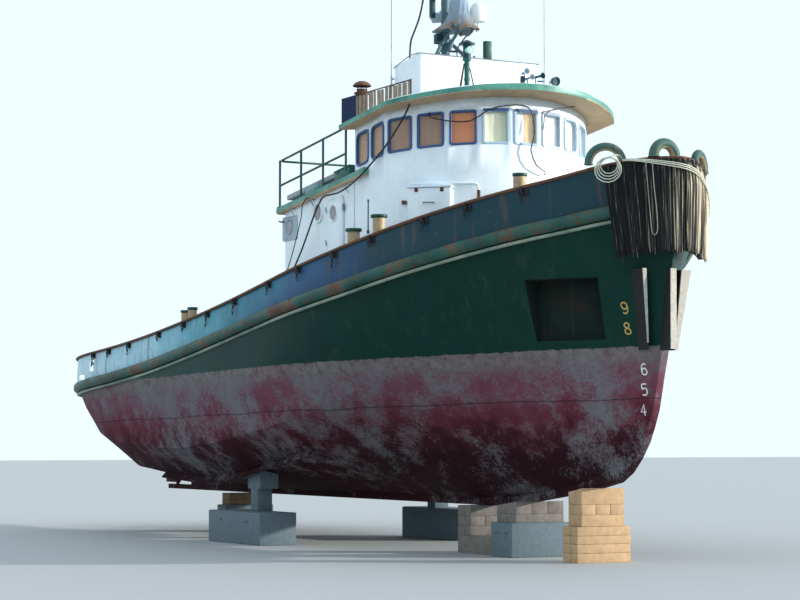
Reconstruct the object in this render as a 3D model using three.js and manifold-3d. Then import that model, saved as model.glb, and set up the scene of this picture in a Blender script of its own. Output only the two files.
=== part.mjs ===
// A steel harbour tugboat of about 20 m, hauled out on keel and bilge blocks.
// Millimetres. +X is towards the bow, +Y to port, +Z up, and the ground is at z = 0.
import * as THREE from "three";
import { mergeVertices } from "three/addons/utils/BufferGeometryUtils.js";
import Module from "manifold-3d";

const wasm = await Module();
wasm.setup();

// Clearances
const GAP = 0.3; // between a piece and what it rests on
const RUNNING = 6; // round a door, lid or blade that moves
const SIDES = [
  ["starboard", -1],
  ["port", 1],
];

// Hull lines, from the stern round to the stem. Beyond aftStart and foreStart the half-breadth closes to
// nothing at aftEnd and foreEnd, by half * (1 - f ** n) ** (1 / m) with f from 0 to 1.
const LINES = {
  bottom: { aftEnd: -7600, foreEnd: 9100, aftStart: -4500, foreStart: 0, half: 0, stern: [2, 2], bow: [2, 1] },
  lowerChine: {
    aftEnd: -7900, foreEnd: 9680, aftStart: -4500, foreStart: 0, half: 2100, stern: [3, 1.8], bow: [1.7, 1],
  },
  upperChine: {
    aftEnd: -9250, foreEnd: 10020, aftStart: -4500, foreStart: 1000, half: 2750,
    stern: [2.6, 2], bow: [1.7, 1],
  },
  side: {
    aftEnd: -9500, foreEnd: 10230, aftStart: -4700, foreStart: 2000, half: 2980,
    stern: [2.6, 2.1], bow: [1.9, 1.15],
  },
  deckEdge: {
    aftEnd: -9600, foreEnd: 10380, aftStart: -5000, foreStart: 3000, half: 3100,
    stern: [2.6, 2.2], bow: [2, 1.3],
  },
  rail: {
    aftEnd: -9640, foreEnd: 10500, aftStart: -5000, foreStart: 3000, half: 3100,
    stern: [2.6, 2.2], bow: [2, 1.35],
  },
};

// Heights of those lines. Columns: x, bottom, lowerChine, upperChine, deckEdge, rail top.
const HEIGHTS = [
  [-9600, 2150, 2200, 2340, 2980, 3600],
  [-8000, 1950, 2050, 2170, 3000, 3640],
  [-6500, 1310, 1460, 2010, 3060, 3690],
  [-5000, 1020, 1310, 1880, 3150, 3765],
  [-3000, 915, 1185, 1750, 3320, 3920],
  [-1000, 900, 1225, 1800, 3550, 4130],
  [1000, 900, 1510, 2010, 3820, 4385],
  [3000, 900, 1880, 2330, 4100, 4690],
  [5000, 900, 2100, 2720, 4380, 5030],
  [7000, 1060, 2170, 2950, 4750, 5420],
  [9000, 1400, 2100, 3030, 5130, 5810],
  [10500, 1750, 1950, 3050, 5380, 6100],
];
const HEIGHT_COLUMNS = ["bottom", "lowerChine", "upperChine", "deckEdge", "rail"];
const SIDE_SHARE = 0.52; // how far the side line lies from the upper chine up to the deck edge
const CAMBER = 80; // rise of the deck at the centreline
const ROUND_FROM = 1500; // ahead of this the chines start to fade into a round bow
const ROUND_TO = 6500;
const COLUMNS = 30; // steps along the hull

// Guard, bulwark and cap rail
const GUARD = { below: 100, height: 200, out: 95 };
const MOULDING = { below: 175, height: 85, out: 25 };
const BULWARK = { thick: 30, knuckleUp: 210, knuckleOut: 25 };
const CAP = { height: 45, out: 45, in: 90 };

// Keel, skeg and stern gear
const KEEL = { half: 60, bottom: 800, skegAft: -7750, soleAft: -9050, soleTop: 920 };
// Its lower edge from where it starts to rise; the last rows run up the stem to the fins.
const FOREFOOT = [
  [5700, 800],
  [7310, 1000],
  [8200, 1120],
  [8870, 1250],
  [9150, 1400],
  [9390, 1620],
  [9590, 1860],
  [9720, 2100],
  [9835, 2350],
  [9905, 2600],
  [9970, 2850],
  [10045, 3100],
  [10085, 3240],
]; // columns: x, z
const SHAFT_Z = 1470;
const PROPELLER = { x: -8130, radius: 540, hub: 130, blades: 4, pitch: 1.05 };
const RUDDER = { x: -8640, fore: -8500, aft: -9300, bottom: 960, top: 2080, half: 45 };

// Houses. They rise towards the bow with the sheer; heights are given at HOUSE_X.
const HOUSE_X = 4000;
const HOUSE_RISE = 0.11;
const WALL = 60;
const HOUSE = { aft: 1000, half: 2000, foot: 3700, wheelAft: 3800, arcX: 3970, arcR: 2200 };
const BOAT_DECK = { aft: 900, fore: 4350, half: 2110, top: 6460, thick: 120 };
const GLASS = 8;
const WINDOW = { sill: 6560, height: 550, width: 430, pitch: 14.3, onArc: 4 };
const SIDE_WINDOWS = [4130, 4670];
const ROOF = { aft: 3720, half: 2250, arcR: 2690, under: 7220, edge: 100, crown: 120, dome: 90 };
const WHEELHOUSE_FLOOR = 5300;

function material(color, roughness, metalness = 0) {
  return new THREE.MeshStandardMaterial({ color, roughness, metalness });
}
const FINISH = {
  hull: () => material(0x2f4f45, 0.6),
  bottom: () => material(0x6e2f3a, 0.8),
  navy: () => material(0x24445c, 0.5),
  rust: () => material(0x5b463a, 0.8),
  white: () => material(0xdfe5e6, 0.5),
  green: () => material(0x1f5a4c, 0.5),
  rubber: () => material(0x1d1d1c, 0.9),
  rope: () => material(0x3a3730, 0.95),
  grey: () => material(0x84888a, 0.6),
  glass: () => material(0x9a6a45, 0.2),
  bronze: () => material(0xa07a45, 0.35, 0.8),
  concrete: () => material(0xa9a69c, 0.9),
  timber: () => material(0x7d6a50, 0.9),
  blue: () => material(0x1c2c44, 0.7),
};

const tug = new THREE.Group();
tug.name = "tugboat";

// Solids

// The closed geometry as a solid that can be joined and cut; triangles of no area are dropped.
function solidOf(geometry) {
  const loose = geometry.index ? geometry.toNonIndexed() : geometry;
  const plain = new THREE.BufferGeometry().setAttribute("position", loose.getAttribute("position"));
  const merged = mergeVertices(plain, 1e-2);
  const corners = merged.index.array;
  const kept = [];
  for (let i = 0; i < corners.length; i += 3) {
    const [a, b, c] = corners.slice(i, i + 3);
    if (a !== b && b !== c && c !== a) kept.push(a, b, c);
  }
  return manifoldOf(merged.attributes.position.array, new Uint32Array(kept));
}

function manifoldOf(vertProperties, triVerts) {
  return new wasm.Manifold(new wasm.Mesh({ numProp: 3, vertProperties, triVerts }));
}

function geometryOf(solid) {
  const mesh = solid.getMesh();
  const geometry = new THREE.BufferGeometry();
  geometry.setAttribute("position", new THREE.BufferAttribute(Float32Array.from(mesh.vertProperties), 3));
  geometry.setIndex(new THREE.BufferAttribute(Uint32Array.from(mesh.triVerts), 1));
  geometry.computeVertexNormals();
  return geometry;
}

function add(name, solid, finish) {
  const mesh = new THREE.Mesh(geometryOf(solid), finish());
  mesh.name = name;
  tug.add(mesh);
}

const ascending = (a, b) => a - b;
const union = (solids) => solids.reduce((all, next) => all.add(next));

function block(x0, x1, y0, y1, z0, z1) {
  const box = new THREE.BoxGeometry(x1 - x0, y1 - y0, z1 - z0);
  return solidOf(box.translate((x0 + x1) / 2, (y0 + y1) / 2, (z0 + z1) / 2));
}

// A box of the given length, width and height, turned about its own middle and set down with it at x, y.
function turnedBlock(length, width, x, y, z0, z1, angle) {
  const box = new THREE.BoxGeometry(length, width, z1 - z0);
  return solidOf(box.rotateZ(angle).translate(x, y, (z0 + z1) / 2));
}

function post(radius, x, y, z0, z1, sides = 12) {
  const cylinder = new THREE.CylinderGeometry(radius, radius, z1 - z0, sides);
  return solidOf(cylinder.rotateX(Math.PI / 2).translate(x, y, (z0 + z1) / 2));
}

// A round rod between two points.
function rod(from, to, radius, sides = 6) {
  const start = new THREE.Vector3(...from);
  const end = new THREE.Vector3(...to);
  const cylinder = new THREE.CylinderGeometry(radius, radius, start.distanceTo(end), sides);
  const up = new THREE.Vector3(0, 1, 0);
  const along = end.clone().sub(start).normalize();
  cylinder.applyQuaternion(new THREE.Quaternion().setFromUnitVectors(up, along));
  const middle = start.add(end).multiplyScalar(0.5);
  return solidOf(cylinder.translate(middle.x, middle.y, middle.z));
}

const rods = (points, radius, sides) => union(points.slice(1).map((p, i) => rod(points[i], p, radius, sides)));

// A profile of [radius, height] pairs spun about an upright axis at x, y.
function turned(profile, x, y, z = 0, sides = 16) {
  const points = profile.map(([r, h]) => new THREE.Vector2(r, h));
  return solidOf(new THREE.LatheGeometry(points, sides).rotateX(Math.PI / 2).translate(x, y, z));
}

// An outline of [x, y] pairs raised from z0 to z1.
function prism(outline, z0, z1) {
  const shape = new THREE.Shape(outline.map(([x, y]) => new THREE.Vector2(x, y)));
  const raised = new THREE.ExtrudeGeometry(shape, { depth: z1 - z0, bevelEnabled: false });
  return solidOf(raised.translate(0, 0, z0));
}

// An outline of [x, z] pairs given a thickness in y.
function slab(outline, y0, y1) {
  const shape = new THREE.Shape(outline.map(([x, z]) => new THREE.Vector2(x, z)));
  const plate = new THREE.ExtrudeGeometry(shape, { depth: y1 - y0, bevelEnabled: false });
  return solidOf(plate.rotateX(Math.PI / 2).translate(0, y1, 0));
}

// Moves each point up by HOUSE_RISE of its distance ahead of HOUSE_X.
function risen(solid) {
  const mesh = solid.getMesh();
  const points = Float32Array.from(mesh.vertProperties);
  for (let i = 0; i < points.length; i += 3) points[i + 2] += HOUSE_RISE * (points[i] - HOUSE_X);
  return manifoldOf(points, Uint32Array.from(mesh.triVerts));
}

const riseAt = (x) => HOUSE_RISE * (x - HOUSE_X);

// Lofts along the boat

const heights = new THREE.CubicInterpolant(
  HEIGHTS.map((row) => row[0]),
  HEIGHTS.flatMap((row) => row.slice(1)),
  HEIGHT_COLUMNS.length,
);

function heightAt(name, x) {
  const values = heights.evaluate(x);
  const column = (key) => values[HEIGHT_COLUMNS.indexOf(key)];
  if (name !== "side") return column(name);
  return THREE.MathUtils.lerp(column("upperChine"), column("deckEdge"), SIDE_SHARE);
}

const closing = (f, [n, m]) => Math.max(0, 1 - Math.min(1, f) ** n) ** (1 / m);

function halfBreadth(line, x) {
  const { aftEnd, foreEnd, aftStart, foreStart, half, stern, bow } = line;
  if (x > foreStart) return half * closing((x - foreStart) / (foreEnd - foreStart), bow);
  if (x < aftStart) return half * closing((aftStart - x) / (aftStart - aftEnd), stern);
  return half;
}

// The line grown outwards by a distance, or drawn in by a negative one. A sharp stem moves further than a side.
const STEM_SHARE = 1.6;
function grown(line, out) {
  const ends = { aftEnd: line.aftEnd - out, foreEnd: line.foreEnd + out * STEM_SHARE };
  return { ...line, ...ends, half: line.half === 0 ? 0 : line.half + out };
}

// A row of points along one line: for t from 0 at the stern to 1 at the stem, [x, y, z] on the port side.
function row(name, { out = 0, up = 0, heightOf = name } = {}) {
  const line = grown(LINES[name], out);
  return (t) => {
    const x = THREE.MathUtils.lerp(line.aftEnd, line.foreEnd, (1 - Math.cos(Math.PI * t)) / 2);
    return [x, halfBreadth(line, x), heightAt(heightOf, x) + up];
  };
}

// A closed form through rows of port-side points, mirrored to starboard. Its ends close where the rows meet
// the centreline, or by a flat cap.
function lofted(rows, { columns = COLUMNS, capAft = false } = {}) {
  const rings = [];
  for (let c = 0; c <= columns; c++) {
    const port = rows.map((at) => at(c / columns));
    const starboard = port.map(([x, y, z]) => [x, -y, z]).reverse();
    rings.push([...port, ...starboard]);
  }
  const points = [];
  const count = rings[0].length;
  const face = (...corners) => corners.forEach((corner) => points.push(...corner));
  for (let c = 0; c < columns; c++) {
    for (let j = 0; j < count; j++) {
      const k = (j + 1) % count;
      const [a, b, d, e] = [rings[c][j], rings[c][k], rings[c + 1][j], rings[c + 1][k]];
      face(a, e, b);
      face(a, d, e);
    }
  }
  if (capAft) {
    const middle = [0, 1, 2].map((i) => rings[0].reduce((sum, p) => sum + p[i], 0) / count);
    rings[0].forEach((p, j) => face(p, rings[0][(j + 1) % count], middle));
  }
  const geometry = new THREE.BufferGeometry();
  geometry.setAttribute("position", new THREE.BufferAttribute(new Float32Array(points), 3));
  const solid = solidOf(geometry);
  return solid.volume() < 0 ? insideOut(solid) : solid;
}

function insideOut(solid) {
  const mesh = solid.getMesh();
  const corners = Uint32Array.from(mesh.triVerts);
  for (let i = 0; i < corners.length; i += 3) {
    [corners[i + 1], corners[i + 2]] = [corners[i + 2], corners[i + 1]];
  }
  return manifoldOf(Float32Array.from(mesh.vertProperties), corners);
}

// Hull

const HULL_LINES = ["bottom", "lowerChine", "upperChine", "side", "deckEdge"];

// The point halfway between two hull lines: on the flat plate aft, and pushed out to a round frame forward.
function between(before, from, to, after) {
  return (t) => {
    const [p0, p1, p2, p3] = [before, from, to, after].map((at) => at(t));
    const roundness = THREE.MathUtils.smoothstep(p1[0], ROUND_FROM, ROUND_TO) / 16;
    return p1.map((value, i) => (value + p2[i]) / 2 + roundness * (value + p2[i] - p0[i] - p3[i]));
  };
}

function hullRows(out) {
  const lines = HULL_LINES.map((name) => row(name, { out, up: name === "deckEdge" ? out : -out }));
  const mirroredChine = (t) => lines[1](t).map((value, i) => (i === 1 ? -value : value));
  const beyondDeck = (t) => lines[4](t).map((value, i) => 2 * value - lines[3](t)[i]);
  const chain = [mirroredChine, ...lines, beyondDeck];
  const rows = [];
  for (let i = 1; i < chain.length - 2; i++) rows.push(chain[i], between(...chain.slice(i - 1, i + 3)));
  return [...rows, lines[4], cambered(lines[4])];
}

// The centreline of a deck whose edge is the given row.
function cambered(edge) {
  return (t) => {
    const [x, y, z] = edge(t);
    return [x, 0, z + (CAMBER * y) / LINES.deckEdge.half];
  };
}

const hullSpace = lofted(hullRows(GAP)); // the hull with the gap that its fittings keep
const onDeck = (solid) => solid.subtract(hullSpace);
const deckAt = (x) => heightAt("deckEdge", x);
const SINK = 150; // how far a fitting is drawn below the deck edge before it is cut to sit on the deck

const ANCHOR_POCKET = {
  x: 8860, y: 1030, length: 1200, z0: 3420, z1: 4350, angle: 0.52, deep: 1000, reach: 150,
};

function anchorPocket(side) {
  const { x, y, length, z0, z1, angle, deep, reach } = ANCHOR_POCKET;
  const outX = Math.sin(angle) * reach;
  const outY = Math.cos(angle) * reach;
  return turnedBlock(length, deep, x + outX, side * (y + outY), z0, z1, -side * angle);
}

function hull() {
  return lofted(hullRows(0)).subtract(anchorPocket(-1)).subtract(anchorPocket(1));
}

// The bar keel from the forefoot aft, the skeg that carries the shaft, and the sole under the rudder.
function keelAndSkeg() {
  const { half, bottom, skegAft, soleAft, soleTop } = KEEL;
  const outline = [
    [soleAft, bottom + 20],
    ...FOREFOOT,
    [9800, 3240],
    [9500, 2300],
    [8800, 2000],
    [-6500, 2000],
    [skegAft, 2000],
    [skegAft, soleTop],
    [soleAft, soleTop],
  ];
  const tubeEnd = rod([skegAft - 60, 0, SHAFT_Z], [-6500, 0, SHAFT_Z], 130, 16);
  const heel = post(90, RUDDER.x, 0, bottom + 30, soleTop);
  return slab(outline, -half, half).add(tubeEnd).add(heel).subtract(hullSpace).subtract(shaftSpace());
}

const SHAFT = { radius: 50, fore: -7250, play: 0.8 };
function shaftSpace() {
  return rod([-9000, 0, SHAFT_Z], [SHAFT.fore + 10, 0, SHAFT_Z], SHAFT.radius + SHAFT.play, 20);
}

// Four blades on a hub, pitched, with the tail shaft that runs into the stern tube.
function propeller() {
  const { x, radius, hub, blades } = PROPELLER;
  const boss = rod([x - 130, 0, SHAFT_Z], [x + 110, 0, SHAFT_Z], hub, 20);
  const nut = rod([x - 200, 0, SHAFT_Z], [x - 120, 0, SHAFT_Z], 65, 12);
  const shaft = rod([x, 0, SHAFT_Z], [SHAFT.fore, 0, SHAFT_Z], SHAFT.radius, 20);
  const pieces = [boss, nut, shaft];
  const outline = new THREE.Shape([
    new THREE.Vector2(-90, 60),
    new THREE.Vector2(90, 60),
    new THREE.Vector2(190, 260),
    new THREE.Vector2(180, 430),
    new THREE.Vector2(90, radius - 15),
    new THREE.Vector2(0, radius),
    new THREE.Vector2(-90, radius - 15),
    new THREE.Vector2(-180, 430),
    new THREE.Vector2(-190, 260),
  ]);
  for (let i = 0; i < blades; i++) {
    const blade = new THREE.ExtrudeGeometry(outline, { depth: 28, bevelEnabled: false }).translate(0, 0, -14);
    blade.rotateX(Math.PI / 2).rotateZ(PROPELLER.pitch).rotateX((i * 2 * Math.PI) / blades + Math.PI / 4);
    pieces.push(solidOf(blade.translate(x, 0, SHAFT_Z)));
  }
  return union(pieces);
}

function rudder() {
  const { x, fore, aft, bottom, top, half } = RUDDER;
  const blade = prism(
    [
      [fore, 0],
      [fore - 60, -half],
      [x - 100, -half],
      [aft, -12],
      [aft, 12],
      [x - 100, half],
      [fore - 60, half],
    ],
    bottom,
    top,
  );
  const pintle = post(40, x, 0, KEEL.soleTop + GAP, bottom + 20);
  const stock = post(55, x, 0, top - 20, STOCK_TOP);
  return union([blade, pintle, stock]);
}
const STOCK_TOP = 2300; // inside its trunk in the counter
const rudderTrunk = () => post(55 + RUNNING / 2, RUDDER.x, 0, 1900, STOCK_TOP + RUNNING, 20);

// A flat bar that stands square off the lower chine through the middle of the boat.
function bilgeKeel(side) {
  const stations = [-4200, -2600, -1000, 600, 2200];
  const line = LINES.lowerChine;
  const reach = 170;
  const thick = 24;
  const sections = stations.map((x) => {
    const y = halfBreadth(line, x) - 30;
    const z = heightAt("lowerChine", x) + 20;
    return [
      [x, y, z],
      [x, y + reach * 0.72, z - reach * 0.72],
      [x, y + reach * 0.72 + thick, z - reach * 0.72 + thick],
      [x, y + thick, z + thick],
    ];
  });
  return skinned(sections.map((section) => section.map(([x, y, z]) => [x, side * y, z]))).subtract(hullSpace);
}

// A closed solid through sections of four corners each, capped at both ends.
function skinned(sections) {
  const points = [];
  const face = (...corners) => corners.forEach((corner) => points.push(...corner));
  for (let s = 0; s + 1 < sections.length; s++) {
    for (let j = 0; j < 4; j++) {
      const k = (j + 1) % 4;
      face(sections[s][j], sections[s + 1][k], sections[s][k]);
      face(sections[s][j], sections[s + 1][j], sections[s + 1][k]);
    }
  }
  const first = sections[0];
  const last = sections[sections.length - 1];
  face(first[0], first[1], first[2]);
  face(first[0], first[2], first[3]);
  face(last[0], last[2], last[1]);
  face(last[0], last[3], last[2]);
  const geometry = new THREE.BufferGeometry();
  geometry.setAttribute("position", new THREE.BufferAttribute(new Float32Array(points), 3));
  const solid = solidOf(geometry);
  return solid.volume() < 0 ? insideOut(solid) : solid;
}

// The filled outline of the bulwark from the deck to inside its cap rail, or carried further both ways.
function bulwarkForm(out, further = 0) {
  const { knuckleUp, knuckleOut } = BULWARK;
  const edge = row("deckEdge", { out, up: GAP });
  const foot = further ? row("deckEdge", { out, up: -further }) : cambered(edge);
  const head = further ? [row("rail", { out, up: further })] : [];
  return lofted([
    foot,
    edge,
    row("deckEdge", { out: out + knuckleOut, up: knuckleUp }),
    row("rail", { out, up: -CAP.height / 2 }),
    ...head,
  ]);
}

const FREEING_PORTS = [-8750, -7750, -6750]; // their middles, low in the bulwark on each quarter
const FREEING = { length: 620, up: 90, height: 130 };
const MOORING_PORT = { x: -5900, length: 300, up: 230, height: 230 };

function bulwark() {
  const outer = bulwarkForm(0);
  const inner = bulwarkForm(-BULWARK.thick, 400);
  let shell = outer.subtract(inner).subtract(capForm(GAP));
  for (const [, side] of SIDES) {
    for (const x of FREEING_PORTS) shell = shell.subtract(bulwarkSlot(x, side, FREEING));
    shell = shell.subtract(bulwarkSlot(MOORING_PORT.x, side, MOORING_PORT));
  }
  return shell;
}

// A box through the bulwark, turned square to it.
function bulwarkSlot(x, side, { length, up, height }) {
  const line = LINES.deckEdge;
  const slope = (halfBreadth(line, x + 100) - halfBreadth(line, x - 100)) / 200;
  const z = deckAt(x) + up;
  return turnedBlock(length, 500, x, side * halfBreadth(line, x), z, z + height, side * Math.atan(slope));
}

function guardForm(out) {
  const { below, height } = GUARD;
  const at = (share, outward) =>
    row("deckEdge", { out: outward, up: -below + share * height + (2 * share - 1) * out });
  const outwards = GUARD.out + out;
  const [foot, head] = [0, 1].map((share) => [at(share, -110), at(share, 40 + out)]);
  return lofted([...foot, at(0.3, outwards), at(0.7, outwards), ...head.reverse()]);
}

const bulwarkSpace = bulwarkForm(GAP, 300);
const besideHull = (solid) => solid.subtract(hullSpace).subtract(bulwarkSpace);

// The bar that is welded under the guard.
function mouldingForm(out) {
  const { below, height } = MOULDING;
  const at = (share, outward) =>
    row("deckEdge", { out: outward, up: -below + share * height + (2 * share - 1) * out });
  const outwards = MOULDING.out + out;
  return lofted([at(0, -260), at(0, -25 + out), at(0.4, outwards), at(1, outwards), at(1, -260)]);
}

const guardBelt = () => besideHull(guardForm(0).add(mouldingForm(0)));

function capForm(out) {
  const outwards = CAP.out + out;
  const under = row("rail", { out: outwards, up: -CAP.height - out });
  return lofted([under, row("rail", { out: outwards, up: out })]);
}

// The lengths that the guard, the bulwark and the cap rail are welded up from.
const LENGTH_END = 4600; // the waist is nearly straight as far as this, fore and aft
const LENGTHS = [
  ["fore", LENGTH_END, 12000, -4000, 4000],
  ["waist_starboard", -LENGTH_END, LENGTH_END - GAP, -4000, 0],
  ["waist_port", -LENGTH_END, LENGTH_END - GAP, 0, 4000],
  ["aft", -12000, -LENGTH_END - GAP, -4000, 4000],
]; // columns: name, aft, fore, starboard, port
function lengthOf(solid, aft, fore, starboard, port) {
  return solid.intersect(block(aft, fore, starboard, port, 0, 9000));
}

function capRail() {
  const middle = lofted([row("rail", { out: -CAP.in, up: -200 }), row("rail", { out: -CAP.in, up: 200 })]);
  return capForm(0).subtract(middle);
}

// The rope fender that hangs round the stem from the cap rail.
const PUDDING = { aft: 9920, out: 130, top: -70, bottom: -1350, waist: -650 };

function bowPudding() {
  const { aft, out, top, bottom, waist } = PUDDING;
  const blank = lofted([
    row("rail", { out: out * 0.7, up: bottom }),
    row("rail", { out, up: waist }),
    row("rail", { out: out * 0.85, up: top }),
  ]).intersect(block(aft, 12000, -3000, 3000, 3000, 8000));
  return besideHull(blank).subtract(guardForm(GAP)).subtract(capForm(GAP)).subtract(mouldingForm(GAP));
}

// Three upright rubber fins on the stem below it. The outer two lean in with the flare and rake aft at the foot.
const STEM_FIN = { foot: 3250, head: 4450, aft: 9300 };
const STEM_FINS = [
  ["starboard", -1, { fore: 9900, inner: 290, outer: 350 }, { fore: 10120, inner: 360, outer: 500 }],
  ["centre", 1, { fore: 10290, inner: -60, outer: 60 }, { fore: 10300, inner: -60, outer: 60 }],
  ["port", 1, { fore: 9900, inner: 290, outer: 350 }, { fore: 10120, inner: 360, outer: 500 }],
]; // columns: name, side, the section at its foot, the section at its head

function stemFin(side, footSection, headSection) {
  const { foot, head, aft } = STEM_FIN;
  const section = ({ fore, inner, outer }, z) => [
    [aft, side * inner, z],
    [fore, side * inner, z],
    [fore, side * outer, z],
    [aft, side * outer, z],
  ];
  return skinned([section(footSection, foot), section(headSection, head)]).subtract(hullSpace);
}

// A pipe hoop on the cap rail, across which a line leads.
const CHOCKS = [
  ["bow_chock_centre", 10330, -170, Math.PI / 2, 190, 80],
  ["bow_chock_starboard", 9790, -860, 0.95, 255, 62],
  ["bow_chock_port", 9790, 860, -0.95, 255, 62],
]; // columns: name, x, y, angle of the hoop to the keel line, radius, pipe radius

function chock(x, y, angle, radius, pipe) {
  const ring = new THREE.TorusGeometry(radius, pipe, 8, 20).rotateX(Math.PI / 2).rotateZ(angle);
  return solidOf(ring.translate(x, y, heightAt("rail", x) + 20)).subtract(underRail).subtract(capForm(GAP));
}

// Everything as high as the top of the cap rail, well past its sides.
const underRail = lofted([row("rail", { out: 700, up: -1500 }), row("rail", { out: 700, up: GAP })]);

// Houses

// The outline of the wheelhouse, drawn in by an inset: straight sides and a round front.
function wheelhouseOutline(inset, arc = HOUSE.arcR, half = HOUSE.half, aft = HOUSE.wheelAft, steps = 18) {
  const radius = arc - inset;
  const side = half - inset;
  const reach = Math.asin(side / radius);
  const outline = [[aft + inset, side], [aft + inset, -side]];
  for (let i = 0; i <= steps; i++) {
    const angle = THREE.MathUtils.lerp(-reach, reach, i / steps);
    outline.push([HOUSE.arcX + radius * Math.cos(angle), radius * Math.sin(angle)]);
  }
  return outline;
}

// The roof's form: its half-breadth follows the brim, and it is crowned across and domed on top.
function roofForm(out, up, thick) {
  const { aft, half, arcR, under, crown, dome } = ROOF;
  const foreEnd = HOUSE.arcX + arcR + out;
  const at = (share, z, rise) => (t) => {
    const x = THREE.MathUtils.lerp(aft - out, foreEnd, Math.sin((t * Math.PI) / 2));
    const arc = Math.sqrt(Math.max(0, (arcR + out) ** 2 - (x - HOUSE.arcX) ** 2));
    const y = share * Math.min(half + out, arc);
    return [x, y, z + crown * (1 - (y / half) ** 2) + rise * (1 - share ** 2)];
  };
  const bottom = [0, 0.35, 0.7, 1].map((share) => at(share, under + up, 0));
  const top = [1, 0.75, 0.4, 0].map((share) => at(share, under + up + thick, dome));
  return risen(lofted([...bottom, ...top], { columns: 14, capAft: true }));
}

const WALL_TOP = 7700; // before the room under the roof is cut from the walls

function wheelhouse() {
  const { foot } = HOUSE;
  const room = prism(wheelhouseOutline(WALL), foot - 1, WALL_TOP + 1);
  let shell = prism(wheelhouseOutline(0), foot, WALL_TOP).subtract(room);
  const { sill, height, width } = WINDOW;
  const openings = [];
  const step = THREE.MathUtils.degToRad(WINDOW.pitch);
  for (let i = -WINDOW.onArc; i <= WINDOW.onArc; i++) {
    const x = HOUSE.arcX + HOUSE.arcR * Math.cos(i * step);
    const y = HOUSE.arcR * Math.sin(i * step);
    openings.push(turnedBlock(400, width, x, y, sill, sill + height, i * step));
  }
  for (const x of SIDE_WINDOWS) {
    const across = [-HOUSE.half - 200, HOUSE.half + 200];
    openings.push(block(x - width / 2, x + width / 2, ...across, sill, sill + height));
  }
  for (const y of [-1150, 0, 1150]) {
    const wall = HOUSE.wheelAft;
    openings.push(block(wall - 200, wall + 200, y - 260, y + 260, sill + 60, sill + height));
  }
  for (const opening of openings) shell = shell.subtract(opening);
  return onDeck(risen(shell)).subtract(roofForm(GAP, -GAP, 1500));
}

function glazing() {
  const inset = WALL + GAP;
  const low = WINDOW.sill - 40;
  const high = WINDOW.sill + WINDOW.height + 40;
  const behind = prism(wheelhouseOutline(inset + GLASS), low - 1, high + 1);
  return risen(prism(wheelhouseOutline(inset), low, high).subtract(behind));
}

function wheelhouseFloor() {
  return risen(prism(wheelhouseOutline(WALL + GAP), WHEELHOUSE_FLOOR - 50, WHEELHOUSE_FLOOR));
}

// Deckhouse doors: columns are name and side. The leaf hangs outside its frame on two barrels.
const DOOR = {
  aft: 2840, fore: 3450, sill: 4420, head: 6140, thick: 45, standOff: 12, barrel: 20, overlap: 45,
};
const HINGE_HEIGHTS = [4750, 5900];
const hingeX = DOOR.fore + 30;
const hingeY = HOUSE.half + DOOR.standOff + DOOR.thick / 2;

function doorway(side) {
  const { aft, fore, sill, head, overlap } = DOOR;
  const y = side * HOUSE.half;
  return block(aft + overlap, fore - overlap, y - 200, y + 200, sill + overlap, head - overlap);
}

function door(side) {
  const { aft, fore, sill, head, thick, standOff, barrel } = DOOR;
  const near = side * (HOUSE.half + standOff);
  const far = side * (HOUSE.half + standOff + thick);
  const leaf = block(aft, fore, Math.min(near, far), Math.max(near, far), sill, head);
  const barrels = HINGE_HEIGHTS.map((z) => {
    const strap = block(fore - 60, hingeX, side * hingeY - 8, side * hingeY + 8, z, z + 60);
    return post(barrel, hingeX, side * hingeY, z, z + 60, 16).add(strap);
  });
  return union([leaf, ...barrels]);
}

// The lugs on the house wall that the door's barrels turn on.
function doorLugs(side) {
  return union(
    HINGE_HEIGHTS.map((z) => {
      const low = z - 50;
      const high = z - GAP;
      const wall = side * (HOUSE.half - 20);
      const axis = side * hingeY;
      const web = block(hingeX - 8, hingeX + 8, Math.min(wall, axis), Math.max(wall, axis), low, high);
      return post(DOOR.barrel, hingeX, axis, low, high, 16).add(web);
    }),
  );
}

function deckhouse() {
  const { aft, half, foot, wheelAft } = HOUSE;
  const top = BOAT_DECK.top - BOAT_DECK.thick - GAP;
  const fore = wheelAft - GAP;
  const walls = block(aft, fore, -half, half, foot - 400, top)
    .subtract(block(aft + WALL, fore + 10, -half + WALL, half - WALL, foot - 500, top + 10));
  let shell = onDeck(risen(walls));
  for (const [, side] of SIDES) shell = shell.subtract(doorway(side)).add(doorLugs(side));
  return shell;
}

function boatDeck() {
  const { aft, fore, half, top, thick } = BOAT_DECK;
  const notch = prism(wheelhouseOutline(-GAP * 2), top - 500, top + 500);
  return risen(block(aft, fore, -half, half, top - thick, top).subtract(notch));
}

// Two rails of pipe down each side of the boat deck; the upper one also closes its aft end, over the platform.
const RAILING = {
  in: 60, aft: 960, fore: 3600, middle: 400, top: 850, pipe: 20, posts: [960, 1840, 2720, 3600],
};

function railing() {
  const { aft, fore, middle, top, pipe, posts } = RAILING;
  const y = BOAT_DECK.half - RAILING.in;
  const foot = BOAT_DECK.top + GAP;
  const head = foot + top;
  const pieces = [rods([[fore, -y, head], [aft, -y, head], [aft, y, head], [fore, y, head]], pipe)];
  for (const side of [-1, 1]) {
    pieces.push(rod([fore, side * y, foot + middle], [aft, side * y, foot + middle], pipe));
    for (const x of posts) pieces.push(post(pipe + 2, x, side * y, foot, head + 20, 8));
  }
  return risen(union(pieces));
}

// A platform on four legs over the aft end of the boat deck.
const RACK = { aft: -100, fore: 2150, half: 1400, up: 480, thick: 90 };

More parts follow.
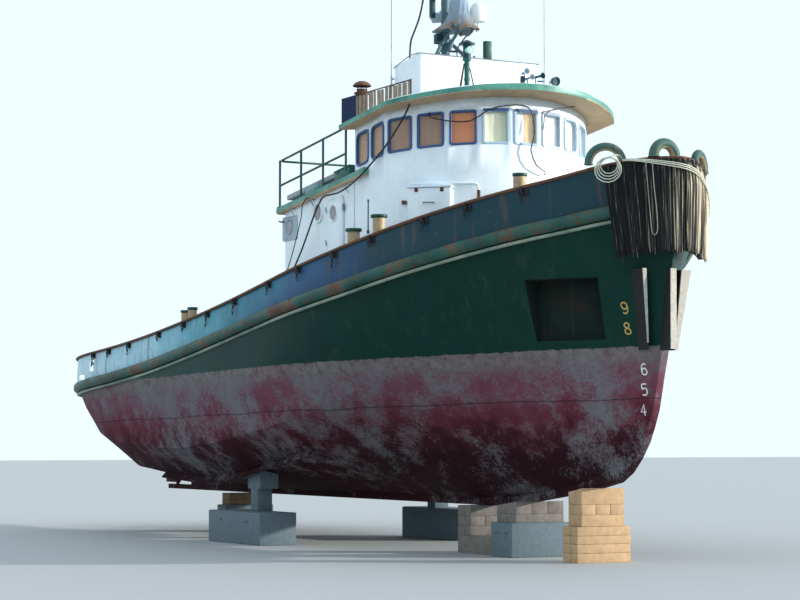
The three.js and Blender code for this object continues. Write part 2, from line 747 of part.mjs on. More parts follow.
function raftRack() {
  const { aft, fore, half, up, thick } = RACK;
  const foot = BOAT_DECK.top + GAP;
  const top = block(aft, fore, -half, half, foot + up - thick, foot + up);
  const legs = [[1150, -1], [1150, 1], [2050, -1], [2050, 1]].map(([x, side]) => {
    const y = side * (half - 120);
    return block(x - 40, x + 40, y - 40, y + 40, foot, foot + up - 10);
  });
  return risen(union([top, ...legs]));
}

// Roof fittings

const BELOW_ROOF = 2000; // more than any roof fitting reaches down before it is cut to sit on the roof
const onRoof = (solid) => solid.subtract(roofForm(GAP, -BELOW_ROOF, BELOW_ROOF + ROOF.edge + GAP));
const TRUNK = { aft: 3740, slope: 4340, fore: 4650, half: 1200, aftTop: 8340, top: 8470 };

// The casing across the aft end of the roof, with a sloping aft edge.
function trunkForm(out) {
  const { aft, slope, fore, half, aftTop, top } = TRUNK;
  const outline = [[aft, 7300], [fore, 7300], [fore, top + out], [slope, top + out], [aft, aftTop + out]];
  return slab(outline, -half, half);
}

const roofTrunk = () => onRoof(trunkForm(0));

const MAST = { x: 3900, y: -250, radius: 75, top: 10650, platform: 9060 };
const RADAR = { x: 4380, foot: MAST.platform + 20, tall: 560, radius: 170, half: 380 };

function mast() {
  const { x, y, radius, top, platform } = MAST;
  const foot = TRUNK.aftTop;
  const table = block(x - 120, RADAR.x + 200, y - 200, y + 200, platform - 40, platform);
  const brace = rods([[x + 40, y, platform - 350], [RADAR.x + 60, y, platform - 30]], 30);
  const legs = [-1, 1].map((side) => {
    return rod([x + 300, y + side * 420, foot], [x, y + side * 20, platform - 150], 32);
  });
  const yard = rods([[x, y - 700, top - 500], [x, y + 700, top - 500]], 28);
  const skirt = RADAR.radius + 50;
  const { radius: body, tall } = RADAR;
  const profile = [[0, -30], [skirt, -30], [skirt, 60], [body, 160], [120, tall], [0, tall]];
  const pedestal = turned(profile, RADAR.x, y, RADAR.foot);
  const whole = union([post(radius, x, y, foot, top), table, brace, ...legs, yard, pedestal]);
  return whole.subtract(trunkForm(GAP));
}

// A flat scanner bar on its turning gear.
function radarScanner() {
  const { x, foot, tall, half } = RADAR;
  const top = foot + tall;
  const pin = post(50, x, MAST.y, top + GAP, top + 60);
  return pin.add(block(x - 90, x + 90, MAST.y - half, MAST.y + half, top + 50, top + 170));
}

const LIGHT = { x: 5300, y: -630, foot: 7640, top: 8300 };
const lightPost = () => onRoof(union([
  post(45, LIGHT.x, LIGHT.y, LIGHT.foot - 300, LIGHT.top, 12),
  post(75, LIGHT.x, LIGHT.y, LIGHT.top - 20, LIGHT.top + 20, 16),
]));

// A lamp with a lens ahead and a wide cap, turning on its post.
const LAMP = { radius: 70, lensRadius: 60, reach: 120, lens: 130, tall: 230, cap: 140, capTall: 85 };

function searchlight() {
  const { x, y, top } = LIGHT;
  const { radius, lensRadius, reach, lens, tall, cap, capTall } = LAMP;
  const foot = top + 20 + GAP;
  const body = [[0, 0], [radius, 0], [radius, tall], [cap, tall], [cap, tall + 30], [0, tall + capTall]];
  const snout = rod([x, y, foot + lens], [x + reach, y, foot + lens], lensRadius, 16);
  return turned(body, x, y, foot).add(snout);
}

const FUNNEL = { x: 1700, y: -750, radius: 110, flange: 200, top: 8450 };

function exhaustStack() {
  const { x, y, radius, flange, top } = FUNNEL;
  const rackTop = BOAT_DECK.top + RACK.up + GAP;
  const foot = rackTop + riseAt(x);
  const below = risen(block(x - 400, x + 400, y - 400, y + 400, rackTop - 500, rackTop + GAP));
  return union([post(radius, x, y, foot - 50, top), post(flange, x, y, foot - 50, foot + 60)]).subtract(below);
}

// A canvas dodger that runs forward and inboard over the starboard side of the roof.
const DODGER = { aft: [3640, -2140], fore: [5160, -1620], half: 16, height: 470 };

function dodger() {
  const { aft, fore, half, height } = DODGER;
  const length = Math.hypot(fore[0] - aft[0], fore[1] - aft[1]);
  const angle = Math.atan2(fore[1] - aft[1], fore[0] - aft[0]);
  const low = ROOF.under - 100;
  const high = ROOF.under + ROOF.edge + height;
  const middle = [(aft[0] + fore[0]) / 2, (aft[1] + fore[1]) / 2];
  return onRoof(risen(turnedBlock(length, half * 2, ...middle, low, high, angle)));
}

// Deck gear

// Two posts with wide caps on one foot plate.
function bitts(x, y, { spacing, radius, height, cap, crossbar = false, across = false }) {
  const offset = (side) => (across ? [0, (side * spacing) / 2] : [(side * spacing) / 2, 0]);
  const foot = deckAt(x) - SINK;
  const pieces = [-1, 1].flatMap((side) => {
    const [dx, dy] = offset(side);
    const head = deckAt(x + dx) + height;
    return [
      post(radius, x + dx, y + dy, foot, head, 12),
      post(cap, x + dx, y + dy, head - 20, head + 30, 12),
    ];
  });
  const longHalf = spacing / 2 + radius * 1.4;
  const [hx, hy] = across ? [radius * 1.3, longHalf] : [longHalf, radius * 1.3];
  pieces.push(block(x - hx, x + hx, y - hy, y + hy, foot, deckAt(x + hx) + 60));
  if (crossbar) {
    const z = deckAt(x) + height * 0.62;
    const [ex, ey] = offset(1.5);
    pieces.push(rod([x - ex, y - ey, z], [x + ex, y + ey, z], radius * 0.7, 10));
  }
  return onDeck(union(pieces));
}

const ATHWART = { crossbar: true, across: true };
const BITTS = [
  ["fore_towing_bitts", 7500, 0, { spacing: 1900, radius: 105, height: 1240, cap: 120, ...ATHWART }],
  ["side_bitts_starboard", 5120, -2450, { spacing: 900, radius: 105, height: 1050, cap: 140 }],
  ["side_bitts_port", 5120, 2450, { spacing: 900, radius: 105, height: 1050, cap: 140 }],
  ["waist_bitts_starboard", -1650, -2720, { spacing: 330, radius: 85, height: 900, cap: 100 }],
  ["waist_bitts_port", -1650, 2720, { spacing: 330, radius: 85, height: 900, cap: 100 }],
  ["aft_towing_bitts", -3700, 0, { spacing: 900, radius: 120, height: 1000, cap: 150, ...ATHWART }],
];

// A capstan head on its fixed base.
const CAPSTAN = { x: -6600, y: 0 };
const capstanTop = () => deckAt(CAPSTAN.x) + CAMBER + 160;

function capstanBase() {
  const { x, y } = CAPSTAN;
  return onDeck(post(260, x, y, deckAt(x) - SINK, capstanTop(), 16));
}

function capstanHead() {
  const foot = [[0, 0], [230, 0], [230, 60], [150, 160]];
  const head = [[135, 330], [190, 470], [190, 520], [120, 560], [0, 560]];
  return turned([...foot, ...head], CAPSTAN.x, CAPSTAN.y, capstanTop() + GAP);
}

// The engine-room skylight: a coaming with two lids that open outwards from a ridge.
const SKYLIGHT = { aft: -1700, fore: -250, half: 620, height: 620, ridge: 60, lid: 40, over: 40 };
const BARREL = { half: 120, radius: 24, up: 30 }; // of its hinge, half the length of the fixed one
const skylightTop = () => deckAt(SKYLIGHT.fore) + SKYLIGHT.height;

function skylightCoaming() {
  const { aft, fore, half, ridge } = SKYLIGHT;
  const top = skylightTop();
  const outer = block(aft, fore, -half, half, deckAt(aft) - SINK, top);
  const hollow = block(aft + 50, fore - 50, -half + 50, half - 50, deckAt(aft) - SINK - 10, top + 10);
  const bar = block(aft, fore, -ridge, ridge, top - 60, top);
  const near = (aft + fore) / 2 - BARREL.half;
  const far = (aft + fore) / 2 + BARREL.half;
  const barrels = [-1, 1].map((side) => {
    const axis = side * ridge;
    const web = block(near, far, axis - 12, axis + 12, top - 20, top + BARREL.up);
    return rod([near, axis, top + BARREL.up], [far, axis, top + BARREL.up], BARREL.radius, 12).add(web);
  });
  return onDeck(union([outer.subtract(hollow), bar, ...barrels]));
}

function skylightLid(side) {
  const { aft, fore, half, ridge, lid, over } = SKYLIGHT;
  const top = skylightTop();
  const inner = side * (ridge + 40);
  const outer = side * (half + over);
  const z = top + RUNNING;
  const leaf = block(aft - over, fore + over, Math.min(inner, outer), Math.max(inner, outer), z, z + lid);
  const middle = (aft + fore) / 2;
  const knuckles = [-1, 1].map((end) => {
    const near = middle + end * (BARREL.half + GAP);
    const far = middle + end * 260;
    const axis = side * ridge;
    const strap = [Math.min(axis, side * (ridge + 90)), Math.max(axis, side * (ridge + 90))];
    return rod([near, axis, top + BARREL.up], [far, axis, top + BARREL.up], BARREL.radius, 12)
      .add(block(Math.min(near, far), Math.max(near, far), ...strap, top + 24, top + 40));
  });
  return union([leaf, ...knuckles]);
}

// A round hatch over the steering gear, with a hinged lid.
const HATCH = { x: -7900, y: 0, radius: 330, height: 300, lid: 35 };
const hatchTop = () => deckAt(HATCH.x) + CAMBER + HATCH.height;

function hatchCoaming() {
  const { x, y, radius } = HATCH;
  const top = hatchTop();
  const well = post(radius - 25, x, y, deckAt(x) - 400, top + 10, 20);
  const ring = post(radius, x, y, deckAt(x) - SINK, top, 20).subtract(well);
  const lug = block(x + radius - 20, x + radius + 70, -60, 60, top - 60, top)
    .add(rod([x + radius + 50, -60, top + 20], [x + radius + 50, 60, top + 20], 20, 12))
    .add(block(x + radius + 36, x + radius + 64, -60, 60, top - 10, top + 20));
  return onDeck(ring.add(lug));
}

function hatchLid() {
  const { x, y, radius, lid } = HATCH;
  const top = hatchTop();
  const cover = post(radius + 12, x, y, top + RUNNING, top + RUNNING + lid, 20);
  const arms = [-1, 1].map((side) => {
    const near = side * (60 + GAP);
    const far = side * 100;
    return rod([x + radius + 50, near, top + 20], [x + radius + 50, far, top + 20], 20, 12)
      .add(block(x + radius - 60, x + radius + 50, ...[near, far].sort(ascending), top + 12, top + 30));
  });
  return union([cover, ...arms]);
}

// Blocks that the boat stands on

// Columns: x, half length, half width. Each is topped by timber.
const KEEL_BLOCKS = [
  [-5000, 220, 550],
  [6250, 330, 560],
  [8200, 220, 500],
];
const BASE_TOP = 560;
const TIMBER_TOP = 1300; // before the keel's room is cut
const CRIB = { aft: 4600, fore: 5950, half: 420, low: 300 }; // timbers laid from the middle one's base

function keelBlock(x, halfLength, halfWidth) {
  const base = block(x - halfLength, x + halfLength, -halfWidth, halfWidth, 0, BASE_TOP);
  const [alongHalf, acrossHalf] = [halfLength - 30, halfWidth - 100];
  const cap = block(x - alongHalf, x + alongHalf, -acrossHalf, acrossHalf, BASE_TOP - 10, TIMBER_TOP);
  return seated(base.add(cap));
}

const seated = (solid) => solid.subtract(keelSpace()).subtract(hullSpace);

// Two stacks of timber beside the middle block, joined to it by a long one.
function crib() {
  const { aft, fore, half, low } = CRIB;
  const sleeper = block(aft, fore, -half, half, 0, low);
  const stack = block(aft, aft + 440, -half, half, low - 10, TIMBER_TOP);
  return seated(sleeper.add(stack));
}

// Room for the keel in the timber under it: everything above the keel's bottom.
function keelSpace() {
  const { bottom, soleAft } = KEEL;
  const edge = [[soleAft, bottom + 20], ...FOREFOOT].map(([x, z]) => [x, z - GAP]);
  const outline = [...edge, [FOREFOOT.at(-1)[0], 4000], [soleAft, 4000]];
  return slab(outline, -2000, 2000);
}

const BILGE_BLOCK = { x: -150, y: 2080, halfLength: 1150, halfWidth: 370, top: 590 };
const BILGE_POST = {
  y: 1880, half: 150, capLow: 1000, capTop: 1600, capLength: 520, capInner: 1660, capOuter: 2035,
};

// A long block with a post on it, whose wide cap is cut to the chine.
function bilgeSupport(side) {
  const { x, y, halfLength, halfWidth, top } = BILGE_BLOCK;
  const { half, capLow, capTop, capLength, capInner, capOuter } = BILGE_POST;
  const base = block(x - halfLength, x + halfLength, side * y - halfWidth, side * y + halfWidth, 0, top);
  const postY = side * BILGE_POST.y;
  const shaft = block(x - half, x + half, postY - half, postY + half, top - 10, capLow + 10);
  const across = [side * capInner, side * capOuter].sort(ascending);
  const cap = block(x - capLength / 2, x + capLength / 2, ...across, capLow, capTop);
  return union([base, shaft, cap]).subtract(hullSpace);
}

// The boat

add("hull", hull().subtract(rudderTrunk()), FINISH.hull);
add("keel_skeg", keelAndSkeg(), FINISH.bottom);
add("propeller", propeller(), FINISH.bronze);
add("rudder", rudder(), FINISH.bottom);
for (const [name, side] of SIDES) add(`bilge_keel_${name}`, bilgeKeel(side), FINISH.bottom);
const WELDED_UP = [
  ["guard_belt", guardBelt(), FINISH.rust],
  ["bulwark", bulwark(), FINISH.navy],
  ["cap_rail", capRail(), FINISH.rust],
];
for (const [name, whole, finish] of WELDED_UP) {
  for (const [length, ...ends] of LENGTHS) add(`${name}_${length}`, lengthOf(whole, ...ends), finish);
}
add("bow_pudding", bowPudding(), FINISH.rope);
for (const [name, ...form] of STEM_FINS) add(`stem_fender_${name}`, stemFin(...form), FINISH.rubber);
for (const [name, ...place] of CHOCKS) add(name, chock(...place), FINISH.green);
for (const [name, x, y, form] of BITTS) add(name, bitts(x, y, form), FINISH.green);
add("capstan_base", capstanBase(), FINISH.green);
add("capstan_head", capstanHead(), FINISH.green);
add("skylight_coaming", skylightCoaming(), FINISH.green);
for (const [name, side] of SIDES) add(`skylight_lid_${name}`, skylightLid(side), FINISH.green);
add("aft_hatch_coaming", hatchCoaming(), FINISH.green);
add("aft_hatch_lid", hatchLid(), FINISH.green);
add("deckhouse", deckhouse(), FINISH.white);
for (const [name, side] of SIDES) add(`deckhouse_door_${name}`, door(side), FINISH.white);
add("boat_deck", boatDeck(), FINISH.green);
add("boat_deck_railing", railing(), FINISH.green);
add("raft_rack", raftRack(), FINISH.grey);
add("exhaust_stack", exhaustStack(), FINISH.rust);
add("wheelhouse", wheelhouse(), FINISH.white);
add("wheelhouse_glazing", glazing(), FINISH.glass);
add("wheelhouse_floor", wheelhouseFloor(), FINISH.timber);
add("wheelhouse_roof", roofForm(0, 0, ROOF.edge), FINISH.green);
add("roof_trunk", roofTrunk(), FINISH.white);
add("roof_dodger", dodger(), FINISH.blue);
add("mast", mast(), FINISH.grey);
add("radar_scanner", radarScanner(), FINISH.grey);
add("searchlight_post", lightPost(), FINISH.green);
add("searchlight", searchlight(), FINISH.green);
KEEL_BLOCKS.forEach((place, i) => {
  const alone = keelBlock(...place);
  add(`keel_block_${i + 1}`, i === 1 ? alone.add(crib()) : alone, FINISH.concrete);
});
for (const [name, side] of SIDES) add(`bilge_support_${name}`, bilgeSupport(side), FINISH.concrete);

// The origin is under the middle of the whole length.
const box = new THREE.Box3().setFromObject(tug);
tug.position.x = -(box.min.x + box.max.x) / 2;

export default tug;
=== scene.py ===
# A steel harbour tugboat of about 20 m, hauled out on keel and bilge blocks. Metres. +X is towards the bow,
# +Y to port, +Z up. Stations along the boat are given from its own midship mark, and finished() moves each
# piece from there into the frame.
import math
import random
from collections import namedtuple

import bmesh
import bpy
from mathutils import Matrix, Vector, noise
from mathutils.bvhtree import BVHTree


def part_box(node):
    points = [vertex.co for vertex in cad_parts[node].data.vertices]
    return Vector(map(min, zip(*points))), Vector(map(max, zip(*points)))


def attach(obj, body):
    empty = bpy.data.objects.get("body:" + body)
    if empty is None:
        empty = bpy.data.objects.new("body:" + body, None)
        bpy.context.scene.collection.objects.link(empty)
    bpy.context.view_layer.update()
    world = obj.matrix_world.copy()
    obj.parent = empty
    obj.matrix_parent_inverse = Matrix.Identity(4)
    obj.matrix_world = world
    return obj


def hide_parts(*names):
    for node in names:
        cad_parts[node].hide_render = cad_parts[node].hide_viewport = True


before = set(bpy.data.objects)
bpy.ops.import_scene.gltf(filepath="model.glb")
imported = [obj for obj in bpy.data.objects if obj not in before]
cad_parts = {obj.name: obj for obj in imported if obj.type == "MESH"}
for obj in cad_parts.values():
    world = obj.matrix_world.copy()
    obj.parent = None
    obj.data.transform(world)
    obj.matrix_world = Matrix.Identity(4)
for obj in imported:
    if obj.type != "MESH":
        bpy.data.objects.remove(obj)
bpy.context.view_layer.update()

# Hull lines, from the stern round to the stem. Beyond aft_start and fore_start the half-breadth closes to
# nothing at aft_end and fore_end, by half * (1 - f ** n) ** (1 / m) with f from 0 to 1.
Line = namedtuple("Line", "aft_end fore_end aft_start fore_start half stern bow")
LINES = {
    "bottom": Line(-7.6, 9.1, -4.5, 0.0, 0.0, (2, 2), (2, 1)),
    "lower chine": Line(-7.9, 9.68, -4.5, 0.0, 2.1, (3, 1.8), (1.7, 1)),
    "upper chine": Line(-9.25, 10.02, -4.5, 1.0, 2.75, (2.6, 2), (1.7, 1)),
    "side": Line(-9.5, 10.23, -4.7, 2.0, 2.98, (2.6, 2.1), (1.9, 1.15)),
    "deck": Line(-9.6, 10.38, -5.0, 3.0, 3.1, (2.6, 2.2), (2, 1.3)),
    "rail": Line(-9.64, 10.5, -5.0, 3.0, 3.1, (2.6, 2.2), (2, 1.35)),
}

# Heights of those lines. Columns: station, bottom, lower chine, upper chine, deck, rail.
HEIGHTS = [
    (-9.6, 2.15, 2.2, 2.34, 2.98, 3.6), (-8.0, 1.95, 2.05, 2.17, 3.0, 3.64),
    (-6.5, 1.31, 1.46, 2.01, 3.06, 3.69), (-5.0, 1.02, 1.31, 1.88, 3.15, 3.765),
    (-3.0, 0.915, 1.185, 1.75, 3.32, 3.92), (-1.0, 0.9, 1.225, 1.8, 3.55, 4.13),
    (1.0, 0.9, 1.51, 2.01, 3.82, 4.385), (3.0, 0.9, 1.88, 2.33, 4.1, 4.69), (5.0, 0.9, 2.1, 2.72, 4.38, 5.03),
    (7.0, 1.06, 2.17, 2.95, 4.75, 5.42), (9.0, 1.4, 2.1, 3.03, 5.13, 5.81),
    (10.5, 1.75, 1.95, 3.05, 5.38, 6.1),
]
HEIGHT_COLUMNS = ["bottom", "lower chine", "upper chine", "deck", "rail"]
SIDE_SHARE = 0.52  # how far the side line lies from the upper chine up to the deck
CAMBER = 0.08  # rise of the deck at the centreline
ROUND_FROM, ROUND_TO = 1.5, 6.5  # the chines fade into a round bow between these stations
STEM_SHARE = 1.6  # a line grown outwards moves this much further at the sharp stem
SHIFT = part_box("hull")[0].x - LINES["deck"].aft_end

# Sizes
GUARD = {"below": 0.1, "height": 0.2, "out": 0.095}
MOULDING = {"middle": 0.14, "out": 0.028, "half": 0.026}
BULWARK = {"thick": 0.03, "knuckle_up": 0.21, "knuckle_out": 0.025}
CAP = {"height": 0.045, "out": 0.045, "inside": 0.09}
# The houses rise towards the bow. Their heights are given at this station.
HOUSE_STATION, HOUSE_RISE = 4.0, 0.11
WALL = 0.06
HAIR = 0.0006  # the gap left where the houses' pieces meet
HOUSE = {"aft": 1.0, "half": 2.0, "wheel_aft": 3.8, "arc_x": 3.97, "arc_r": 2.2}
BOAT_DECK = {"aft": 0.9, "fore": 4.35, "half": 2.11, "top": 6.46, "thick": 0.12}
WINDOW = {"sill": 6.56, "height": 0.55, "width": 0.43, "pitch": math.radians(14.3), "on_arc": 4}
SIDE_WINDOWS = (4.13, 4.67)
ROOF = {"aft": 3.72, "half": 2.25, "arc_r": 2.69, "under": 7.22, "edge": 0.1, "crown": 0.12, "dome": 0.09}
SIDES = (("starboard", -1), ("port", 1))

dice = random.Random(7)


# Lines of the hull


def height_at(name, x):
    """Height of a hull line at a station, on the smooth curve through its table."""
    if name == "side":
        low, high = height_at("upper chine", x), height_at("deck", x)
        return low + SIDE_SHARE * (high - low)
    column = 1 + HEIGHT_COLUMNS.index(name)
    stations = [row[0] for row in HEIGHTS]
    values = [row[column] for row in HEIGHTS]
    last = len(HEIGHTS) - 2
    i = min(last, max(0, sum(1 for s in stations if s <= x) - 1))
    x = min(stations[-1], max(stations[0], x))
    before = stations[i - 1] if i > 0 else 2 * stations[i] - stations[i + 1]
    after = stations[i + 2] if i < last else 2 * stations[i + 1] - stations[i]
    value_before = values[i - 1] if i > 0 else values[i + 1]
    value_after = values[i + 2] if i < last else values[i]
    span = stations[i + 1] - stations[i]
    p = (x - stations[i]) / span
    w0 = span / 2 / (stations[i] - before)
    w1 = span / 2 / (after - stations[i + 1])
    return (
        value_before * w0 * (-(p**3) + 2 * p**2 - p)
        + values[i] * ((1 + w0) * p**3 - (1.5 + 2 * w0) * p**2 + (w0 - 0.5) * p + 1)
        + values[i + 1] * ((-1 - w1) * p**3 + (1.5 + w1) * p**2 + 0.5 * p)
        + value_after * w1 * (p**3 - p**2)
    )


def closing(f, powers):
    """The share of its full breadth that a line still has, at f from 0 to 1 of the way to its end."""
    return max(0.0, 1 - min(1.0, f) ** powers[0]) ** (1 / powers[1])


def half_breadth(name, x, out=0.0):
    """Half the breadth of a line at a station, grown outwards."""
    line = LINES[name]
    half = line.half + out if line.half else 0.0
    fore_end, aft_end = line.fore_end + out * STEM_SHARE, line.aft_end - out
    if x > line.fore_start:
        return half * closing((x - line.fore_start) / (fore_end - line.fore_start), line.bow)
    if x < line.aft_start:
        return half * closing((line.aft_start - x) / (line.aft_start - aft_end), line.stern)
    return half


def on_line(name, t, out=0.0, up=0.0):
    """A point on the port side of a line, grown outwards and raised, at t from 0 at the stern to 1 at the
    stem."""
    line = LINES[name]
    fore_end, aft_end = line.fore_end + out * STEM_SHARE, line.aft_end - out
    x = aft_end + (fore_end - aft_end) * (1 - math.cos(math.pi * t)) / 2
    return Vector((x, half_breadth(name, x, out), height_at(name, x) + up))


def around(name, u, out=0.0, up=0.0):
    """The same, at u from 0 at the stem along the starboard side to the stern and back along port to 1."""
    point = on_line(name, abs(2 * u - 1), out, up)
    if u < 0.5:
        point.y = -point.y
    return point


def deck_height(x, y):
    """Height of the cambered deck at a place in plan."""
    return height_at("deck", x) + CAMBER * max(0.0, half_breadth("deck", x) - abs(y)) / LINES["deck"].half


def rise_at(x):
    """How far the slope of the houses raises a point at a station."""
    return HOUSE_RISE * (x - HOUSE_STATION)


# Mesh tools


def draped(columns, rows, place):
    """A grid of that many cells, each corner of which is put at place(u, v), with u and v from 0 to 1."""
    mesh = bmesh.new()
    bmesh.ops.create_grid(mesh, x_segments=columns, y_segments=rows, size=0.5)
    for vertex in mesh.verts:
        vertex.co = place(vertex.co.x + 0.5, vertex.co.y + 0.5)
    return mesh


def closed(mesh, gap=1e-4):
    """Merges the seam and the poles of a draped form and points its faces outwards."""
    bmesh.ops.remove_doubles(mesh, verts=mesh.verts, dist=gap)
    bmesh.ops.dissolve_degenerate(mesh, edges=mesh.edges, dist=gap / 10)
    bmesh.ops.recalc_face_normals(mesh, faces=mesh.faces)
    return mesh


def merge_into(mesh, part):
    """Moves the faces of one mesh into another."""
    data = bpy.data.meshes.new("part")
    part.to_mesh(data)
    part.free()
    mesh.from_mesh(data)
    bpy.data.meshes.remove(data)
    return mesh


def capped(mesh):
    """Merges the seam of a draped form, fills its open ends and points its faces outwards."""
    bmesh.ops.remove_doubles(mesh, verts=mesh.verts, dist=1e-5)
    bmesh.ops.holes_fill(mesh, edges=[edge for edge in mesh.edges if edge.is_boundary])
    bmesh.ops.recalc_face_normals(mesh, faces=mesh.faces)
    return mesh


def thin_sheet(mesh, thickness):
    """Gives an open surface the thickness of cloth."""
    bmesh.ops.recalc_face_normals(mesh, faces=mesh.faces)
    bmesh.ops.solidify(mesh, geom=mesh.faces, thickness=thickness)
    return mesh


def add_skin(mesh, loops, ring=False):
    """Adds a skin over successive closed loops of points. Its ends are capped, or joined to each other in a
    ring."""
    count = len(loops[0])
    rows = loops + loops[:1] if ring else loops
    last = len(rows) - 1
    part = draped(last, count, lambda u, v: rows[round(u * last)][round(v * count) % count])
    return merge_into(mesh, capped(part))


def swept(profile, columns, path):
    """A closed bar: path(u, out, up) gives the place of a profile point at u along the way."""
    count = len(profile)

    def place(u, v):
        out, up = profile[round(v * count) % count]
        return path(u, out, up)

    return closed(draped(columns, count, place))


def edges_at(vertices):
    """The edges that meet at some vertices, each once, in an order that is the same in each run."""
    return list(dict.fromkeys(edge for vertex in vertices for edge in vertex.link_edges))


def ease_edges(mesh, made, width, segments=2, clamp=False):
    """Bevels all the edges of the vertices just made."""
    shape = {"offset": width, "segments": segments, "profile": 0.5, "clamp_overlap": clamp}
    bmesh.ops.bevel(mesh, geom=edges_at(made), affect="EDGES", material=-1, **shape)


def add_box(mesh, low, high, turn=0.0, bevel=0.0):
    """Adds a box between two corners, turned about its own upright middle line, with its edges bevelled."""
    low, high = Vector(low), Vector(high)
    size = high - low
    place = Matrix.Translation((low + high) / 2) @ Matrix.Rotation(turn, 4, "Z") @ Matrix.Diagonal((*size, 1))
    made = bmesh.ops.create_cube(mesh, size=1, matrix=place)["verts"]
    if bevel:
        ease_edges(mesh, made, bevel, clamp=True)
    return made


def pointing(at, towards):
    """A place whose z axis points along a direction."""
    return Matrix.Translation(at) @ Vector(towards).to_track_quat("Z", "Y").to_matrix().to_4x4()


def add_rod(mesh, start, end, radius, sides=16, end_radius=None):
    """Adds a capped cylinder, or a cone where its end has another radius."""
    start, end = Vector(start), Vector(end)
    along = end - start
    place = pointing((start + end) / 2, along)
    far = radius if end_radius is None else end_radius
    bmesh.ops.create_cone(
        mesh, cap_ends=True, segments=sides, radius1=radius, radius2=far, depth=along.length, matrix=place
    )


def add_pipe(mesh, points, radius, sides=10):
    """Adds a pipe through the points, its sections square to the way it runs."""
    points = [Vector(p) for p in points]
    ring = None
    for i, point in enumerate(points):
        ahead = points[min(i + 1, len(points) - 1)] - points[max(i - 1, 0)]
        place = pointing(point, ahead)
        at_end = i in (0, len(points) - 1)
        made = bmesh.ops.create_circle(mesh, cap_ends=at_end, segments=sides, radius=radius, matrix=place)
        edges = edges_at(made["verts"])
        if ring:
            bmesh.ops.bridge_loops(mesh, edges=ring + edges)
        ring = edges


def add_turned(mesh, profile, centre, sides=32):
    """Adds a profile of (radius, height) points spun about an upright axis."""
    centre = Vector(centre)
    made = [mesh.verts.new(centre + Vector((r, 0, h))) for r, h in profile]
    edges = [mesh.edges.new(pair) for pair in zip(made, made[1:])]
    geom = made + edges
    bmesh.ops.spin(mesh, geom=geom, cent=centre, axis=(0, 0, 1), angle=math.tau, steps=sides, use_merge=True)
    bmesh.ops.remove_doubles(mesh, verts=mesh.verts, dist=1e-5)


def on_curve(a, b, c, d, f):
    """A point between b and c on the smooth curve through four points, at f from 0 to 1."""
    return (2 * b + (c - a) * f + (2 * a - 5 * b + 4 * c - d) * f**2 + (3 * b - a - 3 * c + d) * f**3) / 2


def smooth_path(points, steps):
    """Points along a smooth curve through the given ones."""
    points = [Vector(p) for p in points]
    way = [points[0] * 2 - points[1]] + points + [points[-1] * 2 - points[-2]]
    out = []
    for a, b, c, d in zip(way, way[1:], way[2:], way[3:]):
        out += [on_curve(a, b, c, d, k / steps) for k in range(steps)]
    return out + [points[-1]]


def finished(mesh, name, finishes, body="boat", sharp=32, stands_for=()):
    """Makes the piece from its mesh: its finish, its edges, the body it rides on and the solids it stands
    for."""
    bmesh.ops.translate(mesh, verts=mesh.verts, vec=(SHIFT, 0, 0))
    data = bpy.data.meshes.new(name)
    mesh.to_mesh(data)
    mesh.free()
    for finish in finishes if isinstance(finishes, (list, tuple)) else [finishes]:
        data.materials.append(finish)
    data.shade_smooth()
    data.set_sharp_from_angle(angle=math.radians(sharp))
    piece = bpy.data.objects.new(name, data)
    bpy.context.scene.collection.objects.link(piece)
    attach(piece, body)
    if stands_for:
        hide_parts(*stands_for)
    return piece


def apply_modifiers(piece):
    """Bakes a piece's modifiers into its mesh."""
    graph = bpy.context.evaluated_depsgraph_get()
    baked = bpy.data.meshes.new_from_object(piece.evaluated_get(graph))
    old = piece.data
    piece.modifiers.clear()
    piece.data = baked
    bpy.data.meshes.remove(old)
    return piece


def plated(piece, thickness):
    """Gives a piece of plating its thickness, inwards from its face."""
    wall = piece.modifiers.new("wall", "SOLIDIFY")
    wall.thickness = thickness
    wall.offset = -1
    return apply_modifiers(piece)


def cut_out(piece, cutters, finish=None):
    """Cuts the space of a cutter mesh out of a piece, and gives the cut's own faces their finish."""
    data = bpy.data.meshes.new("cutter")
    if finish:
        data.materials.append(finish)
    bmesh.ops.translate(cutters, verts=cutters.verts, vec=(SHIFT, 0, 0))
    cutters.to_mesh(data)
    cutters.free()
    tool = bpy.data.objects.new("cutter", data)
    bpy.context.scene.collection.objects.link(tool)
    cut = piece.modifiers.new("cut", "BOOLEAN")
    cut.operation = "DIFFERENCE"
    cut.solver = "EXACT"
    if finish:
        cut.material_mode = "TRANSFER"
    cut.object = tool
    apply_modifiers(piece)
    bpy.data.objects.remove(tool)
    bpy.data.meshes.remove(data)
    piece.data.set_sharp_from_angle(angle=math.radians(32))
    return piece


# Finishes

# Noise scales are per metre: scale 9 gives blotches of about 110 mm, and scale 30 a grain of about 30 mm.
# Finer grain than that doesn't show at the photograph's distance, so it is drawn coarser than it is.


def srgb(code):
    """A linear colour from an sRGB hex value."""
    parts = [int(code[i : i + 2], 16) / 255 for i in (1, 3, 5)]
    return [p / 12.92 if p <= 0.04045 else ((p + 0.055) / 1.055) ** 2.4 for p in parts] + [1.0]


def connect(tree, node, inputs):
    """Sets a node's inputs, each to a value or a link from a socket; a node stands for its first output in
    use."""
    for key, value in inputs.items():
        if isinstance(value, bpy.types.Node):
            value = next(output for output in value.outputs if output.enabled)
        if isinstance(value, bpy.types.NodeSocket):
            tree.links.new(value, node.inputs[key])
        else:
            node.inputs[key].default_value = value


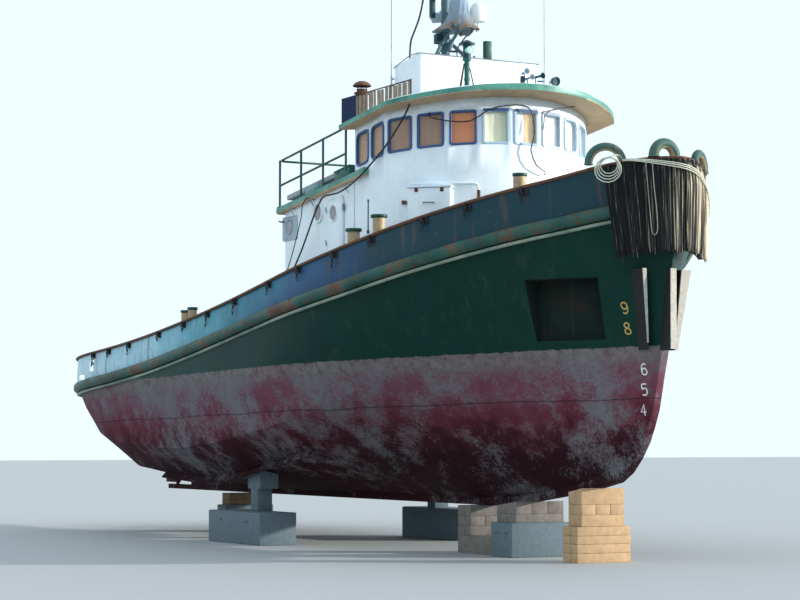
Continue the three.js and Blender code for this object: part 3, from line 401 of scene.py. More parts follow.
def add_node(tree, kind, inputs=None, stops=None, **settings):
    """Adds a shader node of a kind, with its settings and its inputs. Stops are a ramp's colours."""
    made = tree.nodes.new("ShaderNode" + kind)
    for name, value in settings.items():
        setattr(made, name, value)
    connect(tree, made, inputs or {})
    if stops:
        elements = made.color_ramp.elements
        while len(elements) < len(stops):
            elements.new(0.5)
        for element, (position, colour) in zip(elements, stops):
            element.position = position
            element.color = srgb(colour)
    return made


def new_finish(name):
    """An empty material with its shader; returns the material, its tree, the shader and the place on the
    piece."""
    material = bpy.data.materials.new(name)
    material.use_nodes = True
    tree = material.node_tree
    return material, tree, tree.nodes["Principled BSDF"], add_node(tree, "TexCoord").outputs["Object"]


# The inputs of a Mix node that mixes colours: factor, first colour and second colour.
FACTOR, FIRST, SECOND = 0, 6, 7


def weathered_paint(name, colours, wear, rust=0.35, roughness=0.5, grime="#3d382f"):
    """Alkyd paint brushed on steel plate: tones that drift over the surface, chips down to rust and streaks
    below."""
    material, tree, shader, place = new_finish(name)
    drift = add_node(tree, "TexNoise", {"Vector": place, "Scale": 1.1, "Detail": 6, "Roughness": 0.6})
    tone = add_node(tree, "ValToRGB", {"Fac": drift}, colours)
    upright = add_node(tree, "Mapping", {"Vector": place, "Scale": (9, 9, 0.5)})
    streak = add_node(tree, "TexNoise", {"Vector": upright, "Scale": 1, "Detail": 5})
    running = add_node(tree, "MapRange", {"Value": streak, "From Min": 0.55, "From Max": 0.78})
    faint = add_node(tree, "Math", {0: running, 1: rust * 0.8}, operation="MULTIPLY")
    streaked = add_node(tree, "Mix", {FACTOR: faint, FIRST: tone, SECOND: srgb(grime)}, data_type="RGBA")
    chips = add_node(tree, "TexNoise", {"Vector": place, "Scale": 9, "Detail": 9, "Roughness": 0.72})
    bare = add_node(tree, "MapRange", {"Value": chips, "From Min": wear, "From Max": wear + 0.03})
    rusty = add_node(tree, "Mix", {FACTOR: bare, FIRST: streaked, SECOND: srgb("#6a452e")}, data_type="RGBA")
    shine = add_node(tree, "MapRange", {"Value": bare, "To Min": roughness, "To Max": 0.9})
    relief = add_node(tree, "Bump", {"Height": chips, "Strength": 0.18, "Distance": 0.01})
    connect(
        tree, shader, {"Base Color": rusty, "Roughness": shine, "Specular IOR Level": 0.3, "Normal": relief}
    )
    return material


def plain_finish(name, colour, roughness, metallic=0.0, scale=30.0, depth=0.1, spread=0.12):
    """One even stuff with a fine grain: the tone and the relief both follow it."""
    material, tree, shader, place = new_finish(name)
    grain = add_node(tree, "TexNoise", {"Vector": place, "Scale": scale, "Detail": 7, "Roughness": 0.65})
    base = srgb(colour)
    dark = [c * (1 - spread * 2) for c in base[:3]] + [1]
    light = [min(1, c * (1 + spread * 2)) for c in base[:3]] + [1]
    tone = add_node(tree, "Mix", {FACTOR: grain, FIRST: dark, SECOND: light}, data_type="RGBA")
    relief = add_node(tree, "Bump", {"Height": grain, "Strength": depth, "Distance": 0.01})
    connect(
        tree, shader, {"Base Color": tone, "Roughness": roughness, "Metallic": metallic, "Normal": relief}
    )
    return material


def canvas_finish():
    """Sun-bleached cotton canvas, woven: blue-grey above and browned with rust where it flares out. The
    weave is drawn at 7 mm, because its threads of about 1 mm don't show."""
    material, tree, shader, place = new_finish("weathered_canvas")
    axes = add_node(tree, "SeparateXYZ", {"Vector": place})
    patch = add_node(tree, "TexNoise", {"Vector": place, "Scale": 7, "Detail": 6})
    height = add_node(tree, "MapRange", {"Value": axes.outputs["Z"], "From Min": 9.5, "From Max": 9.0})
    browned = add_node(tree, "Math", {0: height, 1: patch}, operation="MULTIPLY")
    stops = [(0.0, "#8fa3b4"), (0.3, "#7d8a96"), (0.5, "#877a6e"), (0.75, "#6d5a4b")]
    tone = add_node(tree, "ValToRGB", {"Fac": browned}, stops)
    weave = add_node(tree, "TexNoise", {"Vector": place, "Scale": 140, "Detail": 3})
    relief = add_node(tree, "Bump", {"Height": weave, "Strength": 0.25, "Distance": 0.004})
    connect(tree, shader, {"Base Color": tone, "Roughness": 0.95, "Normal": relief})
    return material


def window_glass():
    """Float glass, 6 mm: nearly clear, with a faint blue-green body, a sharp gloss and a film of salt."""
    material, tree, shader, place = new_finish("float_glass")
    film = add_node(tree, "TexNoise", {"Vector": place, "Scale": 3.0, "Detail": 5})
    tone = add_node(tree, "ValToRGB", {"Fac": film}, [(0.35, "#dcecef"), (0.65, "#eef4f2")])
    salt = add_node(tree, "MapRange", {"Value": film, "To Min": 0.05, "To Max": 0.12})
    connect(tree, shader, {"Base Color": tone, "Alpha": salt, "Roughness": 0.03})
    return material


# The line between bottom paint and topsides: its height at the origin, and its rise in a metre.
WATERLINE, WATERLINE_RISE = 3.1495, 0.0165


def hull_finish():
    """Green topsides over antifouling on plated steel. The bottom is chalky and scaled with bare grey
    patches, and darker low down, partly as painted shade; the topsides have faded aft to a grey green, and
    there is rust and dried growth along the line between them."""
    material, tree, shader, place = new_finish("hull_green_and_antifouling")
    axes = add_node(tree, "SeparateXYZ", {0: place})
    drift = add_node(tree, "TexNoise", {"Vector": place, "Scale": 0.55, "Detail": 5, "Roughness": 0.6})
    patch = add_node(tree, "TexNoise", {"Vector": place, "Scale": 1.7, "Detail": 9, "Roughness": 0.68})
    scale = add_node(tree, "TexNoise", {"Vector": place, "Scale": 7.0, "Detail": 10, "Roughness": 0.75})
    speck = add_node(tree, "TexNoise", {"Vector": place, "Scale": 24.0, "Detail": 8, "Roughness": 0.7})
    upright = add_node(tree, "Mapping", {"Vector": place, "Scale": (3.2, 3.2, 0.22)})
    streak = add_node(tree, "TexNoise", {"Vector": upright, "Scale": 1.6, "Detail": 7, "Roughness": 0.7})

    # Height above the painted line, with its edge worn
    sloping = {0: axes.outputs["X"], 1: -WATERLINE_RISE, 2: -WATERLINE}
    line = add_node(tree, "Math", sloping, operation="MULTIPLY_ADD")
    above = add_node(tree, "Math", {0: axes.outputs["Z"], 1: line}, operation="ADD")
    ragged = add_node(tree, "Math", {0: scale, 1: 0.09, 2: -0.045}, operation="MULTIPLY_ADD")
    worn = add_node(tree, "Math", {0: above, 1: ragged}, operation="ADD")
    topside = add_node(tree, "MapRange", {"Value": worn, "From Min": -0.006, "From Max": 0.006})

    # Green, fading aft, mottled, streaked and chipped
    fading = add_node(tree, "Math", {0: drift, 1: 5.0, 2: -2.5}, operation="MULTIPLY_ADD")
    along = add_node(tree, "Math", {0: axes.outputs["X"], 1: fading}, operation="ADD")
    faded = add_node(tree, "MapRange", {"Value": along, "From Min": -7.5, "From Max": 0.5})
    stops = [(0.0, "#a2ada4"), (0.3, "#6f948d"), (0.6, "#15493e"), (1.0, "#05352c")]
    greens = add_node(tree, "ValToRGB", {"Fac": faded}, stops)
    range_of_patches = {"Value": patch, "From Min": 0.35, "From Max": 0.7, "To Min": 0.0, "To Max": 0.45}
    mottled = add_node(tree, "MapRange", range_of_patches)
    green = add_node(tree, "Mix", {FACTOR: mottled, FIRST: greens, SECOND: srgb("#072821")}, data_type="RGBA")
    running = add_node(tree, "MapRange", {"Value": streak, "From Min": 0.56, "From Max": 0.8, "To Max": 0.4})
    streaked = add_node(
        tree, "Mix", {FACTOR: running, FIRST: green, SECOND: srgb("#46513f")}, data_type="RGBA"
    )
    chips = add_node(tree, "MapRange", {"Value": scale, "From Min": 0.67, "From Max": 0.7, "To Max": 0.55})
    topsides = add_node(
        tree, "Mix", {FACTOR: chips, FIRST: streaked, SECOND: srgb("#5c7168")}, data_type="RGBA"
    )

    # Antifouling: chalky pink high up and aft, wine red below and forward; the darkening towards the keel is
    # partly painted shade
    high = add_node(tree, "Math", {0: above, 1: 0.9, 2: 1.5}, operation="MULTIPLY_ADD")
    leaning = add_node(tree, "Math", {0: patch, 1: 1.5, 2: -0.75}, operation="MULTIPLY_ADD")
    chalk_and_low_shade = add_node(tree, "Math", {0: high, 1: leaning}, operation="ADD")
    stops = [(0.0, "#2b0f17"), (0.3, "#431a24"), (0.6, "#64303c"), (1.0, "#6e434f")]
    reds = add_node(tree, "ValToRGB", {"Fac": chalk_and_low_shade}, stops)

    # Bare grey patches, where noises of four sizes and the height together are high, and flakes
    fine = add_node(tree, "Math", {0: speck, 1: 0.7}, operation="MULTIPLY")
    finer = add_node(tree, "Math", {0: scale, 1: 0.5, 2: fine}, operation="MULTIPLY_ADD")
    broad = add_node(tree, "Math", {0: patch, 1: 1.0, 2: finer}, operation="MULTIPLY_ADD")
    broader = add_node(tree, "Math", {0: drift, 1: 0.9, 2: broad}, operation="MULTIPLY_ADD")
    scaling = add_node(tree, "Math", {0: above, 1: 0.09, 2: broader}, operation="MULTIPLY_ADD")
    bared = add_node(tree, "MapRange", {"Value": scaling, "From Min": 1.42, "From Max": 1.66, "To Max": 0.92})
    scaled = add_node(tree, "Mix", {FACTOR: bared, FIRST: reds, SECOND: srgb("#6f6f72")}, data_type="RGBA")
    flakes = add_node(tree, "MapRange", {"Value": speck, "From Min": 0.68, "From Max": 0.71, "To Max": 0.8})
    flaked = add_node(tree, "Mix", {FACTOR: flakes, FIRST: scaled, SECOND: srgb("#908a8c")}, data_type="RGBA")

    # Dried growth and rust in a belt under the line
    reach = add_node(tree, "Math", {0: patch, 1: 0.7, 2: -0.62}, operation="MULTIPLY_ADD")
    belt = add_node(tree, "Math", {0: above, 1: reach}, operation="SUBTRACT")
    belted = add_node(tree, "MapRange", {"Value": belt, "From Min": -0.05, "From Max": 0.12, "To Max": 0.7})
    stops = [(0.35, "#828280"), (0.5, "#706f6e"), (0.62, "#604a3f"), (0.72, "#45352e")]
    crust = add_node(tree, "ValToRGB", {"Fac": scale}, stops)
    bottom = add_node(tree, "Mix", {FACTOR: belted, FIRST: flaked, SECOND: crust}, data_type="RGBA")

    # The dark seam of a plate under the belt
    waving = add_node(tree, "Math", {0: drift, 1: 0.12, 2: above}, operation="MULTIPLY_ADD")
    apart = add_node(tree, "Math", {0: waving, 1: 0.72}, operation="ADD")
    off = add_node(tree, "Math", {0: apart}, operation="ABSOLUTE")
    narrow = {"Value": off, "From Min": 0.004, "From Max": 0.016, "To Min": 0.6, "To Max": 0.0}
    seam = add_node(tree, "MapRange", narrow)
    seamed = add_node(tree, "Mix", {FACTOR: seam, FIRST: bottom, SECOND: srgb("#23181a")}, data_type="RGBA")

    painted = add_node(tree, "Mix", {FACTOR: topside, FIRST: seamed, SECOND: topsides}, data_type="RGBA")
    shine = add_node(tree, "MapRange", {"Value": topside, "To Min": 0.86, "To Max": 0.45})
    relief = add_node(tree, "Bump", {"Height": scale, "Strength": 0.3, "Distance": 0.012})
    connect(
        tree, shader,
        {"Base Color": painted, "Roughness": shine, "Specular IOR Level": 0.14, "Normal": relief}
    )
    return material


def bulwark_finish():
    """Navy enamel on the bulwark forward, faded aft to a chalky sky blue and teal, with rust at the seams."""
    material, tree, shader, place = new_finish("bulwark_navy_enamel")
    axes = add_node(tree, "SeparateXYZ", {0: place})
    drift = add_node(tree, "TexNoise", {"Vector": place, "Scale": 1.2, "Detail": 6, "Roughness": 0.65})
    chips = add_node(tree, "TexNoise", {"Vector": place, "Scale": 6.5, "Detail": 10, "Roughness": 0.72})
    fading = add_node(tree, "Math", {0: drift, 1: 5.0, 2: -2.5}, operation="MULTIPLY_ADD")
    along = add_node(tree, "Math", {0: axes.outputs["X"], 1: fading}, operation="ADD")
    faded = add_node(tree, "MapRange", {"Value": along, "From Min": -8.0, "From Max": 6.0})
    stops = [(0.0, "#bcd9e2"), (0.3, "#98c6d6"), (0.5, "#5aa0b0"), (0.68, "#276f86"), (0.8, "#1f5078")]
    stops += [(0.93, "#1a4463"), (1.0, "#153c48")]
    blues = add_node(tree, "ValToRGB", {"Fac": faded}, stops)
    upright = add_node(tree, "Mapping", {"Vector": place, "Scale": (7, 7, 0.8)})
    streak = add_node(tree, "TexNoise", {"Vector": upright, "Scale": 1, "Detail": 6})
    rusting = add_node(tree, "MapRange", {"Value": streak, "From Min": 0.56, "From Max": 0.72, "To Max": 0.7})
    streaked = add_node(
        tree, "Mix", {FACTOR: rusting, FIRST: blues, SECOND: srgb("#5b4a3c")}, data_type="RGBA"
    )
    bare = add_node(tree, "MapRange", {"Value": chips, "From Min": 0.63, "From Max": 0.66, "To Max": 0.85})
    rusty = add_node(tree, "Mix", {FACTOR: bare, FIRST: streaked, SECOND: srgb("#60432f")}, data_type="RGBA")
    relief = add_node(tree, "Bump", {"Height": chips, "Strength": 0.25, "Distance": 0.01})
    connect(
        tree, shader, {"Base Color": rusty, "Roughness": 0.45, "Specular IOR Level": 0.25, "Normal": relief}
    )
    return material


def manila_finish(name, shift):
    """Laid manila, old: every strand has its own tone, from near black to pale straw. Across the fender the
    tone is pushed darker towards starboard as painted shade and paler towards port as painted sunlight. The
    shift makes a whole bundle darker or paler. Fibres are drawn at 11 mm, because theirs of well under 1 mm
    don't show."""
    material, tree, shader, place = new_finish(name)
    axes = add_node(tree, "SeparateXYZ", {0: place})
    upright = add_node(tree, "Mapping", {"Vector": place, "Scale": (38, 38, 0.9)})
    strand = add_node(tree, "TexNoise", {"Vector": upright, "Scale": 1, "Detail": 3})
    fibre = add_node(tree, "TexNoise", {"Vector": place, "Scale": 90, "Detail": 5, "Roughness": 0.7})
    # Painted shade and painted sunlight: the tone darkens towards starboard and lightens towards port.
    across = {"Value": axes.outputs["Y"], "From Min": -0.85, "From Max": 0.9}
    leaning = add_node(tree, "MapRange", {**across, "To Min": -0.3 + shift, "To Max": 0.06 + shift})
    tone = add_node(tree, "Math", {0: strand, 1: leaning}, operation="ADD")
    grained = add_node(tree, "Math", {0: fibre, 1: 0.3, 2: tone}, operation="MULTIPLY_ADD")
    stops = [(0.34, "#090b0f"), (0.52, "#1c1d1f"), (0.68, "#565148"), (0.8, "#978c78"), (0.92, "#d3c6a8")]
    colour = add_node(tree, "ValToRGB", {"Fac": grained}, stops)
    relief = add_node(tree, "Bump", {"Height": fibre, "Strength": 0.5, "Distance": 0.004})
    connect(tree, shader, {"Base Color": colour, "Roughness": 0.95, "Normal": relief})
    return material


# Antifouling and enamel on the hull and the bulwark
HULL_PAINT = hull_finish()
BULWARK_PAINT = bulwark_finish()

# Brushed alkyd enamels. Each has its tones in blotches, dull chips of rust, and streaks that run down.

# The guard's green is rubbed through to brown steel along its face.
tones = [(0.3, "#134039"), (0.5, "#27584f"), (0.58, "#5c4c3e"), (0.68, "#3c2c23")]
GUARD_PAINT = weathered_paint("guard_green_over_rust", tones, 0.56, rust=0.7)
# The bar under the guard: faded to a pale chalky green.
tones = [(0.3, "#5f7a6c"), (0.5, "#8b9c8c"), (0.7, "#b3b8a8")]
SHEER_PAINT = weathered_paint("faded_green_bar", tones, 0.6, rust=0.5)
# The plates inside an anchor pocket: dirty green, nearly black as painted shade in the recess, with rust at
# the foot.
tones = [(0.3, "#040f0d"), (0.5, "#091a17"), (0.62, "#10231f"), (0.74, "#2a1f18")]
POCKET_SHADE_PAINT = weathered_paint("anchor_pocket_painted_shade", tones, 0.68, rust=0.4, roughness=0.9)
# Bare steel left to rust: brown, matt and uneven.
tones = [(0.3, "#4a3a30"), (0.5, "#6b4a36"), (0.7, "#3b3733")]
RAIL_RUST = weathered_paint("rusted_plate", tones, 0.6, rust=0.8, roughness=0.8)
# The houses' white, tinted blue all over as painted sky-lit shade; half glossy, with few chips and tan runs.
tones = [(0.3, "#e0eef6"), (0.5, "#ebf6fb"), (0.7, "#d8e6ee")]
WHITE_PAINT = weathered_paint("white_enamel", tones, 0.735, rust=0.22, roughness=0.35, grime="#a89a84")
# Deck gear: bottle green with a dull gloss.
tones = [(0.3, "#0f3a33"), (0.5, "#195045"), (0.7, "#28665a")]
GREEN_PAINT = weathered_paint("green_enamel", tones, 0.64, rust=0.4, roughness=0.45)
# Walked-on deck paint: grey green and matt.
tones = [(0.3, "#4f5a53"), (0.5, "#5e6a62"), (0.7, "#6d6a5e")]
DECK_PAINT = weathered_paint("deck_paint", tones, 0.6, rust=0.5, roughness=0.8)
# Under the roof and the boat deck: warm tan, partly the paint's own and partly painted bounce light from the
# sunlit ground.
tones = [(0.3, "#d8b68e"), (0.5, "#e4c49c"), (0.7, "#c8a780")]
SOFFIT_TAN_AND_BOUNCE_LIGHT = weathered_paint("soffit_tan_and_painted_bounce_light", tones, 0.68, rust=0.4, roughness=0.6, grime="#8a765c")
# Hinges, dogs and trim: neutral grey.
tones = [(0.3, "#6f7578"), (0.5, "#858c8f"), (0.7, "#9aa0a1")]
GREY_PAINT = weathered_paint("grey_enamel", tones, 0.66, rust=0.3)
# The brim of the roof and the edge of the boat deck: mid teal, patched darker and paler.
tones = [(0.3, "#3d8577"), (0.5, "#5d9c8c"), (0.65, "#2c6e61"), (0.8, "#7fb0a0")]
BRIM_PAINT = weathered_paint("brim_teal_enamel", tones, 0.68, rust=0.4, roughness=0.4)
# Rails and stanchions: dark green, much chipped.
tones = [(0.3, "#1d4640"), (0.5, "#2f5f57"), (0.7, "#4a5a50")]
RAILING_PAINT = weathered_paint("railing_dark_green", tones, 0.6, rust=0.6)
# The rack: grey with dark blotches.
tones = [(0.3, "#7e8a8c"), (0.5, "#97a3a4"), (0.7, "#6c7576")]
RACK_PAINT = weathered_paint("rack_grey_paint", tones, 0.64, rust=0.4)
# The mast: grey teal, darkened by soot.
tones = [(0.3, "#3f5a60"), (0.5, "#55737a"), (0.7, "#31484e")]
MAST_PAINT = weathered_paint("mast_grey_teal", tones, 0.6, rust=0.4)
# The lamp, the horns' brackets and the mast's boxes: nearly black teal.
tones = [(0.3, "#16343a"), (0.5, "#1f4850"), (0.7, "#12282d")]
BLACK_TEAL = weathered_paint("dark_teal_enamel", tones, 0.64, rust=0.3)
# Plates on the house and the mast, and the whips: pale blue grey.
tones = [(0.3, "#93a7b3"), (0.5, "#a9bac4"), (0.7, "#8395a0")]
PALE_GREY = weathered_paint("pale_grey_plate", tones, 0.6)
# The bow chocks: teal, worn and rusted by the lines.
tones = [(0.3, "#23463f"), (0.5, "#3b6157"), (0.68, "#5b6a5e")]
CHOCK_PAINT = weathered_paint("chock_teal_enamel", tones, 0.62, rust=0.7, roughness=0.55)

# Enamel on window frames and figures: even colour, a soft gloss and faint brush marks.
FRAME_BLUE = plain_finish("window_frame_blue", "#2b5287", 0.45, scale=14, spread=0.2)
FRAME_PALE = plain_finish("window_frame_pale", "#a9c4d8", 0.45, scale=14)
OCHRE_PAINT = plain_finish("ochre_figure_paint", "#c9a45c", 0.6, spread=0.1)
FIGURE_WHITE = plain_finish("white_figure_paint", "#dfe1dc", 0.6, spread=0.06)

# Roller blinds, woven and coated: matt and even, and bright where the sun comes through them.
BLIND_LOOKS = {
    "tan": ("tan_roller_blind", "#c48f62", 0.08),
    "brown": ("brown_roller_blind", "#ab7a54", 0.1),
    "orange": ("sunlit_orange_blind", "#f58a3c", 0.08),
    "amber": ("sunlit_amber_blind", "#ffcf94", 0.06),
    "cream": ("cream_roller_blind", "#fff6d2", 0.05),
    "white": ("white_roller_blind", "#eef0f0", 0.03),
}
BLINDS = {
    look: plain_finish(name, colour, 0.9, scale=40, spread=spread)
    for look, (name, colour, spread) in BLIND_LOOKS.items()
}

# Glass: clear and sharp in the windows, clouded to grey in the port lights, pale green in the lamp.
WINDOW_GLASS = window_glass()
PORT_GLASS = plain_finish("clouded_port_glass", "#8d8a8c", 0.22, scale=9, depth=0.03, spread=0.18)
PALE_LENS = plain_finish("pale_green_lens", "#a9d8c2", 0.2, scale=9, depth=0.02, spread=0.08)

# Moulded plastic: smooth, with hardly any tone.
TEAL_PLASTIC = plain_finish("moulded_teal_plastic", "#5d8f92", 0.5, scale=6, depth=0.05, spread=0.1)
DOME_WHITE = plain_finish("moulded_white_plastic", "#e3e8e6", 0.4, scale=8, depth=0.03, spread=0.03)

# Metals: blackened steel with a dull sheen, cast bronze gone brown, and steel worn tan by ropes.
BLACK_STEEL = plain_finish("blackened_steel", "#26272a", 0.6, 0.3)
BRONZE = plain_finish("dull_bronze", "#8a6a3c", 0.4, 0.85, scale=8, spread=0.2)
WORN_TAN = plain_finish("rope_worn_steel", "#b09a78", 0.6, 0.2, scale=14, depth=0.3, spread=0.25)

# Cast concrete, pitted, in a dark cool blue grey that stands for the hull's shadow on it: painted shade.
CONCRETE_IN_SHADE = plain_finish("cast_concrete_painted_shade", "#5f6f76", 0.92, scale=14, depth=0.4, spread=0.18)

# Softwood, sawn: rough and open, brown where it is newer, grey where it is old, and pale in painted sunlight.
GREY_BOARDS = plain_finish("weathered_boards", "#8d8170", 0.9, scale=10, depth=0.5, spread=0.35)
TIMBER = plain_finish("rough_timber", "#7d6a50", 0.9, scale=9, depth=0.4, spread=0.3)
GREY_TIMBER = plain_finish("grey_weathered_timber", "#76706a", 0.92, scale=9, depth=0.5, spread=0.3)
SUNLIT_TIMBER = plain_finish("sawn_timber_painted_sunlight", "#b59672", 0.9, scale=9, depth=0.5, spread=0.2)

# Moulded rubber: black and dusty, and pale grey on the faces that have pushed, partly scuffing and partly
# painted sunlight on the fore faces.
RUBBER = plain_finish("worn_rubber", "#1f1e1d", 0.85, scale=12, depth=0.3, spread=0.25)
SCUFFED_AND_SUNLIT_RUBBER = plain_finish("scuffed_and_sunlit_rubber_face", "#b9b2a6", 0.8, scale=16, depth=0.4, spread=0.25)

# Ropes, laid, and a cable's extruded sheath: matt strands with a coarse relief, and smooth black.
# The fender's core: near black, so that it shows as painted shade between the strands.
CORE_ROPE_SHADE_BLACK = plain_finish("core_rope_painted_shade_black", "#1c1d1f", 0.95, depth=0.6, spread=0.3)
PALE_ROPE = plain_finish("bleached_nylon_rope", "#cfd3bf", 0.8, scale=45, depth=0.3)
GREY_ROPE = plain_finish("grey_hemp_rope", "#8f8d86", 0.9, scale=45, depth=0.3, spread=0.15)
YELLOW_ROPE = plain_finish("yellow_polyprop_rope", "#c9b25a", 0.7, scale=45, depth=0.3, spread=0.15)
BLACK_CABLE = plain_finish("black_cable_sheath", "#191a1c", 0.5, scale=25, spread=0.2)
# Old manila in three tones; all lean darker to starboard and paler to port as painted shade and painted
# sunlight.
MANILA = manila_finish("old_manila_strands", 0.0)
DARK_AND_SHADED_MANILA = manila_finish("dark_and_shaded_manila_strands", -0.22)
PALE_AND_SUNLIT_MANILA = manila_finish("pale_and_sunlit_manila_strands", 0.2)

# Canvas: navy and matt on the dodger, bleached and browned round the radar's pedestal.
NAVY_CANVAS = plain_finish("navy_canvas", "#1b2c4a", 0.95, scale=60, depth=0.2, spread=0.15)
FADED_CANVAS = canvas_finish()


# Hull

SECTION_STEPS = 5
HULL_COLUMNS = 110
ANCHOR_POCKET = {
    "x": 8.86, "y": 1.03, "low": 3.42, "high": 4.35, "angle": 0.52, "reach": 0.15, "half": (0.6, 0.5)
}
# The guard, the bulwark and the rail each stand for four solids, one to a length.
LENGTHS = ("fore", "waist_starboard", "waist_port", "aft")


def hull_section(t):
    """The half section at t, from the keel line out to the deck edge and in to the deck's middle."""
    names = ["bottom", "lower chine", "upper chine", "side", "deck"]
    line = [on_line(name, t) for name in names]
    chain = [Vector((line[1].x, -line[1].y, line[1].z))] + line + [2 * line[4] - line[3]]
    points = []
    for p0, p1, p2, p3 in zip(chain, chain[1:], chain[2:], chain[3:]):
        f = min(1.0, max(0.0, (p1.x - ROUND_FROM) / (ROUND_TO - ROUND_FROM)))
        roundness = f * f * (3 - 2 * f)
        for k in range(SECTION_STEPS):
            s = k / SECTION_STEPS
            points.append(p1.lerp(p2, s).lerp(on_curve(p0, p1, p2, p3, s), roundness))
    edge = line[4]
    points.append(edge)
    middle = Vector((edge.x, 0, edge.z + CAMBER * edge.y / LINES["deck"].half))
    return points + [edge.lerp(middle, 0.5), middle]


def hull_plating():
    """The plated hull with its deck, smooth forward and with two hard chines aft."""
    sections = [hull_section(c / HULL_COLUMNS) for c in range(HULL_COLUMNS + 1)]
    count = len(sections[0])

    def place(u, v):
        section = sections[round(u * HULL_COLUMNS)]
        k = round(v * (2 * count - 1))
        if k < count:
            return section[count - 1 - k]
        point = section[k - count].copy()
        point.y = -point.y
        return point

    mesh = closed(draped(HULL_COLUMNS, 2 * count - 1, place))
    hull = finished(mesh, "hull_plating", HULL_PAINT, sharp=24, stands_for=["hull"])
    pockets = bmesh.new()
    p = ANCHOR_POCKET
    for side in (-1, 1):
        x = p["x"] + math.sin(p["angle"]) * p["reach"]
        y = side * (p["y"] + math.cos(p["angle"]) * p["reach"])
        half = Vector((*p["half"], 0))
        add_box(
            pockets, Vector((x, y, p["low"])) - half, Vector((x, y, p["high"])) + half, -side * p["angle"]
        )
    # The pocket's cut faces take the nearly black painted shade.
    return cut_out(hull, pockets, POCKET_SHADE_PAINT)


def guard():
    """The half-round guard, dented and rubbed, right round the deck edge."""
    steps = 9
    mid = -GUARD["below"] + GUARD["height"] / 2
    profile = [(-0.02, mid + GUARD["height"] / 2), (-0.02, mid - GUARD["height"] / 2)]
    for k in range(steps):
        angle = math.radians(-88 + 176 * k / (steps - 1))
        profile.append((GUARD["out"] * math.cos(angle) ** 0.6, mid + math.sin(angle) * GUARD["height"] / 2))

    def path(u, out, up):
        point = around("deck", u, out, up)
        if out > 0:
            point.z += noise.noise(Vector((point.x * 1.3, point.y * 0.7, 3.0))) * 0.012  # dents
        return point

    solids = [f"guard_belt_{name}" for name in LENGTHS]
    finished(swept(profile, 260, path), "guard", GUARD_PAINT, stands_for=solids)


def sheer_moulding():
    """The pale half-round bar under the guard."""
    mid = -MOULDING["middle"]
    profile = [(-0.03, mid + 0.02), (-0.03, mid - 0.02)]
    for k in range(7):
        angle = math.radians(-90 + 180 * k / 6)
        profile.append((MOULDING["out"] * math.cos(angle), mid + math.sin(angle) * MOULDING["half"]))
    mesh = swept(profile, 240, lambda u, out, up: around("deck", u, out, up))
    finished(mesh, "sheer_bar", SHEER_PAINT)


def cap_rail():
    """The flat bar on top of the bulwark, with a rounded edge."""
    low, high = -CAP["height"], 0.0
    outer, inner = CAP["out"], -CAP["inside"]
    profile = [
        (outer - 0.01, high), (outer, high - 0.012), (outer, low + 0.012), (outer - 0.01, low), (inner, low),
        (inner, high),
    ]
    mesh = swept(profile, 260, lambda u, out, up: around("rail", u, out, up))
    solids = [f"cap_rail_{name}" for name in LENGTHS]
    finished(mesh, "rail_bar", RAIL_RUST, stands_for=solids)


FREEING_PORTS = {"stations": (-8.75, -7.75, -6.75), "length": 0.62, "up": 0.09, "height": 0.13}
MOORING_PORT = {"stations": (-5.9,), "length": 0.3, "up": 0.23, "height": 0.23}


def bulwark():
    """The bulwark's plating with its knuckle, freeing ports and mooring ports."""
    knuckle = 0.4  # the share of the rows that lie below the knuckle

    def place(u, v):
        if v <= knuckle:
            share = v / knuckle
            return around("deck", u, share * BULWARK["knuckle_out"], 0.0005 + share * BULWARK["knuckle_up"])
        low = around("deck", u, BULWARK["knuckle_out"], BULWARK["knuckle_up"])
        high = around("rail", u, 0.0, -CAP["height"])
        return low.lerp(high, (v - knuckle) / (1 - knuckle))

    mesh = draped(240, 5, place)
    bmesh.ops.recalc_face_normals(mesh, faces=mesh.faces)
    solids = [f"bulwark_{name}" for name in LENGTHS]
    piece = finished(mesh, "bulwark_plating", BULWARK_PAINT, sharp=15, stands_for=solids)
    plated(piece, BULWARK["thick"])
    slots = bmesh.new()
    for ports in (FREEING_PORTS, MOORING_PORT):
        for x in ports["stations"]:
            slope = (half_breadth("deck", x + 0.1) - half_breadth("deck", x - 0.1)) / 0.2
            low = height_at("deck", x) + ports["up"]
            for _, side in SIDES:
                foot = Vector((x, side * half_breadth("deck", x), low))
                half = Vector((ports["length"] / 2, 0.25, 0))
                top = foot + Vector((0, 0, ports["height"]))
                add_box(slots, foot - half, top + half, side * math.atan(slope))
    cut_out(piece, slots)


# Houses


def risen(mesh):
    """Raises each point by the houses' slope, as they follow the sheer."""
    for vertex in mesh.verts:
        vertex.co.z += rise_at(vertex.co.x)
    return mesh


def wheelhouse_plan(inset=0.0):
    """The outline of the wheelhouse from the middle of its aft wall round by starboard, with a point at each
    window's edge."""
    half, radius = HOUSE["half"] - inset, HOUSE["arc_r"] - inset
    aft = HOUSE["wheel_aft"] + inset
    window = WINDOW["width"] / 2
    points = [(aft, -y) for y in (0.0, 0.26, 0.575, 0.89, 1.41, 1.7, half - 0.05)]
    points += [(aft + 0.015, -half + 0.015)]
    points += [(x, -half) for x in (aft + 0.05, 3.915, 4.13, 4.345, 4.455, 4.67, 4.884)]
    half_angle = math.asin(window / HOUSE["arc_r"])
    reach = math.asin(half / radius)
    angles = [-reach]
    for i in range(-WINDOW["on_arc"], WINDOW["on_arc"] + 1):
        middle = i * WINDOW["pitch"]
        angles += [middle - half_angle, middle - half_angle / 3, middle + half_angle / 3, middle + half_angle]
        if i < WINDOW["on_arc"]:
            angles.append(middle + WINDOW["pitch"] / 2)
    angles.append(reach)
    points += [(HOUSE["arc_x"] + radius * math.cos(a), radius * math.sin(a)) for a in angles]
    port = [(x, -y) for x, y in points if x < HOUSE["arc_x"] + radius * math.cos(reach) - 1e-4 and y < -0.001]
    return points + port[::-1]


def roof_underside(y):
    return ROOF["under"] + ROOF["crown"] * (1 - (y / ROOF["half"]) ** 2)


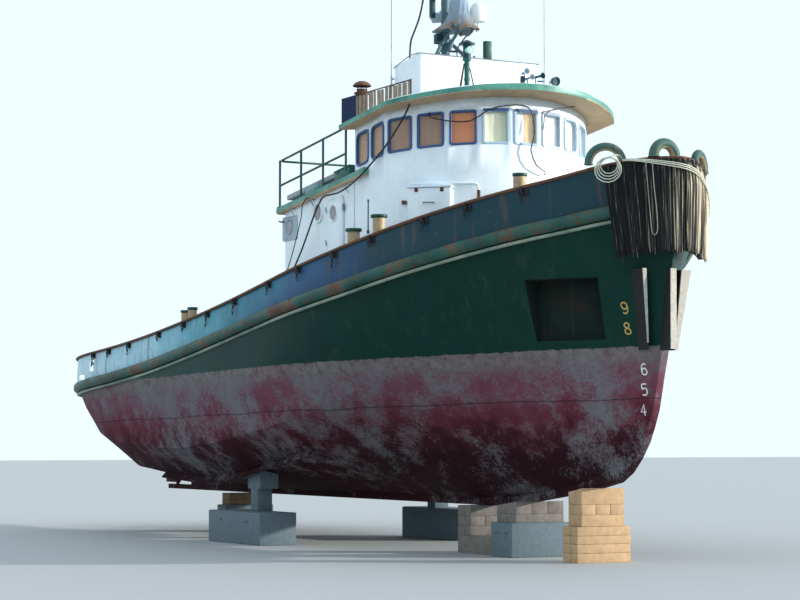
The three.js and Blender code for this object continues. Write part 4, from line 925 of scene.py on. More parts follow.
def wheelhouse_window(x, y, z):
    """Whether a point of the wheelhouse's wall lies in a window; heights before the houses' slope."""
    sill, head = WINDOW["sill"], WINDOW["sill"] + WINDOW["height"]
    if not sill < z < head:
        return False
    if x < HOUSE["wheel_aft"] + 0.04:
        return z > sill + 0.06 and min(abs(abs(y) - 1.15), abs(y)) < 0.26
    if x < 4.8865:
        return min(abs(x - middle) for middle in SIDE_WINDOWS) < WINDOW["width"] / 2
    angle = math.atan2(y, x - HOUSE["arc_x"]) / WINDOW["pitch"]
    nearest = round(angle)
    reach = math.asin(WINDOW["width"] / 2 / HOUSE["arc_r"]) / WINDOW["pitch"]
    return abs(nearest) <= WINDOW["on_arc"] and abs(angle - nearest) < reach


def wheelhouse_walls():
    """The welded wall of the wheelhouse with its windows cut out."""
    plan = wheelhouse_plan()
    sill, head = WINDOW["sill"], WINDOW["sill"] + WINDOW["height"]
    levels = [None, 4.9, 5.5, 6.1, sill, sill + 0.06, head, None]
    count = len(plan)

    def place(u, v):
        x, y = plan[round(u * count) % count]
        level = round(v * (len(levels) - 1))
        z = levels[level]
        if level == 0:
            z = deck_height(x, y) - rise_at(x) + 0.0005
        if level == len(levels) - 1:
            z = roof_underside(y) - 0.0005
        return Vector((x, y, z))

    mesh = draped(count, len(levels) - 1, place)
    bmesh.ops.remove_doubles(mesh, verts=mesh.verts, dist=1e-4)
    panes = [f for f in mesh.faces if wheelhouse_window(*f.calc_center_median())]
    bmesh.ops.delete(mesh, geom=panes, context="FACES")
    bmesh.ops.recalc_face_normals(mesh, faces=mesh.faces)
    outwards = sum(f.normal.dot(f.calc_center_median() - Vector((4.9, 0, 6))) for f in mesh.faces)
    if outwards < 0:
        bmesh.ops.reverse_faces(mesh, faces=mesh.faces)
    piece = finished(risen(mesh), "wheelhouse_walls", WHITE_PAINT, stands_for=["wheelhouse"])
    plated(piece, WALL)


def rounded(width, height, corner, steps=5):
    """Points round a rectangle with rounded corners, about its middle."""
    points = []
    for quarter, (sx, sy) in enumerate(((1, 1), (-1, 1), (-1, -1), (1, -1))):
        cx, cy = sx * (width / 2 - corner), sy * (height / 2 - corner)
        for k in range(steps + 1):
            angle = math.pi / 2 * (quarter + k / steps)
            points.append((cx + corner * math.cos(angle), cy + corner * math.sin(angle)))
    return points


def add_frame(mesh, place, width, height, corner, border, proud, deep=0.0):
    """Adds a frame round an opening: a flat band that stands proud of the wall by its edge and runs back
    into it."""
    ease = min(0.006, proud / 2, border / 3)
    rounds = [(border, -deep), (border, proud - ease), (border - ease, proud), (ease, proud)]
    loops = []
    for grow, z in rounds + [(0.0, proud - ease), (0.0, -deep)]:
        points = rounded(width + 2 * grow, height + 2 * grow, corner + grow)
        loops.append([place @ Vector((x, y, z)) for x, y in points])
    add_skin(mesh, loops, ring=True)


def add_panel(mesh, place, width, height, corner, thick, ease=0.004):
    """Adds a flat panel with rounded corners, its face at the place's own zero and its back behind it."""
    rounds = [
        (rounded(width, height, corner), -thick), (rounded(width, height, corner), -ease),
        (rounded(width - 2 * ease, height - 2 * ease, max(0.001, corner - ease)), 0.0),
    ]
    loops = [[place @ Vector((x, y, z)) for x, y in points] for points, z in rounds]
    add_skin(mesh, loops)


def facing(x, y, z, angle):
    """A place on a wall: its own x along the wall, y up and z outwards, where outwards is at the angle in
    plan."""
    out = Vector((math.cos(angle), math.sin(angle), 0))
    along = Vector((-out.y, out.x, 0))
    turn = Matrix((along, (0, 0, 1), out)).transposed().to_4x4()
    return Matrix.Translation((x, y, z)) @ turn


def wheelhouse_windows():
    """Frames, panes and the blinds behind them, window by window."""
    height, width = WINDOW["height"], WINDOW["width"]
    middle = WINDOW["sill"] + height / 2
    blue, pale = bmesh.new(), bmesh.new()
    panes = bmesh.new()
    blinds = {name: bmesh.new() for name in BLINDS}
    spots = []
    for x in SIDE_WINDOWS:
        for _, side in SIDES:
            place = facing(x, side * HOUSE["half"], middle, side * math.pi / 2)
            spots.append((place, width, height, "tan", "rounded"))
    looks = ("brown", "brown", "orange", "cream", "split", "white", "white", "white", "tan")
    for i, look in enumerate(looks, -WINDOW["on_arc"]):
        angle = i * WINDOW["pitch"]
        x = HOUSE["arc_x"] + HOUSE["arc_r"] * math.cos(angle)
        y = HOUSE["arc_r"] * math.sin(angle)
        chord = HOUSE["arc_r"] * (1 - math.cos(math.asin(width / 2 / HOUSE["arc_r"])))
        back = Matrix.Translation((-chord * math.cos(angle), -chord * math.sin(angle), 0))
        frame_look = "blue" if i < -1 else "top" if i < 2 else "pale"
        spots.append((back @ facing(x, y, middle, angle), width, height, look, frame_look))
    for y in (-1.15, 0, 1.15):
        place = facing(HOUSE["wheel_aft"], y, middle + 0.03, math.pi)
        spots.append((place, 0.52, height - 0.06, "tan", "pale"))
    for place, wide, tall, look, frame_look in spots:
        corner = 0.07 if frame_look in ("pale", "rounded") else 0.012
        target = pale if frame_look in ("pale", "top") else blue
        add_frame(target, place, wide - 0.05, tall - 0.05, corner, 0.04, 0.018, 0.03)
        if frame_look == "top":
            head = place @ Matrix.Translation((0, tall / 2 + 0.005, 0.024))
            add_panel(blue, head, wide + 0.01, 0.05, 0.006, 0.012)
        inside = place @ Matrix.Translation((0, 0, -0.02))
        add_panel(panes, inside, wide - 0.03, tall - 0.03, corner, 0.008, 0.001)
        behind = place @ Matrix.Translation((0, 0, -0.045))
        if look == "split":
            for share, part in ((-0.25, "white"), (0.25, "amber")):
                add_blind(blinds[part], behind @ Matrix.Translation((share * wide, 0, 0)), wide / 2, tall)
        else:
            add_blind(blinds[look], behind, wide, tall)
    finished(risen(blue), "front_window_frames", FRAME_BLUE)
    finished(risen(pale), "side_window_frames", FRAME_PALE)
    finished(risen(panes), "window_panes", WINDOW_GLASS, stands_for=["wheelhouse_glazing"])
    for look, mesh in blinds.items():
        finished(risen(mesh), f"{look}_blinds", BLINDS[look])


def add_blind(mesh, place, wide, tall):
    """Adds a roller blind with a slight wave down its width."""

    def at(u, v):
        wave = 0.004 * math.sin(u * 19) + 0.003 * math.sin(v * 7 + u * 5)
        return place @ Vector(((u - 0.5) * wide, (v - 0.5) * tall, -0.012 + wave))

    merge_into(mesh, thin_sheet(draped(14, 10, at), 0.002))


def wheelhouse_roof():
    """The roof with its crowned underside, its rounded brim and its domed top."""
    columns = 72
    aft, fore = ROOF["aft"], HOUSE["arc_x"] + ROOF["arc_r"]
    edge = ROOF["edge"]
    ring = [(s, "under", 0.0) for s in (0, 0.2, 0.4, 0.6, 0.75, 0.88, 0.955)]
    ring += [
        (0.982, "under", -0.0), (1.0, "brim", 0.012), (1.0, "brim", edge * 0.5), (1.0, "brim", edge - 0.012)
    ]
    ring += [(0.985, "brim", edge)]
    ring += [(s, "top", edge) for s in (0.95, 0.88, 0.75, 0.6, 0.4, 0.2, 0)]

    def place(u, v):
        share, _, up = ring[round(v * (len(ring) - 1))]
        x = aft + (fore - aft) * math.sin(abs(u) * math.pi / 2)
        arc = math.sqrt(max(0.0, ROOF["arc_r"] ** 2 - max(0.0, x - HOUSE["arc_x"]) ** 2))
        y = share * min(ROOF["half"], arc)
        dome = ROOF["dome"] * (1 - share**2) * min(1.0, arc / ROOF["half"]) if up >= edge else 0.0
        return Vector((x, y, roof_underside(y) + up + dome))

    mesh = draped(columns, len(ring) - 1, place)
    bmesh.ops.remove_doubles(mesh, verts=mesh.verts, dist=2e-4)
    bmesh.ops.mirror(mesh, geom=mesh.verts[:] + mesh.edges[:] + mesh.faces[:], axis="Y", merge_dist=1e-3)
    closed(mesh, 2e-4)
    ends = bmesh.ops.holes_fill(mesh, edges=[e for e in mesh.edges if e.is_boundary])["faces"]
    bmesh.ops.recalc_face_normals(mesh, faces=mesh.faces)
    risen(mesh)
    for face in mesh.faces:
        face.material_index = 0 if face.normal.z > 0.5 else 1 if face.normal.z < -0.5 else 2
    for face in ends:
        if face.is_valid:
            face.material_index = 2
    finishes = [WHITE_PAINT, SOFFIT_TAN_AND_BOUNCE_LIGHT, BRIM_PAINT]
    finished(mesh, "roof", finishes, sharp=28, stands_for=["wheelhouse_roof"])


def roof_top(x, y):
    """Height of the roof's top surface."""
    arc = math.sqrt(max(1e-6, ROOF["arc_r"] ** 2 - max(0.0, x - HOUSE["arc_x"]) ** 2))
    share = min(1.0, abs(y) / min(ROOF["half"], arc))
    dome = ROOF["dome"] * (1 - share**2) * min(1.0, arc / ROOF["half"])
    return roof_underside(y) + ROOF["edge"] + dome + rise_at(x)


TRUNK = {"aft": 3.74, "slope": 4.34, "fore": 4.65, "half": 1.2, "aft_top": 8.34, "top": 8.47}


def casing_top(x):
    """Height of the roof casing's top at a station."""
    share = min(1.0, max(0.0, (x - TRUNK["aft"]) / (TRUNK["slope"] - TRUNK["aft"])))
    return TRUNK["aft_top"] + (TRUNK["top"] - TRUNK["aft_top"]) * share


def roof_casing():
    """The white casing across the aft end of the roof, its corners rounded and its aft edge sloped."""
    t = TRUNK
    middle = (t["fore"] + t["aft"]) / 2
    mesh = bmesh.new()
    outline = []
    for x, y in rounded(t["fore"] - t["aft"], 2 * t["half"], 0.07, 4):
        low = Vector((x + middle, y, 0))
        high = Vector((low.x, low.y, casing_top(low.x)))
        low.z = roof_top(low.x, low.y) - 0.02
        outline.append((low, high))
    loops = [[low.lerp(high, share) for low, high in outline] for share in (0, 0.35, 0.7, 0.985)]
    loops.append([])
    for _, high in outline:
        loops[-1].append(high + Vector((middle - high.x, -high.y * 0.35, 0)).normalized() * 0.015)
    add_skin(mesh, loops)
    for y in (-0.75, -0.25, 0.3, 0.8):
        add_panel(mesh, facing(t["fore"] + 0.004, y, 7.98, 0), 0.42, 0.62, 0.03, 0.012)
    finished(mesh, "roof_casing", WHITE_PAINT, stands_for=["roof_trunk"])
    trim = bmesh.new()
    half = t["half"] + 0.004
    path = [
        (t["aft"] + 0.02, -half, t["aft_top"]), (t["slope"], -half, t["top"]),
        (t["fore"] + 0.004, -half, t["top"]),
    ]
    path += [(x, half, z) for x, _, z in reversed(path)]
    for start, end in zip(path, path[1:]):
        add_rod(trim, start, end, 0.009, 8)
    finished(trim, "casing_edge_trim", GREY_PAINT)


def boat_deck():
    """The boat deck over the deckhouse, edged with a rounded green bar."""
    b = BOAT_DECK
    top, low = b["top"], b["top"] - b["thick"]
    edge = [(b["fore"], b["half"]), (b["aft"] + 0.03, b["half"]), (b["aft"], b["half"] - 0.03)]
    edge += [(x, -y) for x, y in reversed(edge)]
    inner = [(b["fore"], -HOUSE["half"] - HAIR), (HOUSE["wheel_aft"] - HAIR, -HOUSE["half"] - HAIR)]
    inner += [(x, -y) for x, y in reversed(inner)]
    outline = edge + inner
    mesh = bmesh.new()
    rounds = [(0.02, low), (0.0, low + 0.02), (0.0, top - 0.02), (0.02, top)]
    loops = []
    for inset, z in rounds:
        loop = []
        for x, y in outline:
            on_edge = (x, y) in edge
            out_x = inset if on_edge and x < b["aft"] + 0.04 else 0.0
            out_y = -math.copysign(inset, y) if on_edge else 0.0
            loop.append(Vector((x + out_x, y + out_y, z)))
        loops.append(loop)
    add_skin(mesh, loops)
    for face in mesh.faces:
        face.material_index = 1 if face.normal.z > 0.7 else 2 if face.normal.z < -0.7 else 0
    finishes = [BRIM_PAINT, DECK_PAINT, SOFFIT_TAN_AND_BOUNCE_LIGHT]
    finished(risen(mesh), "boat_deck_plating", finishes, stands_for=["boat_deck"])


RAILING = {"in": 0.06, "aft": 0.96, "fore": 3.6, "middle": 0.4, "top": 0.85, "pipe": 0.02, "bend": 0.1}
RAILING_POSTS = (0.96, 1.84, 2.72, 3.6)


def railing():
    """Two rails of galvanised pipe on welded posts, with bent corners aft and flat foot plates."""
    r = RAILING
    y = BOAT_DECK["half"] - r["in"]
    foot = BOAT_DECK["top"] + 0.0003
    mesh = bmesh.new()
    way = [(r["fore"], -y, foot + r["top"])]
    for angle in (1.35, 1.0, 0.6, 0.2):
        across = -(y - r["bend"] * (1 - math.sin(angle)))
        way.append((r["aft"] + r["bend"] * (1 - math.cos(angle)), across, foot + r["top"]))
    way.append((r["aft"], -y + r["bend"], foot + r["top"]))
    add_pipe(mesh, way + [(x, -across, z) for x, across, z in reversed(way)], r["pipe"], 12)
    for side in (-1, 1):
        middle = [(x, side * y, foot + r["middle"]) for x in (r["fore"], r["aft"])]
        add_pipe(mesh, middle, r["pipe"], 12)
        for x in RAILING_POSTS:
            base = Vector((x, side * y, foot))
            add_rod(mesh, base, base + Vector((0, 0, r["top"] + 0.012)), r["pipe"] + 0.001, 12)
            add_box(
                mesh, base + Vector((-0.045, -0.045, 0)), base + Vector((0.045, 0.045, 0.012)), bevel=0.003
            )
    finished(risen(mesh), "pipe_railing", RAILING_PAINT, stands_for=["boat_deck_railing"])


RACK = {"aft": -0.1, "fore": 2.15, "half": 1.4, "up": 0.48, "thick": 0.09}


def raft_rack():
    """The grey platform on angle-iron legs, decked with boards inside a channel frame."""
    k = RACK
    foot = BOAT_DECK["top"] + 0.0003
    top = foot + k["up"]
    mesh = bmesh.new()
    for side in (-1, 1):
        y = side * (k["half"] - 0.03)
        add_box(mesh, (k["aft"], y - 0.03, top - k["thick"]), (k["fore"], y + 0.03, top), bevel=0.006)
    for x in (k["aft"], k["fore"] - 0.06, 1.1):
        add_box(
            mesh, (x, -k["half"] + 0.06, top - k["thick"]), (x + 0.06, k["half"] - 0.06, top), bevel=0.006
        )
    boards = 17
    board = (2 * k["half"] - 0.13) / boards
    for i in range(boards):
        low = -k["half"] + 0.065 + i * board
        up = top - 0.012 - 0.004 * (i % 2)
        add_box(
            mesh, (k["aft"] + 0.03, low, top - 0.05), (k["fore"] - 0.03, low + board - 0.008, up), bevel=0.004
        )
    for x in (1.15, 2.05):
        for side in (-1, 1):
            y = side * (k["half"] - 0.12)
            add_box(mesh, (x - 0.04, y - 0.04, foot), (x - 0.03, y + 0.04, top - 0.02), bevel=0.002)
            add_box(mesh, (x - 0.04, y - 0.04, foot), (x + 0.04, y - 0.03, top - 0.02), bevel=0.002)
            add_box(mesh, (x - 0.07, y - 0.07, foot), (x + 0.07, y + 0.07, foot + 0.012), bevel=0.003)
    finished(risen(mesh), "raft_platform", RACK_PAINT, stands_for=["raft_rack"])


def float_under_rack():
    """A rounded buoyant box stowed under the platform's aft end, standing on the boat deck."""
    low = BOAT_DECK["top"] + 0.001
    mesh = bmesh.new()
    made = add_box(mesh, (1.25, -1.72, low), (1.75, -1.38, low + 0.3))
    ease_edges(mesh, made, 0.1, 5)
    for y in (-1.64, -1.46):
        add_box(mesh, (1.24, y - 0.012, low), (1.76, y + 0.012, low + 0.306), bevel=0.004)
    finished(risen(mesh), "stowed_float", TEAL_PLASTIC, sharp=40)


def exhaust_stack():
    """A rusted exhaust pipe with a flange, a band and a rain cowl bent aft."""
    x, y, radius, top = 1.7, -0.75, 0.11, 8.45
    foot = BOAT_DECK["top"] + RACK["up"] + 0.0006 + rise_at(x)
    mesh = bmesh.new()
    wall = 0.008
    profile = [
        (0.2, foot), (0.2, foot + 0.04), (radius + 0.012, foot + 0.055), (radius, foot + 0.08), (radius, 7.6),
        (radius + 0.014, 7.61), (radius + 0.014, 7.67), (radius, 7.68), (radius, 8.2), (radius + 0.035, 8.21),
        (radius + 0.035, 8.235), (radius - 0.01, 8.24), (radius - 0.01, 8.3), (radius - 0.01 - wall, 8.3),
        (radius - 0.01 - wall, 8.0),
    ]
    add_turned(mesh, profile, (x, y, 0), 32)
    for side in (-1, 1):
        middle = y + side * 0.092
        add_box(mesh, (x - 0.012, middle - 0.004, 8.22), (x + 0.012, middle + 0.004, 8.34), bevel=0.002)
    cap = [
        (0.0, top), (0.06, top - 0.006), (0.12, top - 0.03), (0.165, top - 0.075), (0.17, top - 0.1),
        (0.162, top - 0.1), (0.155, top - 0.078), (0.11, top - 0.04), (0.0, top - 0.02),
    ]
    add_turned(mesh, cap, (x, y, 0), 32)
    for k in range(8):
        angle = k * math.tau / 8
        spot = Vector((x + 0.17 * math.cos(angle), y + 0.17 * math.sin(angle), foot + 0.04))
        add_rod(mesh, spot, spot + Vector((0, 0, 0.018)), 0.014, 6)
    finished(mesh, "exhaust_pipe", RAIL_RUST, stands_for=["exhaust_stack"])


DODGER = {"aft": (3.64, -2.14), "fore": (5.16, -1.62), "height": 0.47, "low": 7.32}


def dodger():
    """Weathered slats on a frame, with navy canvas laced over its aft end."""
    start, end = Vector((*DODGER["aft"], 0)), Vector((*DODGER["fore"], 0))
    along = (end - start).normalized()
    length = (end - start).length
    angle = math.atan2(along.y, along.x)
    high = DODGER["low"] + DODGER["height"]

    def at(distance, z):
        point = start + along * distance
        return Vector((point.x, point.y, z + rise_at(point.x)))

    def footing(distance):
        point = start + along * distance
        return roof_top(point.x, point.y) - rise_at(point.x)

    frame_mesh = bmesh.new()
    add_rod(frame_mesh, at(0, high - 0.012), at(length, high - 0.012), 0.012, 10)
    for distance in (0.012, length * 0.35, length * 0.7, length - 0.012):
        add_rod(frame_mesh, at(distance, footing(distance) + 0.001), at(distance, high - 0.01), 0.012, 10)
    finished(frame_mesh, "dodger_frame", RAIL_RUST, stands_for=["roof_dodger"])
    slats = bmesh.new()
    x = 0.3
    while x < length - 0.06:
        wide = dice.uniform(0.045, 0.1)
        middle = at(x + wide / 2, 0)
        bottom = footing(x + wide / 2) + 0.05 + dice.uniform(0, 0.03)
        top = high - 0.02 + dice.uniform(-0.03, 0.0)
        place = Matrix.Translation((middle.x, middle.y, (bottom + top) / 2 + rise_at(middle.x)))
        place = place @ Matrix.Rotation(angle, 4, "Z") @ Matrix.Rotation(dice.uniform(-0.03, 0.03), 4, "Y")
        size = Matrix.Diagonal((wide, 0.014, top - bottom, 1))
        made = bmesh.ops.create_cube(slats, size=1, matrix=place @ size)["verts"]
        ease_edges(slats, made, 0.003, 1)
        x += wide + dice.uniform(0.008, 0.05)
    finished(slats, "dodger_slats", GREY_BOARDS)

    def cloth(u, v):
        distance = u * 0.34 - 0.004
        fold = 0.006 * math.sin(u * 21) + 0.004 * math.sin(v * 11 + u * 9)
        out = Vector((along.y, -along.x, 0)) * (0.013 + abs(fold) * 0.3)
        z = footing(0.1) + 0.02 + v * (high - 0.004 - footing(0.1) - 0.02)
        return at(distance, z) + out

    canvas = thin_sheet(draped(26, 22, cloth), 0.002)
    piece = finished(canvas, "dodger_canvas", NAVY_CANVAS, sharp=60)


# Bow


def round_bow(name, station, count):
    """Evenly spaced points along a line from a station on the starboard side round the stem to port, each
    with its way outwards."""
    line = LINES[name]
    t = math.acos(1 - 2 * (station - line.aft_end) / (line.fore_end - line.aft_end)) / math.pi
    last, half = (1 - t) / 2, 150
    fine = [around(name, last * (1 - k / half)) for k in range(half)]
    fine += [around(name, 1 - last * k / half) for k in range(half + 1)]
    travelled = [0.0]
    for a, b in zip(fine, fine[1:]):
        travelled.append(travelled[-1] + (b - a).xy.length)
    spots = []
    k = 0
    for i in range(count):
        target = travelled[-1] * i / (count - 1)
        while k < len(fine) - 2 and travelled[k + 1] < target:
            k += 1
        share = (target - travelled[k]) / max(1e-9, travelled[k + 1] - travelled[k])
        along = (fine[min(k + 3, len(fine) - 1)] - fine[max(k - 2, 0)]).xy.normalized()
        spots.append((fine[k].lerp(fine[k + 1], share), Vector((along.y, -along.x, 0))))
    return spots


FENDER = {"aft": 9.8, "top": -0.045, "bottom": -1.45, "gathered": 0.16}
FENDER_SPOTS = round_bow("rail", FENDER["aft"], 200)


def on_fender(share, out, up):
    """A point on the fender: share from 0 at its starboard edge to 1 at port, and its way out from the rail
    line."""
    place = min(1.0, max(0.0, share)) * (len(FENDER_SPOTS) - 1)
    k = min(len(FENDER_SPOTS) - 2, int(place))
    (a, out_a), (b, out_b) = FENDER_SPOTS[k], FENDER_SPOTS[k + 1]
    point = a.lerp(b, place - k) + out_a.lerp(out_b, place - k) * out
    point.z += up
    return point


def along_fender(low, high, out, up):
    """The level direction along the fender from one share to another."""
    across = on_fender(high, out, up) - on_fender(low, out, up)
    across.z = 0
    return across.normalized()


def hanging_out(f):
    """How far the fender stands out from the rail line, at f from 0 at its top to 1 at its foot."""
    return 0.055 + 0.065 * min(1.0, f / 0.25) ** 0.6 - 0.035 * max(0.0, f - 0.35)


def bow_fender():
    """The rope fender: a packed near-black core under two layers of old manila strands that hang from the
    rail, darker to starboard as painted shade and paler to port as painted sunlight, with a frayed top and a
    ragged foot. The core's black shows between the strands as painted shade."""
    drop = FENDER["top"] - FENDER["bottom"]
    core = bmesh.new()
    loops = []
    for i in range(61):
        share = i / 60
        loop = [on_fender(share, -0.02, FENDER["top"] - 0.02)]
        for k in range(9):
            f = k / 8
            lump = 0.006 * noise.noise(Vector((share * 30, f * 5, 1.0)))
            gathered = 0.5 + (share - 0.5) * (1 - FENDER["gathered"] * f)
            loop.append(
                on_fender(gathered, hanging_out(f) - 0.03 + lump, FENDER["top"] - 0.02 - f * (drop - 0.07))
            )
        loop.append(on_fender(0.5 + (share - 0.5) * (1 - FENDER["gathered"]), -0.02, FENDER["bottom"] + 0.05))
        loops.append(loop)
    add_skin(core, loops)
    # The core's near black stands for the shade between the strands.
    finished(core, "fender_core", CORE_ROPE_SHADE_BLACK, sharp=60, stands_for=["bow_pudding"])
    for layer, (count, lift, thick) in enumerate(((115, -0.014, 0.0135), (128, 0.006, 0.012))):
        strands = bmesh.new()
        for i in range(count):
            share = (i + 0.5 + dice.uniform(-0.3, 0.3)) / count
            radius = thick * dice.uniform(0.75, 1.25)
            length = drop + dice.uniform(-0.07, 0.02)
            start = FENDER["top"] + dice.uniform(-0.02, 0.035)
            loose = dice.uniform(-0.002, 0.012)
            sway, phase = dice.uniform(-0.006, 0.006), dice.uniform(0, 6)
            rings = 15

            def place(u, v):
                f = round(u * rings) / rings
                gathered = 0.5 + (share - 0.5) * (1 - FENDER["gathered"] * f)
                gathered += sway * math.sin(f * 5 + phase) * 0.6
                taper = 0.45 if f in (0.0, 1.0) else 1.0
                turn = round(v * 5) % 5 * math.tau / 5
                up = start - f * length
                middle = on_fender(gathered, hanging_out(f) + lift + loose * f, up)
                across = along_fender(gathered - 0.004, gathered + 0.004, hanging_out(f), up)
                out = Vector((across.y, -across.x, 0))
                return middle + (across * math.cos(turn) + out * math.sin(turn)) * radius * taper

            part = capped(draped(rings, 5, place))
            # Painted shade and painted sunlight: strands lean to the dark finish towards starboard and to the
            # pale one towards port, over a random tone.
            tone = dice.random() + 0.5 * (share - 0.5)
            for face in part.faces:
                face.material_index = 1 if tone < 0.34 else 2 if tone > 0.66 else 0
            merge_into(strands, part)
        finished(
            strands, f"fender_strands_{layer + 1}", [MANILA, DARK_AND_SHADED_MANILA, PALE_AND_SUNLIT_MANILA],
            sharp=80
        )
    tufts = bmesh.new()
    for i in range(210):
        share = dice.uniform(0.16, 0.98)
        foot = on_fender(share, dice.uniform(0.075, 0.12), FENDER["top"] - dice.uniform(0.03, 0.14))
        lean = on_fender(share + dice.uniform(-0.012, 0.012), dice.uniform(0.08, 0.13), FENDER["top"])
        lean.z += dice.uniform(-0.01, 0.035)
        add_rod(tufts, foot, lean, 0.0045, 4, 0.0015)
    finished(tufts, "fender_frayed_ends", MANILA, sharp=80)


def add_cord(name, points, diameter, finish):
    """A rope, hose or cable along its points. Each one here ends at the boat."""
    points = [Vector(p) + Vector((SHIFT, 0, 0)) for p in points]
    curve = bpy.data.curves.new(name, "CURVE")
    curve.dimensions = "3D"
    curve.bevel_depth = diameter / 2
    curve.bevel_resolution = 2
    curve.use_fill_caps = True
    spline = curve.splines.new("POLY")
    spline.points.add(len(points) - 1)
    for target, point in zip(spline.points, points):
        target.co = (*point, 1)
    curve.materials.append(finish)
    piece = bpy.data.objects.new(name, curve)
    bpy.context.scene.collection.objects.link(piece)
    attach(piece, "boat")
    length = sum((b - a).length for a, b in zip(points, points[1:]))
    tuple(points[0])


def bow_ropes():
    """The pale lines at the bow: a small coil at the starboard chock, three that lead over the fender to
    port, and one that hangs doubled down its face."""
    for i, (drop, clear) in enumerate(((0.0, 0.148), (-0.03, 0.152), (-0.062, 0.15))):
        way = [
            (0.12, 0.05, 0.012), (0.17, 0.11, 0.0), (0.25, clear, -0.035), (0.38, clear, -0.085),
            (0.5, clear, -0.14), (0.62, clear, -0.2), (0.74, clear, -0.27), (0.86, clear, -0.32),
            (0.95, clear, -0.37 - i * 0.03), (0.99, clear, -0.46 - i * 0.04),
            (0.975, clear - 0.01, -0.56 - i * 0.05),
        ]
        points = [on_fender(share, out, up + drop * min(1.0, share * 2.2)) for share, out, up in way]
        add_cord(f"lead_rope_{i + 1}", smooth_path(points, 3), 0.016, PALE_ROPE)
    centre = on_fender(0.045, 0.165, 0.06)
    across = along_fender(0.0, 0.09, 0.165, 0.06)
    out = Vector((across.y, -across.x, 0))
    turns, per_turn = 4, 14
    coil = []
    for k in range(turns * per_turn + 1):
        angle = math.tau * k / per_turn
        radius = 0.115 + 0.1 * k / (turns * per_turn)
        side = across * math.sin(angle) * radius
        down = Vector((0, 0, -radius * 0.92 * (1 - math.cos(angle))))
        coil.append(centre + side + down + out * 0.021 * angle / math.tau)
    tail = ((0.082, 0.235, 0.072), (0.106, 0.17, 0.072), (0.115, 0.1, 0.045), (0.118, 0.05, 0.02))
    coil += smooth_path([coil[-1]] + [on_fender(*spot) for spot in tail], 4)[1:]
    add_cord("coiled_rope", coil, 0.017, PALE_ROPE)
    down = [
        (0.27, 0.1, -0.03), (0.275, 0.15, -0.12), (0.285, 0.155, -0.4), (0.297, 0.15, -0.75),
        (0.305, 0.147, -1.0),
    ]
    loop = [(0.312, 0.147, -1.13), (0.327, 0.15, -1.175), (0.342, 0.15, -1.13)]
    up = [
        (0.345, 0.152, -1.0), (0.338, 0.155, -0.75), (0.325, 0.155, -0.45), (0.318, 0.15, -0.2),
        (0.31, 0.1, -0.04),
    ]
    points = [on_fender(*spot) for spot in down + loop + up]
    add_cord("hanging_rope", smooth_path(points, 3), 0.014, GREY_ROPE)


# Columns: name, side, then the section at the foot and at the head: its fore face, both sides, depth.
FINS = (
    ("starboard", -1, (9.94, 0.195, 0.225, 0.17), (10.12, 0.354, 0.44, 0.27)),
    ("centre", 1, (10.29, -0.06, 0.06, 0.16), (10.3, -0.06, 0.06, 0.1)),
    ("port", 1, (9.94, 0.26, 0.33, 0.17), (10.12, 0.27, 0.46, 0.27)),
)


def stem_fins():
    """Rubber fins on the stem, pale on their fore faces from wear and painted sunlight, that thin out into
    the plating behind.
    """
    for name, side, low, high in FINS:
        rubber, face = bmesh.new(), bmesh.new()
        loops, strips = [], []
        rows, ease = 13, 0.01
        for k in range(rows):
            f = k / (rows - 1)
            fore, inner, outer, deep = (a + (b - a) * f for a, b in zip(low, high))
            z = 3.25 + 1.2 * f
            if 0 < k < rows - 1:
                fore += 0.005 * noise.noise(Vector((f * 9, side, 4.0)))  # wear
            ring = [
                (fore - deep - 0.3, (inner + outer) / 2 - 0.02), (fore - deep, inner), (fore - ease, inner),
                (fore, inner + ease), (fore, outer - ease), (fore - ease, outer), (fore - deep, outer),
            ]
            loops.append([Vector((x, side * y, z)) for x, y in ring])
            # A pale strip on the fore face: scuffing with painted sunlight.
            strip = [
                (fore - 0.004, inner + 0.004), (fore + 0.004, inner + 0.009), (fore + 0.004, outer - 0.009),
                (fore - 0.004, outer - 0.004),
            ]
            if outer - inner > 0.03:
                strips.append([Vector((x, side * y, z)) for x, y in strip])
        add_skin(rubber, loops)
        add_skin(face, strips)
        finished(
            rubber, f"stem_fin_{name}", RUBBER, sharp=40, stands_for=[f"stem_fender_{name}"]
        )
        finished(face, f"stem_fin_face_{name}", SCUFFED_AND_SUNLIT_RUBBER, sharp=40)


CHOCKS = (
    ("centre", 10.33, -0.17, math.pi / 2, 0.19, 0.08),
    ("starboard", 9.79, -0.86, 0.95, 0.255, 0.062),
    ("port", 9.79, 0.86, -0.95, 0.255, 0.062),
)  # columns: name, station, y, angle of the hoop to the keel line, radius, pipe radius


